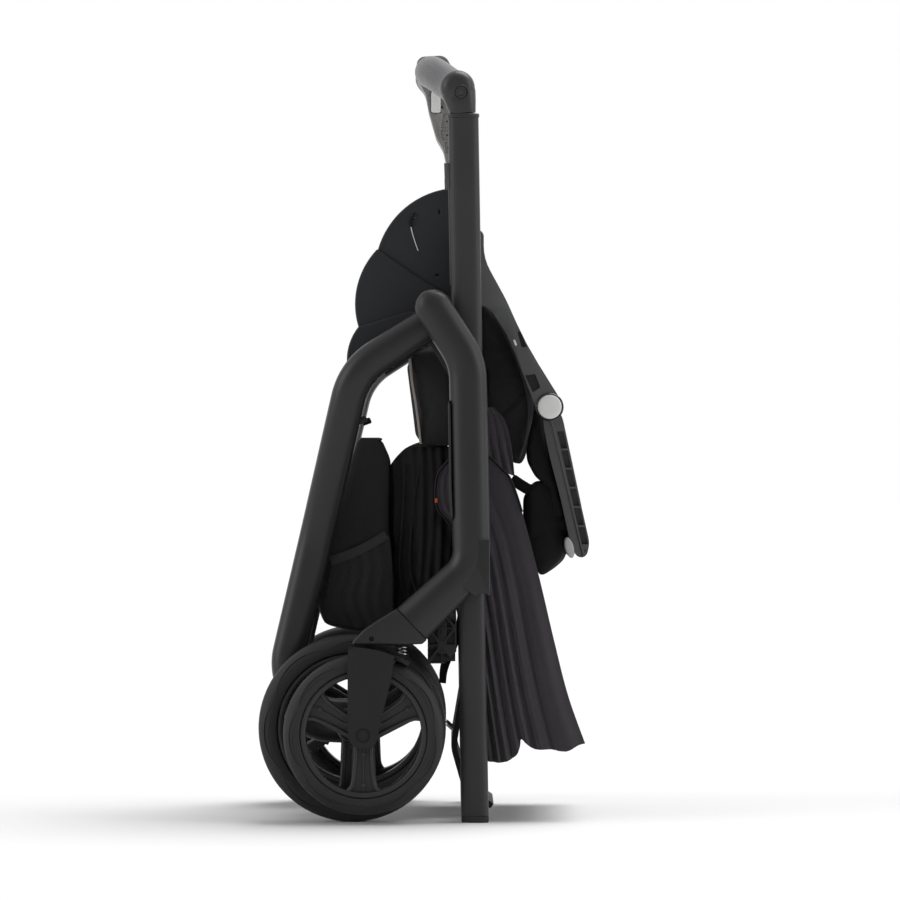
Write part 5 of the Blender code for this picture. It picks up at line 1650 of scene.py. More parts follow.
@dataclass
class RearFrame:
    """Rear legs with pale strips on their low edges painted as highlights, the axle and the brake pedal."""

    axle: Pair = REAR_AXLE
    heel: Corner = (-0.1480, 0.1120, 0.045)
    shin: Corner = (-0.1610, 0.1850, 0.060)
    knee: Corner = (-0.0818, 0.5245, 0.078)
    width: float = 0.0400
    depth: float = 0.0325
    hub_radius: float = 0.0192
    taper: float = 0.0700
    foot_side: float = 0.1420
    hub_side: float = 0.1923
    splay: Pair = (0.3100, 0.5300)
    axle_radius: float = 0.0110
    pedal_side: float = 0.0350
    pedal_length: float = 0.0620
    pedal_angle: float = math.radians(207.0)

    def across(self, z: float) -> float:
        """The leg's distance from the middle plane at a height.

        Args:
            z: the height.

        Returns:
            That distance.
        """
        low, high = self.splay
        rise = clamped((z - low) / (high - low))
        return self.foot_side + (self.hub_side - self.foot_side) * rise * rise * (3 - 2 * rise)

    def line(self) -> list[Vector]:
        """The leg's centre line, from the hub down to the axle."""
        corners = [(*HUB, 0.0), self.knee, self.shin, self.heel, (*self.axle, 0.0)]
        return spaced([in_side_view(p) for p in filleted(corners, closed=False, step=4.0)], 0.012)

    def leg(self) -> Form:
        """The bent leg, splayed outwards to the hub, with round ends.

        Returns:
            The form.
        """
        down, shares = nosed(self.line(), self.hub_radius)
        up, foot_shares = nosed(down[::-1], self.width / 2)
        shares = foot_shares[: len(up) - len(down) + 1] + shares[::-1][1:]
        sizes = []
        for point, share in zip(up, shares):
            point.y = self.across(point.z)
            away = min((Vector((point.x, point.z)) - Vector(HUB)).length / self.taper, 1.0)
            wide = 2 * self.hub_radius + (self.width - 2 * self.hub_radius) * away
            sizes.append((wide / self.width * share, 0.5 + 0.5 * share))
        return Form.sweep(up, oval(self.width, self.depth), sizes)

    def liner(self) -> Form:
        """The glossy strip set into the leg's low edge, under the knee, coloured pale as a painted highlight.

        Returns:
            The form.
        """
        path = []
        line = [p for p in self.line() if 0.3900 < p.z < 0.5400]
        for i, point in enumerate(line):
            along = direction(line, i)
            inwards = Vector((along.z, 0.0, -along.x))
            if inwards.x < 0:
                inwards = -inwards
            sunk = inwards * (self.width / 2 - 0.0036)
            path.append(point + sunk + ACROSS * (self.across(point.z) - 0.0112))
        return Form.sweep(path, pillow(0.0052, 0.0050, 0.0018, 4))

    def clip(self) -> Form:
        """The dark clip that holds the basket's edge to the leg."""
        outline = softened([(-0.0850, 0.4680), (-0.0690, 0.4730), (-0.0660, 0.4660), (-0.0830, 0.4600)],
                           0.002)
        return Form.plate(outline, 0.1740, 0.1840, 0.0012, 2)

    def pedal(self) -> Form:
        """A sleeve on the axle tube with a ribbed foot paddle.

        Returns:
            The form.
        """
        turn = Matrix.Translation(in_side_view(self.axle)) @ Matrix.Rotation(-self.pedal_angle, 4, "Y")
        start, end = self.axle_radius, self.pedal_length
        paddle = filleted([(start, 0.0060, 0.0), (end, 0.0100, 0.003), (end + 0.0040, -0.0020, 0.003),
                           (start, -0.0060, 0.0)])
        reach = self.pedal_side - 0.0020
        form = Form.plate(paddle, -reach, reach, 0.0022, 4)
        for k in range(5):
            along = start + 0.0220 + 0.0075 * k
            form.join(Form.bar((along, 0.0064 + 0.0040 * (along - start) / (end - start)), 0.0016,
                               -reach + 0.0050, reach - 0.0050, 12, 0.0006))
        form.moved(turn)
        bore = self.axle_radius + 0.0004
        sleeve = Form.turned([(-self.pedal_side, bore), (-self.pedal_side, 0.0150),
                              (-self.pedal_side + 0.001, 0.0160),
                              (self.pedal_side - 0.001, 0.0160), (self.pedal_side, 0.0150),
                              (self.pedal_side, bore)],
                             self.axle, 48)
        return form.join(sleeve)

    def build(self, shop: Workshop) -> None:
        """Makes both legs, the axle and the pedal.

        Args:
            shop: the workshop that makes the pieces.
        """
        for side in Side:
            word = side.word
            shop.add(f"rear_leg_tube_{word}", self.leg().on(side), LEG_COAT, "rear_frame",
                     [f"rear_leg_{word}"])
            # The strip's pale colour along the leg's low edge is a painted highlight.
            shop.add(f"rear_leg_liner_{word}", self.liner().on(side), LEG_EDGE_HIGHLIGHT, "rear_frame")
            shop.add(f"basket_clip_{word}", self.clip().on(side), PLASTIC, "rear_frame")
        reach = 0.1662
        tube = Form.bar(self.axle, self.axle_radius, -reach, reach, 40, 0.0012)
        tube.join(Form.bar(self.axle, 0.0060, -0.1990, 0.1990, 24, 0.0010))
        shop.add("rear_axle_tube", tube, DARK_STEEL, "rear_frame", ["rear_axle"])
        shop.add("brake_paddle", self.pedal(), PLASTIC, "brake", ["brake_pedal"])


@dataclass
class PushBar:
    """Handle tubes with their feet, elbows and grips, and the fold unit at mid bar."""

    inner_width: float = 0.0321
    inner_depth: float = 0.0201
    power: float = 2.9
    foot_height: float = 0.0075
    tube_top: float = 0.8236
    head: Pair = (0.0380, 0.8540)
    bolt: Pair = (0.0423, 0.8476)
    face: float = 0.2093
    head_inner: float = 0.1760
    middle: Pair = (0.0069, 0.8810)
    bar_radius: float = 0.0110
    grip_radius: float = 0.0193
    unit_side: float = 0.0440

    def tube(self) -> Form:
        """The handle tube, which slides in the outer tube."""
        line = [Vector((tube_x(z), TUBE_SIDE, z)) for z in (self.foot_height + 0.0003, self.tube_top)]
        return Form.sweep(line, oval(self.inner_width, self.inner_depth, self.power))

    def foot(self) -> Form:
        """The rubber foot, a little narrower where it meets the floor.

        Returns:
            The form.
        """
        levels = ((0.0, 0.955), (0.0012, 0.990), (0.0030, 1.0), (self.foot_height - 0.0008, 1.0),
                  (self.foot_height, 0.97))
        line = [Vector((tube_x(0.0), TUBE_SIDE, z)) for z, _ in levels]
        return Form.sweep(line, oval(self.inner_width, self.inner_depth, self.power),
                          [(share, share) for _, share in levels])

    def elbow(self) -> Form:
        """The elbow: a sleeve that swells into a domed round head.

        Returns:
            The form.
        """
        middle = (self.head_inner + self.face) / 2
        path = [Vector(p) for p in ((0.0446, TUBE_SIDE, 0.8240), (0.0445, TUBE_SIDE, 0.8252),
                                    (0.0425, TUBE_SIDE - 0.0016, 0.8350), (0.0402, middle + 0.0012, 0.8460),
                                    (*self.head[:1], middle, self.head[1]))]
        sizes = [(0.970, 0.970), (1.0, 1.0), (1.145, 1.160), (1.290, 1.330), (1.300, 1.380)]
        sleeve = Form.sweep(path, oval(0.0304, 0.0228, 2.8), sizes, across=ACROSS)
        knuckle = Form.turned([
            (self.head_inner, 0.0), (self.head_inner, 0.0150), (0.1775, 0.0180), (0.1810, 0.0198),
            (0.1870, 0.0205),
            (0.1950, 0.0204), (0.2010, 0.0193), (0.2055, 0.0170), (0.2082, 0.0135), (0.2092, 0.0085),
            (self.face, 0.0)], self.head, 56, ring=False)
        return sleeve.join(knuckle)

    def bolt_ring(self) -> Form:
        """The ring round the bolt and the bolt's dished head."""
        f = self.face
        return Form.turned([
            (f - 0.0080, 0.0), (f - 0.0080, 0.0090), (f + 0.0006, 0.0093), (f + 0.0012, 0.0087),
            (f + 0.0012, 0.0078),
            (f - 0.0006, 0.0073), (f - 0.0006, 0.0070), (f + 0.0008, 0.0066), (f + 0.0008, 0.0044),
            (f - 0.0002, 0.0036), (f - 0.0002, 0.0), ], self.bolt, 40, ring=False)

    def curve(self, start: float, end: float, steps: int) -> list[Vector]:
        """The bar's centre line between two distances from the middle plane.

        Args:
            start: where the stretch starts, across.
            end: where it ends, across.
            steps: points on the bend.

        Returns:
            The stretch's points.
        """
        near, far = in_side_view(self.middle, 0.050), in_side_view(self.head, 0.168)
        line = interpolate_bezier(near, in_side_view(self.middle, 0.105), in_side_view(self.head, 0.140),
                                  far, steps)
        line = [in_side_view(self.middle, 0.0), *line, in_side_view(self.head, 0.1790)]
        return [p for p in line if start < p.y < end]

    def grip(self) -> Form:
        """The padded grip with a rolled rim at both ends and a seam line near the elbow.

        Returns:
            The form.
        """
        line = self.curve(0.0465, 0.1750, 40)
        last = len(line) - 1
        sizes = []
        for k in range(len(line)):
            rim = min(k, last - k)
            share = (0.86, 0.955, 1.0)[min(rim, 2)]
            groove = 0.955 if k == last - 4 else 1.0
            sizes.append((share * groove, share * groove))
        return Form.sweep(line, disc(self.grip_radius, 40), sizes, AHEAD)

    def fold_unit(self) -> Form:
        """The wedge-shaped housing at mid bar."""
        outline = filleted([
            (-0.0105, 0.9000, 0.010), (0.0240, 0.9020, 0.012), (0.0360, 0.8800, 0.010),
            (0.0350, 0.7900, 0.02),
            (0.0310, 0.7740, 0.0025), (0.0250, 0.7740, 0.001), (0.0215, 0.7900, 0.008),
            (0.0130, 0.8050, 0.012),
            (0.0040, 0.8370, 0.02), (0.0005, 0.8560, 0.02), (-0.0095, 0.8730, 0.010),
        ])
        return Form.plate(outline, -self.unit_side, self.unit_side, 0.0030, 4)

    def unit_pockets(self) -> list[Form]:
        """Sunk panels between the ribs on both end faces of the fold unit, and small holes in them.

        Returns:
            The forms.
        """
        cutters = []
        outlines = [
            [(0.0215, 0.8320), (0.0310, 0.8320), (0.0310, 0.8150), (0.0190, 0.8150)],
            [(0.0180, 0.8130), (0.0310, 0.8130), (0.0310, 0.8010), (0.0200, 0.8010)],
            [(0.0225, 0.7985), (0.0312, 0.7985), (0.0312, 0.7850), (0.0250, 0.7850)],
            [(0.0085, 0.8290), (0.0130, 0.8290), (0.0185, 0.8060), (0.0160, 0.8075)],
        ]
        holes = [(0.0200, 0.8400), (0.0262, 0.8235), (0.0262, 0.8070), (0.0275, 0.7920)]
        for face, near, far in ((-self.unit_side, 1.0, 0.965), (self.unit_side, 0.965, 1.05)):
            for corners in outlines:
                cutters.append(Form.plate(softened(corners, 0.0012), face * near, face * far))
            for place in holes:
                cutters.append(Form.bar(place, 0.0013, face * 0.90, face * 1.05, 12))
        return cutters

    def button(self) -> Form:
        """The fold button, a block with rounded corners and rims."""
        outline = rounded_box((0.0128, 0.84625), (0.0056, 0.01275), 0.0026)
        return Form.plate(outline, self.unit_side - 0.0030, self.unit_side + 0.0025, 0.0011, 3)

    def build(self, shop: Workshop) -> None:
        """Makes the whole handle.

        Args:
            shop: the workshop that makes the pieces.
        """
        for side in Side:
            word = side.word
            shop.add(f"handle_tube_{word}", self.tube().on(side), GRAPHITE, "push_bar",
                     [f"inner_tube_{word}"])
            shop.add(f"handle_foot_{word}", self.foot().on(side), RUBBER, "push_bar", [f"foot_cap_{word}"])
            shop.add(f"elbow_housing_{word}", self.elbow().on(side), ELBOW_COAT, "push_bar",
                     [f"elbow_{word}"])
            ring = shop.add(f"elbow_bolt_{word}", self.bolt_ring().on(side), GRAPHITE, "push_bar")
            shop.cut(ring, Form.bar(self.bolt, 0.0034, self.face - 0.0030, self.face + 0.0030, 6).on(side))
            # A near-black hex block at the bottom of the bolt's socket: painted shade in the hole.
            socket = Form.bar(self.bolt, 0.0033, self.face - 0.0060, self.face - 0.0022, 6)
            shop.add(f"elbow_socket_{word}", socket.on(side), PIPING_AND_RECESS_SHADE, "push_bar")
            shop.add(f"grip_wrap_{word}", self.grip().on(side), LEATHER, "push_bar", [f"grip_{word}"])
        half = self.curve(-1.0, 0.1780, 26)
        tube = Form.sweep(mirrored(half) + half[1:], disc(self.bar_radius, 24), across=AHEAD)
        shop.add("handlebar_tube", tube, GRAPHITE, "push_bar", ["handlebar"])
        unit = shop.add("fold_unit_housing", self.fold_unit(), UNIT_SHELL, "push_bar", ["fold_unit"])
        shop.cut(unit, *self.unit_pockets())
        pocket = softened([(0.0068, 0.8330), (0.0188, 0.8330), (0.0188, 0.8595), (0.0068, 0.8595)], 0.0028)
        shop.cut(unit, Form.plate(pocket, -self.unit_side - 0.0100, -self.unit_side + 0.0060))
        shop.add("fold_button_cap", self.button().on(Side.RIGHT), SILVER, "fold_button", ["fold_button"])


@dataclass
class HipShells:
    """The lapped shells beside the child's hips, with what is fixed on them."""

    lobes: tuple = (
        ((0.0412, 0.6403), 0.1002, (100, 166),
         ((0.0000, 0.5660), (0.0360, 0.5060), (0.0560, 0.5060), (0.0560, 0.7380))),
        ((0.0107, 0.6040), 0.0926, (136, 198), ((0.0200, 0.5650), (0.0350, 0.6100), (0.0000, 0.6300))),
        ((-0.0292, 0.5384), 0.0622, (141, 184),
         ((-0.0700, 0.5180), (0.0150, 0.5690), (0.0250, 0.5950), (-0.0200, 0.5950))),
    )
    inner: float = 0.1280
    step: float = 0.0050
    first_face: float = 0.1360
    lap: float = 0.0035
    eyelet: Pair = (-0.0127, 0.7078)

    def lobe(self, index: int) -> Form:
        """One lobe with softly rounded rims.

        Args:
            index: 0 for the top lobe, 1 for the middle one, 2 for the low one.

        Returns:
            The form.
        """
        centre, radius, (start, end), corners = self.lobes[index]
        outline = arc(centre, radius, start, end, 30) + list(corners)
        outer = self.first_face + self.step * index
        inner = self.inner if index == 0 else outer - self.step - self.lap
        return Form.plate(outline, inner, outer, 0.0024, 4)

    def slots(self) -> list[Form]:
        """The slots and the pin hole in the top lobe.

        Returns:
            The forms.
        """
        face = self.first_face
        places = (((0.0166, 0.7125), (0.0009, 0.0030)), ((0.0143, 0.6382), (0.0022, 0.0011)),
                  ((0.0088, 0.6228), (0.0009, 0.0022)))
        return [Form.plate(rounded_box(centre, half, 0.0006), face - 0.0065, face + 0.01)
                for centre, half in places]

    def cord_loop(self) -> Form:
        """The short loop of elastic through the eyelet.

        Returns:
            The form.
        """
        x, z = self.eyelet
        face = self.first_face
        knots = [(x + 0.0004, face - 0.001, z - 0.0006), (x - 0.0026, face + 0.0030, z - 0.0016),
                 (x - 0.0046, face + 0.0024, z - 0.0060), (x - 0.0048, face + 0.0016, z - 0.0110),
                 (x - 0.0034, face + 0.0014, z - 0.0120), (x - 0.0030, face + 0.0020, z - 0.0070),
                 (x - 0.0010, face + 0.0022, z - 0.0030)]
        return Form.sweep(smoothed(knots, 6), disc(0.0009, 8))

    def thread(self) -> Form:
        """The pale thread that hangs from the loop.

        Returns:
            The form.
        """
        x, z = self.eyelet
        knots = [(x - 0.0036, self.first_face + 0.0011, z - 0.0135),
                 (x - 0.0016, self.first_face + 0.0012, z - 0.0220),
                 (x + 0.0018, self.first_face + 0.0009, z - 0.0330),
                 (x + 0.0048, self.first_face + 0.0009, z - 0.0412)]
        return Form.sweep(smoothed(knots, 6), disc(0.00048, 8))

    def eyelet_ring(self) -> Form:
        """The pressed eyelet."""
        f = self.first_face
        return Form.turned([(f - 0.001, 0.0016), (f + 0.0004, 0.0015), (f + 0.0011, 0.0022),
                            (f + 0.0009, 0.0034), (f - 0.0006, 0.0040)], self.eyelet, 28)

    def build(self, shop: Workshop) -> None:
        """Makes both shells; the loop and thread are on the right one only.

        Args:
            shop: the workshop that makes the pieces.
        """
        for side in Side:
            word = side.word
            top = shop.add(f"hip_shell_top_{word}", self.lobe(0).on(side), SHELL, "seat_back",
                           [f"hip_shell_{word}"])
            shop.cut(top, *[slot.on(side) for slot in self.slots()])
            for index, place in ((1, "middle"), (2, "low")):
                shop.add(f"hip_shell_{place}_{word}", self.lobe(index).on(side), SHELL, "seat_back")
            shop.add(f"hip_eyelet_{word}", self.eyelet_ring().on(side), DARK_STEEL, "seat_back")
        shop.add("hip_elastic_loop", self.cord_loop().on(Side.RIGHT), PIPING_AND_RECESS_SHADE, "seat_back")
        shop.add("hip_pale_thread", self.thread().on(Side.RIGHT), THREAD, "seat_back")


@dataclass
class SeatBack:
    """The back's shell with its curled head end, stiffening ribs and canopy pins."""

    x: float = 0.0480
    thickness: float = 0.0070
    line: tuple[Corner, ...] = ((0.0480, 0.5560, 0.0), (0.0480, 0.1700, 0.06), (0.0335, 0.0850, 0.04),
                                (0.0480, 0.0330, 0.03), (0.0790, 0.0130, 0.0))
    top_side: float = 0.1275
    side: float = 0.1400
    head_side: float = 0.1000
    shoulder: float = 0.4700
    neck: float = 0.1600
    head: float = 0.0200
    pivot: Pair = CANOPY_PIVOT

    def half_width(self, z: float) -> float:
        """Half width at a height: narrow at the hips and at the head.

        Args:
            z: the height.

        Returns:
            The half width.
        """
        if z > self.neck:
            rise = clamped((z - self.shoulder + 0.012) / 0.012)
            return self.side + (self.top_side - self.side) * rise
        rise = max(z - self.head, 0.0) / (self.neck - self.head)
        return self.head_side + (self.side - self.head_side) * math.sin(rise * math.pi / 2)

    def shell(self) -> Form:
        """The thin curved shell.

        Returns:
            The form.
        """
        points = spaced([Vector(p) for p in filleted(self.line, closed=False, step=5.0)], 0.009)
        last = len(points) - 1

        def place(u: float, v: float) -> Vector:
            """A point of the shell's middle surface."""
            point = points[round(u * last)]
            return Vector((point.x, (2 * v - 1) * self.half_width(point.y), point.y))

        return Form.sheet(last, 28, place)

    def ribs(self) -> Form:
        """Upright ribs on the shell's rear face.

        Returns:
            The form.
        """
        form = Form()
        rear = self.x - self.thickness / 2
        for y in (-0.0900, -0.0300, 0.0300, 0.0900):
            outline = [(rear + 0.0010, 0.4200), (rear - 0.0032, 0.4080), (rear - 0.0036, 0.2600),
                       (rear - 0.0030, 0.1900), (rear + 0.0010, 0.1780)]
            form.join(Form.plate(outline, y - 0.0025, y + 0.0025, 0.0008, 2))
        return form

    def pins(self) -> Form:
        """The bosses that carry the canopy and their pins.

        Returns:
            The form.
        """
        form = Form()
        for sign in (-1, 1):
            form.join(Form.bar(self.pivot, 0.0120, sign * 0.1350, sign * 0.1720, 36, 0.0010))
            form.join(Form.bar(self.pivot, 0.0055, sign * 0.1600, sign * 0.1821, 24, 0.0006))
        return form

    def lever(self) -> Form:
        """The bent wire handle that reclines the back.

        Returns:
            The form.
        """
        side = 0.0275
        knots = [(0.0335, side, 0.1000), (0.0300, side, 0.1030), (0.0262, side - 0.001, 0.1064),
                 (0.0248, side - 0.006, 0.1076), (0.0246, 0.0, 0.1078)]
        half = smoothed(knots, 6)
        return Form.sweep(half + mirrored(half[:-1]), disc(0.0024, 14), across=UP)

    def build(self, shop: Workshop) -> None:
        """Makes the shell and what is moulded on it.

        Args:
            shop: the workshop that makes the pieces.
        """
        shell = shop.add("back_shell_panel", self.shell(), PLASTIC, "seat_back", ["back_shell"])
        shop.thicken(shell, self.thickness)
        shop.apply(shell)
        shell.data.shade_smooth()
        shell.data.set_sharp_from_angle(angle=math.radians(38))
        shop.add("back_shell_ribs", self.ribs(), PLASTIC, "seat_back")
        shop.add("canopy_pins", self.pins(), PLASTIC, "seat_back")
        shop.add("recline_wire", self.lever(), STEEL, "recline_lever", ["recline_lever"])


@dataclass
class SeatBase:
    """Seat arms with their release caps, the board, and the leg rest."""

    cap: Pair = (0.1458, 0.4831)
    cap_radius: float = 0.0140
    ring_radius: float = 0.0164
    arm_inner: float = 0.1480
    arm_outer: float = 0.1660
    cap_inner: float = 0.1625
    cap_outer: float = 0.1705
    rail_inner: float = 0.1060
    rail_outer: float = 0.1240
    edge_at: Pair = (0.1738, 0.4152)
    edge_lean: float = 0.217
    rungs: int = 7
    top_rung: float = 0.4560
    pitch: float = 0.0225
    trim_at: Pair = (0.1700, 0.3180)
    insets: tuple = (
        ((0.1075, 0.5735), (0.1128, 0.5690), (0.1192, 0.5530), (0.1130, 0.5530)),
        ((0.1170, 0.5200), (0.1290, 0.5215), (0.1350, 0.5060), (0.1262, 0.5000)),
    )

    def edge(self, z: float) -> float:
        """The leg rest's outer edge at a height."""
        return self.edge_at[0] + (self.edge_at[1] - z) * self.edge_lean

    def arm(self) -> Form:
        """The curved arm from the hub to the leg rest's pivot.

        Returns:
            The form.
        """
        eye = [(x, z, 0.0) for x, z in arc(self.cap, self.ring_radius - 0.0008, 25, -155, 16)]
        outline = filleted([
            (-0.0050, 0.5720, 0.012), (-0.0040, 0.5980, 0.012), (0.0180, 0.6010, 0.01),
            (0.0400, 0.6050, 0.012),
            (0.0470, 0.6400, 0.02), (0.0480, 0.6900, 0.008), (0.0690, 0.6900, 0.008), (0.0690, 0.6560, 0.06),
            (0.0950, 0.6085, 0.2), (0.1180, 0.5570, 0.4), *eye, (0.0970, 0.5690, 0.2),
            (0.0620, 0.6170, 0.03), (0.0300, 0.5900, 0.010), (0.0200, 0.5650, 0.010),
        ])
        return Form.plate(outline, self.arm_inner, self.arm_outer, 0.0052, 5)

    def inset(self, corners: Sequence[Pair], near: float, far: float) -> Form:
        """A block with the shape of a sunk panel on the arm, between two distances from its face."""
        return Form.plate(softened(corners, 0.0012), self.arm_outer + near, self.arm_outer + far)

    def ring(self) -> Form:
        """The dark ring round the release cap."""
        f = self.arm_outer
        return Form.turned([
            (self.arm_inner + 0.0002, self.cap_radius + 0.0005),
            (self.arm_inner + 0.0002, self.ring_radius - 0.001),
            (f + 0.0010, self.ring_radius), (f + 0.0020, self.ring_radius - 0.0009),
            (f + 0.0018, self.cap_radius + 0.0005), (f - 0.0060, self.cap_radius + 0.0004),
        ], self.cap, 56)

    def button(self) -> Form:
        """The domed release cap."""
        r, face = self.cap_radius, self.cap_outer
        return Form.turned([
            (self.cap_inner, 0.0), (self.cap_inner, r), (face - 0.0014, r), (face - 0.0005, r - 0.0007),
            (face - 0.0001, r - 0.0020), (face, r * 0.5), (face, 0.0)], self.cap, 64, ring=False)

    def rail(self) -> Form:
        """A side rail of the leg rest, hollowed between rungs on its outer face."""
        outline = filleted([
            (0.1395, 0.4830, 0.008), (0.1395, 0.4600, 0.05), (0.1470, 0.4234, 0.3), (0.1590, 0.3780, 0.3),
            (0.1700, 0.3280, 0.1), (0.1790, 0.3050, 0.008), (0.1900, 0.3080, 0.008), (0.1938, 0.3230, 0.03),
            (0.1850, 0.3620, 0.4), (0.1738, 0.4152, 0.4), (0.1620, 0.4700, 0.05), (0.1530, 0.4900, 0.010),
        ])
        return Form.plate(outline, self.rail_inner, self.rail_outer, 0.0034, 4)

    def rail_pockets(self) -> list[Form]:
        """The pockets between the rungs and the small holes under them.

        Returns:
            The forms.
        """
        cutters = []
        for k in range(self.rungs - 1):
            top = self.top_rung - self.pitch * k - 0.0011
            low = top - self.pitch + 0.0022
            shape = softened([(self.edge(top) - 0.0100, top), (self.edge(top) - 0.0022, top),
                              (self.edge(low) - 0.0022, low), (self.edge(low) - 0.0095, low)], 0.0008)
            cutters.append(Form.plate(shape, self.rail_outer - 0.0095, self.rail_outer + 0.01))
        for x, z in ((0.1809, 0.3480), (0.1850, 0.3353), (0.1893, 0.3235), (0.1885, 0.3145)):
            cutters.append(Form.bar((x, z), 0.0013, self.rail_outer - 0.0040, self.rail_outer + 0.01, 12))
        return cutters

    def panel(self) -> Form:
        """The leg rest's panel with its rungs.

        Returns:
            The form.
        """
        reach = self.rail_inner + 0.0010
        line = [Vector((x, 0.0, z)) for x, z in filleted(
            [(0.1560, 0.4650, 0), (0.1640, 0.4200, 0.2), (0.1760, 0.3600, 0.2), (0.1850, 0.3150, 0)],
            closed=False, step=2.0)]
        form = Form.sweep(line, [(-0.0020, -reach), (0.0020, -reach), (0.0020, reach), (-0.0020, reach)])
        for k in range(self.rungs):
            z = self.top_rung - k * self.pitch
            back, front = self.edge(z) - 0.0085, self.edge(z) - 0.0015
            rung = [(back, z), (front, z + 0.0022), (front, z - 0.0011), (back, z - 0.0022)]
            form.join(Form.plate(rung, -self.rail_inner, self.rail_inner, 0.0005, 1))
        reach = self.arm_inner - 0.0005
        return form.join(Form.bar(self.cap, 0.0090, -reach, reach, 36, 0.0008))

    def trim(self) -> Form:
        """The pale oval bar at the leg rest's tip.

        Returns:
            The form.
        """
        lean = math.radians(-14.0)
        c, s = math.cos(lean), math.sin(lean)
        outline = []
        for k in range(40):
            a = math.tau * k / 40
            u, v = 0.0052 * math.cos(a), 0.0125 * math.sin(a)
            outline.append((self.trim_at[0] + u * c + v * s, self.trim_at[1] - u * s + v * c))
        return Form.plate(outline, -0.1250, 0.1250, 0.0022, 4)

    def board(self) -> Form:
        """The thin board under the seat pad.

        Returns:
            The form.
        """
        line = [Vector((x, 0.0, z)) for x, z in filleted(
            [(0.1005, 0.5740, 0), (0.1130, 0.5450, 0.1), (0.1290, 0.4980, 0)], closed=False, step=2.0)]
        reach = self.arm_inner - 0.0004
        return Form.sweep(line, [(-0.0030, -reach), (0.0030, -reach), (0.0030, reach), (-0.0030, reach)])

    def build(self, shop: Workshop) -> None:
        """Makes the arms, the board and the leg rest.

        Args:
            shop: the workshop that makes the pieces.
        """
        for side in Side:
            word = side.word
            arm = shop.add(f"seat_arm_shell_{word}", self.arm().on(side), ARM_SHELL, "seat_base",
                           [f"seat_arm_{word}"])
            shop.cut(arm, *[self.inset(corners, -0.0040, 0.01).on(side) for corners in self.insets])
            bore = Form.bar(self.cap, self.cap_radius + 0.0002, self.arm_inner + 0.004,
                            self.arm_outer + 0.01, 48)
            shop.cut(arm, bore.on(side))
            dark = Form().join(*[self.inset(corners, -0.0045, -0.0026) for corners in self.insets])
            shop.add(f"seat_arm_insets_{word}", dark.on(side), PLASTIC, "seat_base")
            outline = softened([(0.1031, 0.5612), (0.1052, 0.5622), (0.1078, 0.5560), (0.1062, 0.5530)],
                               0.0012)
            clip = Form.plate(outline, self.arm_outer - 0.0005, self.arm_outer + 0.0006, 0.0003, 1)
            shop.add(f"seat_arm_clip_{word}", clip.on(side), SILVER, "seat_base")
            shop.add(f"seat_arm_ring_{word}", self.ring().on(side), GLOSS, "seat_base")
            shop.add(f"release_cap_{word}", self.button().on(side), SILVER, f"release_button_{word}",
                     [f"release_button_{word}"])
            rail = shop.add(f"leg_rest_rail_{word}", self.rail().on(side), ARM_SHELL, "leg_rest")
            shop.cut(rail, *[pocket.on(side) for pocket in self.rail_pockets()])
        shop.add("leg_rest_panel", self.panel(), PLASTIC, "leg_rest", ["leg_rest"])
        shop.add("leg_rest_trim", self.trim(), TRIM, "leg_rest", ["trim_bar"])
        shop.add("seat_board_panel", self.board(), PLASTIC, "seat_base", ["seat_board"])


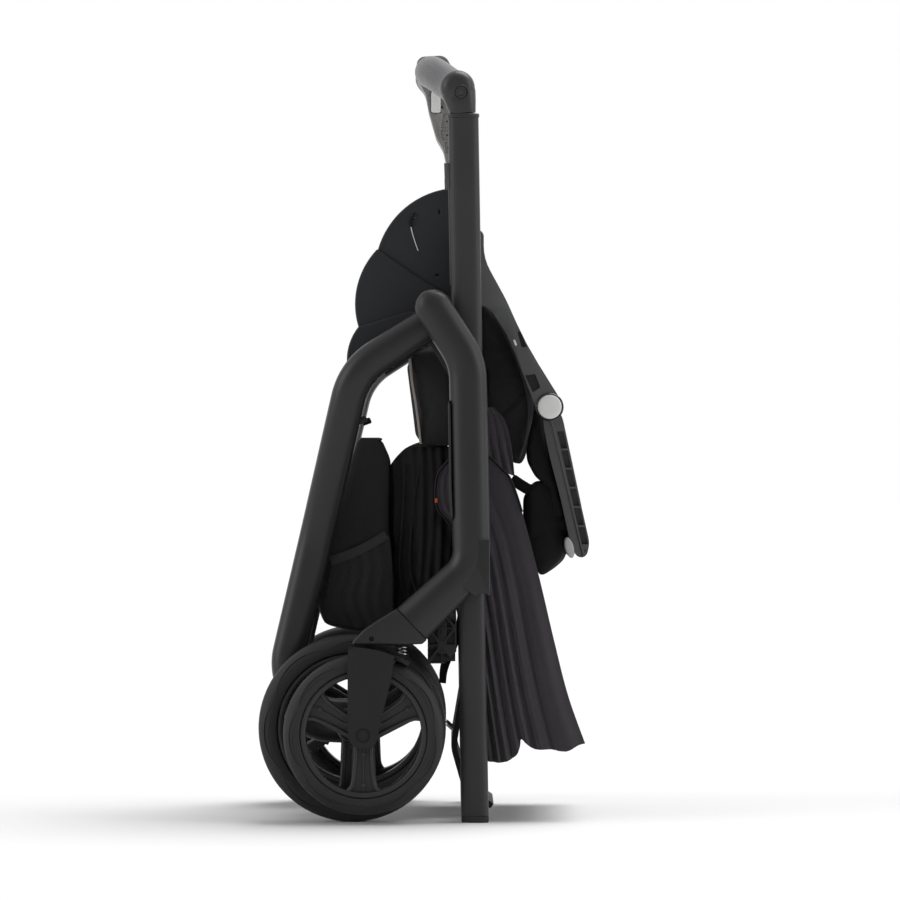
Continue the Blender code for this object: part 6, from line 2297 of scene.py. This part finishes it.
@dataclass
class Canopy:
    """The sun canopy, folded into hanging pleats that gather at its pivot."""

    pivot: Pair = CANOPY_PIVOT
    side: float = 0.1770
    flare: float = 0.0066
    hem_radius: float = 0.3220
    bow_reach: float = 0.3020
    bow_corner: float = 0.0300
    bend: float = 0.0200
    pleats: float = 6.5
    depth: float = 0.0042
    wall: float = 0.0009
    # The cut of the cloth as modelled, from its edges, hem and pleats. A hood that opens all the way
    # takes about 0.40 square metres, so this one is short of cloth.
    cut: Pair = (0.1790, 1.0960)
    cut_area: float = 0.1490
    rows: int = 110
    per_side: int = 44
    per_bend: int = 6
    over_top: int = 30
    rear_edge: tuple[Pair, ...] = ((0.0300, 0.4230), (0.0160, 0.4060), (0.0122, 0.3850), (0.0150, 0.3640),
                                   (0.0272, 0.3480), (0.0400, 0.3200), (0.0510, 0.2500), (0.0610, 0.1700),
                                   (0.0680, 0.1150), (0.0735, 0.0702))
    front_edge: tuple[Pair, ...] = ((0.0740, 0.4270), (0.0878, 0.4130), (0.0971, 0.4036), (0.1030, 0.3920),
                                    (0.1111, 0.3687), (0.1193, 0.3395), (0.1344, 0.2812), (0.1508, 0.2112),
                                    (0.1671, 0.1471), (0.1869, 0.0911))
    hem: tuple[Pair, ...] = ((-85.2, 0.3194), (-82.1, 0.3226), (-79.4, 0.3179), (-78.1, 0.3090),
                             (-77.4, 0.2999),
                             (-76.2, 0.3085), (-74.8, 0.3155), (-72.0, 0.3201), (-69.0, 0.3285),
                             (-66.3, 0.3274), (-64.8, 0.3287))

    def on_edge(self, edge: Sequence[Pair], share: float) -> Vector:
        """A point of one of the two edges, by its share of the way down.

        Args:
            edge: the edge's knots, from the top down.
            share: the share of the way down.

        Returns:
            The point, in the side view.
        """
        points = smoothed(edge, 12)
        lengths = travelled(points)
        goal = share * lengths[-1]
        for k in range(1, len(points)):
            if lengths[k] >= goal:
                part = (goal - lengths[k - 1]) / max(lengths[k] - lengths[k - 1], 1e-9)
                return points[k - 1].lerp(points[k], part)
        return points[-1]

    def hem_point(self, share: float) -> Vector:
        """A point of the wavy hem, from the rear edge to the front one.

        Args:
            share: the share of the way to the front.

        Returns:
            The point, in the side view.
        """
        points = smoothed(self.hem, 12)
        goal = self.hem[0][0] + (self.hem[-1][0] - self.hem[0][0]) * share
        near = min(points, key=lambda p: abs(p.x - goal))
        a = math.radians(goal)
        return Vector((self.pivot[0] + near.y * math.cos(a), self.pivot[1] + near.y * math.sin(a)))

    def stand(self, down: float) -> float:
        """Distance of the unfolded cloth from the middle plane, by its share of the way down."""
        return self.side + self.flare * (1 - min(down * 2.6, 1.0))

    def fold(self, share: float) -> float:
        """The lateral wave of the pleats: close together at the rear, wide at the front.

        Args:
            share: the share of the way to the front.

        Returns:
            The wave's height, about -1 to 1.
        """
        phase = self.pleats * (1 - (1 - share) ** 1.9)
        wave = math.sin(math.tau * phase)
        return wave * (1.15 - 0.15 * wave * wave) + 0.25 * math.sin(math.tau * phase * 2.37 + 1.1)

    def sheet(self) -> Form:
        """The whole canopy as one sheet: right side, over the top, left side.

        Returns:
            The form.
        """
        rear = [self.on_edge(self.rear_edge, k / self.per_side) for k in range(self.per_side + 1)]
        front = [self.on_edge(self.front_edge, k / self.per_side) for k in range(self.per_side + 1)]
        hems = [self.hem_point(k / self.rows) for k in range(self.rows + 1)]
        columns = 2 * (self.per_side + self.per_bend) + self.over_top

        def place(u: float, v: float) -> Vector:
            """A point of the sheet: u from the rear to the front, v from side to side.

            Args:
                u: share of the way in the first direction.
                v: share of the way in the second direction.

            Returns:
                The point.
            """
            row, column = round(u * self.rows), round(v * columns)
            sign = -1
            if column > columns / 2:
                sign, column = 1, columns - column
            hem = hems[row]
            wave = self.fold(u)
            down = min(column, self.per_side) / self.per_side
            flat = rear[round(down * self.per_side)].lerp(front[round(down * self.per_side)], u)
            last = rear[-1].lerp(front[-1], u)
            point = flat + (hem - last) * down ** 6
            out = (hem - Vector(self.pivot)).normalized()
            swell = self.depth * (0.16 + 0.84 * min(down * 1.5, 1.0) ** 1.3)
            across = self.stand(down) + wave * swell * (0.35 if down < 0.3
                                                        else min(1.0, 0.35 + (down - 0.3) * 2.2))
            if column > self.per_side:
                beyond = column - self.per_side
                if beyond <= self.per_bend:
                    a = math.pi / 2 * beyond / self.per_bend
                    across -= self.bend * (1 - math.cos(a))
                    rise = self.bend * math.sin(a) * 0.25
                else:
                    share = (beyond - self.per_bend) / (self.over_top / 2)
                    across = (across - self.bend) * (1 - share)
                    rise = self.bend * 0.25 - 0.006 * share * share
                point = point + out * (rise - self.bend * 0.25 + wave * 0.0016 - 0.0010)
            crumple = noise.noise(Vector((point.x, across, point.y)) * 34.0 + Vector((3.1, 1.7, 5.2)))
            across += crumple * 0.0014 * down
            return Vector((point.x, sign * across, point.y))

        return Form.sheet(self.rows, columns, place)

    def blended(self, obj: bpy.types.Object) -> None:
        """Bakes a piece's placing into its mesh; the piece rides on no body.

        Args:
            obj: the piece.
        """
        at = in_side_view(self.pivot)
        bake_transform(obj)

    def edging(self, edge: Sequence[Pair], until: float) -> Form:
        """The piping along an edge on the right side.

        Args:
            edge: the edge's knots, from the top down.
            until: the share of the way down at which it ends.

        Returns:
            The form.
        """
        steps = 40
        path = []
        for k in range(steps + 1):
            down = until * k / steps
            p = self.on_edge(edge, down)
            path.append(Vector((p.x, self.stand(down) + 0.0012, p.y)))
        return Form.sweep(path, disc(0.0013, 8))

    def bow(self, angle: float, side: float) -> Form:
        """A flat plastic bow inside the canopy, from one side to the other.

        Args:
            angle: its angle in degrees, counter-clockwise from +X.
            side: how far from the middle plane its straight parts stand.

        Returns:
            The form.
        """
        a = math.radians(angle)
        out = Vector((math.cos(a), 0.0, math.sin(a)))
        at = in_side_view(self.pivot)
        far, corner = self.bow_reach, self.bow_corner
        knots = [at + out * 0.012 + ACROSS * side, at + out * (far - corner) + ACROSS * side]
        for k in range(1, 7):
            turn = math.pi / 2 * k / 6
            knots.append(at + out * (far - corner + corner * math.sin(turn))
                         + ACROSS * (side - corner * (1 - math.cos(turn))))
        cross = Vector((-out.z, 0.0, out.x))
        return Form.sweep(knots + mirrored(knots), pillow(0.0016, 0.0060, 0.0007, 2), across=cross)

    def build(self, shop: Workshop) -> None:
        """Makes the fabric, its piping, its bows and the pivot caps.

        Args:
            shop: the workshop that makes the pieces.
        """
        cloth = shop.add("canopy_fabric", self.sheet(), CANOPY_CLOTH, None,
                         ["canopy_rear", "canopy_middle", "canopy_front"], smooth=80.0)
        self.blended(cloth)
        shop.thicken(cloth, self.wall)
        for side in Side:
            for name, edge, until in (("rear", self.rear_edge, 0.30), ("front", self.front_edge, 0.22)):
                piping = self.edging(edge, until).on(side)
                self.blended(shop.add(f"canopy_piping_{name}_{side.word}", piping, PIPING_AND_RECESS_SHADE, None))
            cap = Form.turned([(0.1836, 0.0), (0.1836, 0.0085), (0.1850, 0.0082), (0.1856, 0.0068),
                               (0.1857, 0.0)],
                              self.pivot, 32, ring=False)
            shop.add(f"canopy_pivot_cap_{side.word}", cap.on(side), PLASTIC, "seat_back")
        for which, angle, side, body in (("rear", -84.2, 0.1700, "seat_back"),
                                         ("middle", -75.0, 0.1690, "canopy_middle"),
                                         ("front", -66.0, 0.1680, "canopy_front")):
            shop.add(f"canopy_bow_{which}", self.bow(angle, side), PLASTIC, body)
        outline = softened([(0.0118, 0.3765), (0.0150, 0.3765), (0.0150, 0.3715), (0.0118, 0.3715)], 0.0005)
        tag = Form.plate(outline, 0.1848, 0.1854, 0.0002, 1)
        shop.add("canopy_tag", tag.on(Side.RIGHT), TAG, "seat_back")


@dataclass
class Basket:
    """The folded under-seat basket: a bag with a stiff top, a mesh pocket and a soft flap."""

    side: float = 0.1240
    wall: float = 0.0022
    net_wall: float = 0.0007
    mouth_level: float = 0.4380
    # The pocket's cut: the outline of its four corners and a twentieth more for slack.
    pocket_cut: Pair = (0.0835, 0.1210)
    pocket_area: float = 0.0072

    def bag(self) -> Form:
        """The bag's closed outer shape."""
        outline = filleted([
            (-0.0790, 0.4462, 0.003), (-0.0530, 0.4465, 0.006), (-0.0425, 0.4210, 0.012),
            (-0.0430, 0.3400, 0.010),
            (-0.0400, 0.3150, 0.014), (-0.0360, 0.2140, 0.014), (-0.1160, 0.2260, 0.016),
            (-0.1390, 0.2750, 0.018), (-0.1130, 0.3350, 0.020),
        ])
        return Form.plate(outline, -self.side, self.side, 0.0045, 3)

    def sag(self, place: Vector, normal: Vector) -> float:
        """How far the bag's cloth stands out or in at a place.

        Args:
            place: a point of the surface.
            normal: the surface's normal at the point.

        Returns:
            The distance along the normal.
        """
        below = clamped((0.335 - place.z) / 0.05)
        wrinkle = noise.noise(Vector((place.x * 55.0, place.y * 9.0, place.z * 26.0)))
        drape = math.sin(place.z * 95.0 + place.x * 60.0) * 0.0006
        return wrinkle * (0.0007 + 0.0022 * below) + drape * below

    def pocket(self) -> Form:
        """The mesh pocket on the side, slack and a little proud of the bag.

        Returns:
            The form.
        """
        top = [Vector((-0.0415, 0.3330)), Vector((-0.1090, 0.3020))]
        low = [Vector((-0.0385, 0.2180)), Vector((-0.1180, 0.2300))]

        def place(u: float, v: float) -> Vector:
            """A point of the pocket: u from the front to the rear, v from the top down.

            Args:
                u: share of the way in the first direction.
                v: share of the way in the second direction.

            Returns:
                The point.
            """
            a, b = top[0].lerp(top[1], u), low[0].lerp(low[1], u)
            point = a.lerp(b, v)
            point.x += 0.0030 * math.sin(math.pi * v) * (1 if u < 0.5 else -1) * abs(2 * u - 1)
            proud = 0.0062 * (math.sin(math.pi * u) ** 0.7) * math.sin(math.pi * min(v * 0.9 + 0.08, 1.0))
            fold = 0.0011 * math.sin(u * 31.0 + v * 5.0 + 2.0 * math.sin(v * 7.0)) * math.sin(math.pi * u)
            return Vector((point.x, self.side + 0.0012 + proud + fold, point.y))

        return Form.sheet(60, 60, place)

    def band(self) -> Form:
        """The pocket's bound top edge.

        Returns:
            The form.
        """
        path = []
        for k in range(41):
            u = k / 40
            p = Vector((-0.0450, 0.3330)).lerp(Vector((-0.1110, 0.3025)), u)
            proud = 0.0020 + 0.0030 * math.sin(math.pi * u) ** 0.7
            path.append(Vector((p.x, self.side + proud, p.y - 0.0030 * math.sin(math.pi * u))))
        return Form.sweep(path, pillow(0.0110, 0.0018, 0.0008, 3))

    def flap(self) -> Form:
        """The closed outline of the soft flap, a little small, to be puffed."""
        outline = filleted([
            (-0.0405, 0.4220, 0.003), (-0.0320, 0.4280, 0.004), (-0.0210, 0.4385, 0.004),
            (0.0000, 0.4388, 0.004),
            (0.0370, 0.4388, 0.003), (0.0370, 0.3000, 0.02), (0.0230, 0.2590, 0.006),
            (-0.0020, 0.2560, 0.006),
            (-0.0150, 0.2430, 0.006), (-0.0360, 0.2430, 0.004), (-0.0390, 0.3100, 0.02),
            (-0.0412, 0.3420, 0.02),
        ])
        return Form.plate(outline, -0.1070, 0.1070, 0.0050, 3)

    def flap_folds(self, place: Vector, normal: Vector) -> float:
        """The upright folds on the flap's sides and the gathers across it.

        Args:
            place: a point of the surface.
            normal: the surface's normal at the point.

        Returns:
            The distance along the normal.
        """
        if abs(normal.y) > 0.5:
            bend = 0.0060 * math.sin((place.z - 0.26) * 14.0)
            wave = math.sin((place.x - bend) * 560.0) + 0.5 * math.sin((place.x + bend) * 310.0 + 1.3)
            return 0.0019 * wave - 0.0010
        return 0.0016 * math.sin(place.y * 170.0 + 3.0 * math.sin(place.z * 21.0)) - 0.0008

    def piping(self) -> Form:
        """The flap's piped seams, hanging in two long curves.

        Returns:
            The form.
        """
        form = Form()
        for knots in (((-0.0055, 0.4180), (-0.0130, 0.3700), (-0.0177, 0.3031), (-0.0110, 0.2680),
                       (0.0020, 0.2500)),
                      ((-0.0240, 0.4150), (-0.0260, 0.3600), (-0.0300, 0.3000), (-0.0270, 0.2700))):
            path = [Vector((p.x, 0.1098, p.y)) for p in smoothed(knots, 10)]
            form.join(Form.sweep(path, disc(0.0015, 8)))
        return form

    def rim_tape(self) -> Form:
        """The tape round the basket's mouth.

        Returns:
            The form.
        """
        reach = self.side - 0.0042
        corners = [Vector((x, y, 0.4458)) for x, y in
                   ((-0.0745, -reach), (-0.0745, reach), (-0.0545, reach), (-0.0545, -reach))]
        form = Form()
        for ends in zip(corners, corners[1:] + corners[:1]):
            form.join(Form.sweep(ends, pillow(0.0032, 0.0032, 0.0014, 3), across=UP))
        return form

    def grab_strap(self) -> Form:
        """The webbing handle across the basket's rear.

        Returns:
            The form.
        """
        half = [Vector(p) for p in ((-0.0985, -0.0520, 0.3860), (-0.1010, -0.0440, 0.3830),
                                    (-0.1030, -0.0200, 0.3800))]
        knots = [*half, Vector((-0.1035, 0.0, 0.3795)), *mirrored(half)]
        return Form.sweep(smoothed(knots, 6), pillow(0.0016, 0.0180, 0.0006, 2), across=AHEAD)

    def tab(self) -> Form:
        """The webbing tab that hangs under the flap.

        Returns:
            The form.
        """
        knots = ((0.0180, 0.2850), (0.0400, 0.2480), (0.0405, 0.2200), (0.0240, 0.1780), (0.0205, 0.1580))
        path = [in_side_view(p, 0.1010) for p in knots]
        return Form.sweep(smoothed(path, 6), pillow(0.0085, 0.0014, 0.0005, 2))

    def build(self, shop: Workshop) -> None:
        """Makes the bag, its pocket and its flap.

        Args:
            shop: the workshop that makes the pieces.
        """
        bag = self.bag()
        shop.evened(bag, 0.0042)
        bag.relaxed(3)
        bag.pushed(self.sag)
        mouth = [face for face in bag.bm.faces
                 if face.normal.z > 0.6 and face.calc_center_median().z > self.mouth_level
                 and abs(face.calc_center_median().y) < self.side - 0.004]
        bmesh.ops.delete(bag.bm, geom=mouth, context="FACES")
        shell = shop.add("basket_bag", bag, BASKET_CLOTH, "rear_frame", ["basket"], smooth=70.0)
        shop.thicken(shell, self.wall, -1.0)
        shop.add("basket_rim_tape", self.rim_tape(), BAND_CLOTH, "rear_frame")
        shop.add("basket_grab_strap", self.grab_strap(), WEBBING, "rear_frame")
        for side in Side:
            net = shop.add(f"basket_pocket_{side.word}", self.pocket().on(side), MESH_CLOTH, "rear_frame",
                           smooth=70.0)
            shop.thicken(net, self.net_wall)
            shop.add(f"basket_band_{side.word}", self.band().on(side), BAND_CLOTH, "rear_frame")
            shop.add(f"basket_piping_{side.word}", self.piping().on(side), BASKET_CLOTH, "rear_frame")
            shop.add(f"basket_tab_{side.word}", self.tab().on(side), WEBBING, "rear_frame")
        shop.cushion("basket_flap_folds", self.flap(), BASKET_CLOTH, "rear_frame", ["basket_flap"],
                     cap=0.004, sewn=self.flap_folds)


@dataclass
class Upholstery:
    """Seat and back pads, covers, the pad on the leg rest and the harness."""

    cover_shrink: float = 0.79
    cover_front: float = -0.0034
    gusset_wall: float = 0.0008
    strap_side: float = 0.0380
    # The gusset's cut: its outline and a quarter more for the gathers.
    gusset_cut: Pair = (0.0460, 0.0875)
    gusset_area: float = 0.0024

    def back_pad(self) -> Form:
        """The long pad on the seat back."""
        outline = filleted([(0.0520, 0.5270, 0.006), (0.0660, 0.5180, 0.008), (0.0680, 0.3000, 0.03),
                            (0.0665, 0.2030, 0.012), (0.0520, 0.1880, 0.006)])
        return Form.plate(outline, -0.1215, 0.1215, 0.0045, 3)

    def back_seams(self, place: Vector, normal: Vector) -> float:
        """Two upright channels and three across, on the pad's front.

        Args:
            place: a point of the surface.
            normal: the surface's normal at the point.

        Returns:
            The distance along the normal.
        """
        if normal.x < 0.3:
            return 0.0
        deep = 0.0
        for y in (-0.0700, 0.0700):
            deep += math.exp(-((place.y - y) / 0.0032) ** 2)
        for z in (0.2700, 0.3600, 0.4500):
            deep += math.exp(-((place.z - z) / 0.0032) ** 2) * (1.0 if abs(place.y) < 0.0700 else 0.0)
        return -0.0022 * min(deep, 1.0)

    def seat_pad(self) -> Form:
        """The seat's pad, whose soft front end hangs in a point."""
        outline = filleted([
            (0.0640, 0.6060, 0.004), (0.0720, 0.6050, 0.006), (0.0960, 0.5740, 0.02), (0.1095, 0.5430, 0.04),
            (0.1225, 0.5010, 0.008), (0.1228, 0.4720, 0.02), (0.1150, 0.4160, 0.004), (0.1085, 0.4140, 0.004),
            (0.0960, 0.4280, 0.01), (0.0868, 0.4450, 0.02), (0.0730, 0.4720, 0.01), (0.0725, 0.5290, 0.003),
            (0.0640, 0.5350, 0.003),
        ])
        return Form.plate(outline, -0.1190, 0.1190, 0.0045, 3)

    def seat_seams(self, place: Vector, normal: Vector) -> float:
        """A V of sewn lines on each side and channels along the front.

        Args:
            place: a point of the surface.
            normal: the surface's normal at the point.

        Returns:
            The distance along the normal.
        """
        if abs(normal.y) > 0.5:
            v = abs((place.z - 0.4700) - 0.9 * (place.x - 0.0860))
            w = abs((place.z - 0.4480) + 0.55 * (place.x - 0.1180))
            soft = 0.0009 * math.sin(place.x * 210.0 + place.z * 120.0)
            return soft - 0.0034 * math.exp(-(v / 0.0034) ** 2) - 0.0028 * math.exp(-(w / 0.0034) ** 2)
        channel = min(abs(place.y - y) for y in (-0.0650, 0.0, 0.0650))
        return -0.0018 * math.exp(-(channel / 0.0032) ** 2)

    def back_cover(self) -> Form:
        """The soft cover behind the back, above the basket."""
        outline = filleted([(-0.0185, 0.5480, 0.003), (0.0435, 0.5560, 0.003), (0.0435, 0.4385, 0.003),
                            (-0.0050, 0.4385, 0.003), (-0.0085, 0.4700, 0.05)])
        return Form.plate(outline, -0.1185, 0.1185, 0.0045, 3)

    def hip_cover(self) -> Form:
        """The soft cover between the hip shells, a smaller copy of their outline.

        Returns:
            The form.
        """
        shrink = self.cover_shrink
        outline: list[Pair] = []
        for centre, radius, (start, end), _ in HipShells().lobes:
            outline += [(HUB[0] + (x - HUB[0]) * shrink, HUB[1] + (z - HUB[1]) * shrink)
                        for x, z in arc(centre, radius, start, end, 10)]
        front = self.cover_front
        outline = [p for p in outline if p[0] < front] + [(front, 0.5580), (front, 0.6980)]
        return Form.plate(outline, -0.1240, 0.1240, 0.0040, 3)

    def cover_seams(self, place: Vector, normal: Vector) -> float:
        """Gathers across the cover and two sewn lines along it.

        Args:
            place: a point of the surface.
            normal: the surface's normal at the point.

        Returns:
            The distance along the normal.
        """
        line = min(abs(place.y - y) for y in (-0.0600, 0.0600))
        gather = 0.0010 * math.sin(place.z * 150.0 + 2.0 * math.sin(place.y * 24.0))
        return gather - 0.0022 * math.exp(-(line / 0.0034) ** 2)

    def leg_pad(self) -> Form:
        """The soft pad on the leg rest's near face."""
        outline = filleted([
            (0.1235, 0.3880, 0.010), (0.1340, 0.3975, 0.008), (0.1440, 0.3960, 0.006), (0.1560, 0.3760, 0.01),
            (0.1690, 0.3450, 0.003), (0.1625, 0.3360, 0.003), (0.1625, 0.3120, 0.004),
            (0.1600, 0.3020, 0.006),
            (0.1420, 0.2850, 0.006), (0.1350, 0.2800, 0.004), (0.1290, 0.3050, 0.02), (0.1235, 0.3400, 0.03),
        ])
        return Form.plate(outline, -0.0930, 0.0930, 0.0045, 3)

    def calf_pad(self) -> Form:
        """The soft lining behind the leg rest's rails, from the seat down to the pad."""
        outline = filleted([
            (0.1290, 0.4840, 0.003), (0.1385, 0.4840, 0.003), (0.1385, 0.4600, 0.01), (0.1450, 0.4300, 0.05),
            (0.1560, 0.3860, 0.01), (0.1640, 0.3520, 0.003), (0.1570, 0.3480, 0.003), (0.1490, 0.3900, 0.004),
            (0.1350, 0.4020, 0.004), (0.1255, 0.4200, 0.01), (0.1236, 0.4400, 0.01), (0.1264, 0.4600, 0.01),
            (0.1287, 0.4700, 0.01),
        ])
        return Form.plate(outline, -0.1030, 0.1030, 0.0030, 3)

    def cover_edge(self) -> Form:
        """The bound edge of the back's cover, coloured pale as a painted highlight.

        Returns:
            The form.
        """
        knots = [(-0.0185, 0.5400), (-0.0162, 0.5150), (-0.0124, 0.4920), (-0.0092, 0.4700),
                 (-0.0066, 0.4480), (-0.0058, 0.4400)]
        path = [Vector((p.x + 0.0008, 0.1165, p.y)) for p in smoothed(knots, 8)]
        return Form.sweep(path, pillow(0.0028, 0.0060, 0.0010, 3))

    def pad_edging(self) -> Form:
        """The broad bound edge of the seat pad, from the arm down to its hanging point.

        Returns:
            The form.
        """
        knots = [(0.0705, 0.6110), (0.0790, 0.5990), (0.0900, 0.5830), (0.1000, 0.5640), (0.1095, 0.5430),
                 (0.1185, 0.5180), (0.1240, 0.4930), (0.1245, 0.4700), (0.1195, 0.4460), (0.1120, 0.4230)]
        path = [Vector((p.x - 0.0010, 0.1222, p.y)) for p in smoothed(knots, 8)]
        last = len(path) - 1
        sizes = [(0.45 + 0.55 * math.sin(math.pi * min(k / last * 1.1 + 0.03, 1.0)) ** 0.5, 1.0)
                 for k in range(last + 1)]
        return Form.sweep(path, pillow(0.0074, 0.0050, 0.0022, 4), sizes)

    def gusset(self) -> Form:
        """The gathered side cloth between the canopy and the seat.

        Returns:
            The form.
        """
        def place(u: float, v: float) -> Vector:
            """A point of the gusset: u from the rear to the front edge, v from the top down.

            Args:
                u: share of the way in the first direction.
                v: share of the way in the second direction.

            Returns:
                The point.
            """
            rear = Vector((0.0700, 0.4830)).lerp(Vector((0.0720, 0.4180)), v)
            knots = ((0.0800, 0.4830), (0.0935, 0.4680), (0.1000, 0.4450), (0.1035, 0.4180), (0.1050, 0.4020))
            points = smoothed(knots, 10)
            front = points[round(v * (len(points) - 1))]
            point = rear.lerp(front, u)
            wave = 0.0022 * math.sin(u * 19.0 + 1.5 * math.sin(v * 4.0)) * (0.4 + 0.6 * v)
            return Vector((point.x, 0.1345 + wave, point.y))

        return Form.sheet(48, 40, place)

    def strap(self, knots: Sequence[Sequence[float]], width: float = 0.0250, thick: float = 0.0013,
              across: Vector = ACROSS) -> Form:
        """A flat strap of webbing along a smooth path, with raised edges.

        Args:
            knots: the points that it passes.
            width: its width.
            thick: its thickness.
            across: the direction that its width follows.

        Returns:
            The form.
        """
        path = smoothed(knots, 8)
        half, t = width / 2, thick / 2
        outline = [(-t, -half), (t, -half), (t * 1.5, -half + 0.0012), (t, -half + 0.0028),
                   (t, half - 0.0028), (t * 1.5, half - 0.0012), (t, half), (-t, half)]
        return Form.sweep(path, outline, across=across)

    def buckle(self) -> Form:
        """The harness buckle, a rounded shield with a raised button.

        Returns:
            The form.
        """
        outline = filleted([(-0.0200, 0.0240, 0.010), (0.0200, 0.0240, 0.010), (0.0160, -0.0240, 0.012),
                            (-0.0160, -0.0240, 0.012)])
        body = Form.plate(outline, 0.0, 0.0070, 0.0022, 4)
        knob = Form.bar((0.0, 0.0020), 0.0085, 0.0055, 0.0080, 32, 0.0010)
        turn = Matrix.Translation((0.0655, 0.0, 0.4560)) @ Matrix.Rotation(-math.pi / 2, 4, "Z")
        return body.join(knob).moved(turn)

    def build(self, shop: Workshop) -> None:
        """Makes every pad, then the straps and the buckle.

        Args:
            shop: the workshop that makes the pieces.
        """
        shop.cushion("back_pad_cloth", self.back_pad(), SEAT_CLOTH, "seat_back", ["back_pad"],
                     cap=0.005, sewn=self.back_seams)
        shop.cushion("seat_pad_cloth", self.seat_pad(), SEAT_CLOTH, "seat_base", ["seat_pad"],
                     cap=0.003, voxel=0.004, sewn=self.seat_seams)
        shop.cushion("back_cover_cloth", self.back_cover(), COVER_CLOTH, "seat_back", ["back_cover"],
                     cap=0.005)
        shop.cushion("hip_cover_cloth", self.hip_cover(), SEAT_CLOTH, "seat_back", ["hip_cover"],
                     cap=0.006, sewn=self.cover_seams)
        shop.cushion("leg_rest_pad", self.leg_pad(), SEAT_CLOTH, "leg_rest", (), cap=0.006)
        shop.cushion("calf_pad_cloth", self.calf_pad(), SEAT_CLOTH, "leg_rest", (), cap=0.003,
                     voxel=0.004)
        for side in Side:
            word = side.word
            # The cover edge's pale colour is a painted highlight.
            shop.add(f"back_cover_edge_{word}", self.cover_edge().on(side), COVER_EDGE_HIGHLIGHT, "seat_back")
            shop.add(f"seat_pad_edge_{word}", self.pad_edging().on(side), EDGE_CLOTH, "seat_base")
            cloth = shop.add(f"canopy_gusset_{word}", self.gusset().on(side), CANOPY_CLOTH, "seat_back",
                             smooth=80.0)
            shop.thicken(cloth, self.gusset_wall)
            y = self.strap_side
            webbing = self.strap([(0.0700, y, 0.2350), (0.0713, y, 0.2700), (0.0715, y * 0.8, 0.3600),
                                  (0.0705, y * 0.35, 0.4400)])
            shop.add(f"shoulder_strap_{word}", webbing.on(side), WEBBING, "seat_back")
            tie = self.strap([(0.1045, 0.0860, 0.3990), (0.1150, 0.0860, 0.3920), (0.1240, 0.0850, 0.3870),
                              (0.1345, 0.0840, 0.3850)], 0.0018, 0.0105)
            shop.add(f"leg_rest_strap_{word}", tie.on(side), WEBBING, "leg_rest")
        shop.add("harness_buckle", self.buckle(), GLOSS, "seat_back")


def main() -> None:
    """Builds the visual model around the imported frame."""
    logging.basicConfig(level=logging.INFO, format="%(name)s: %(message)s")
    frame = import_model()
    shop = Workshop(frame)
    Studio().build()
    Chassis().build(shop)
    for side in Side:
        Wheel("rear", REAR_AXLE, REAR_RADIUS, 0.0870, 0.1640, 0.2000).build(shop, side)
        Wheel("front", FRONT_AXLE, FRONT_RADIUS, 0.0735, 0.2190, 0.2510).build(shop, side)
        Caster().build(shop, side)
    for assembly in (RearFrame, PushBar, HipShells, SeatBack, SeatBase, Canopy, Basket, Upholstery):
        assembly().build(shop)


if __name__ == "__main__":
    main()
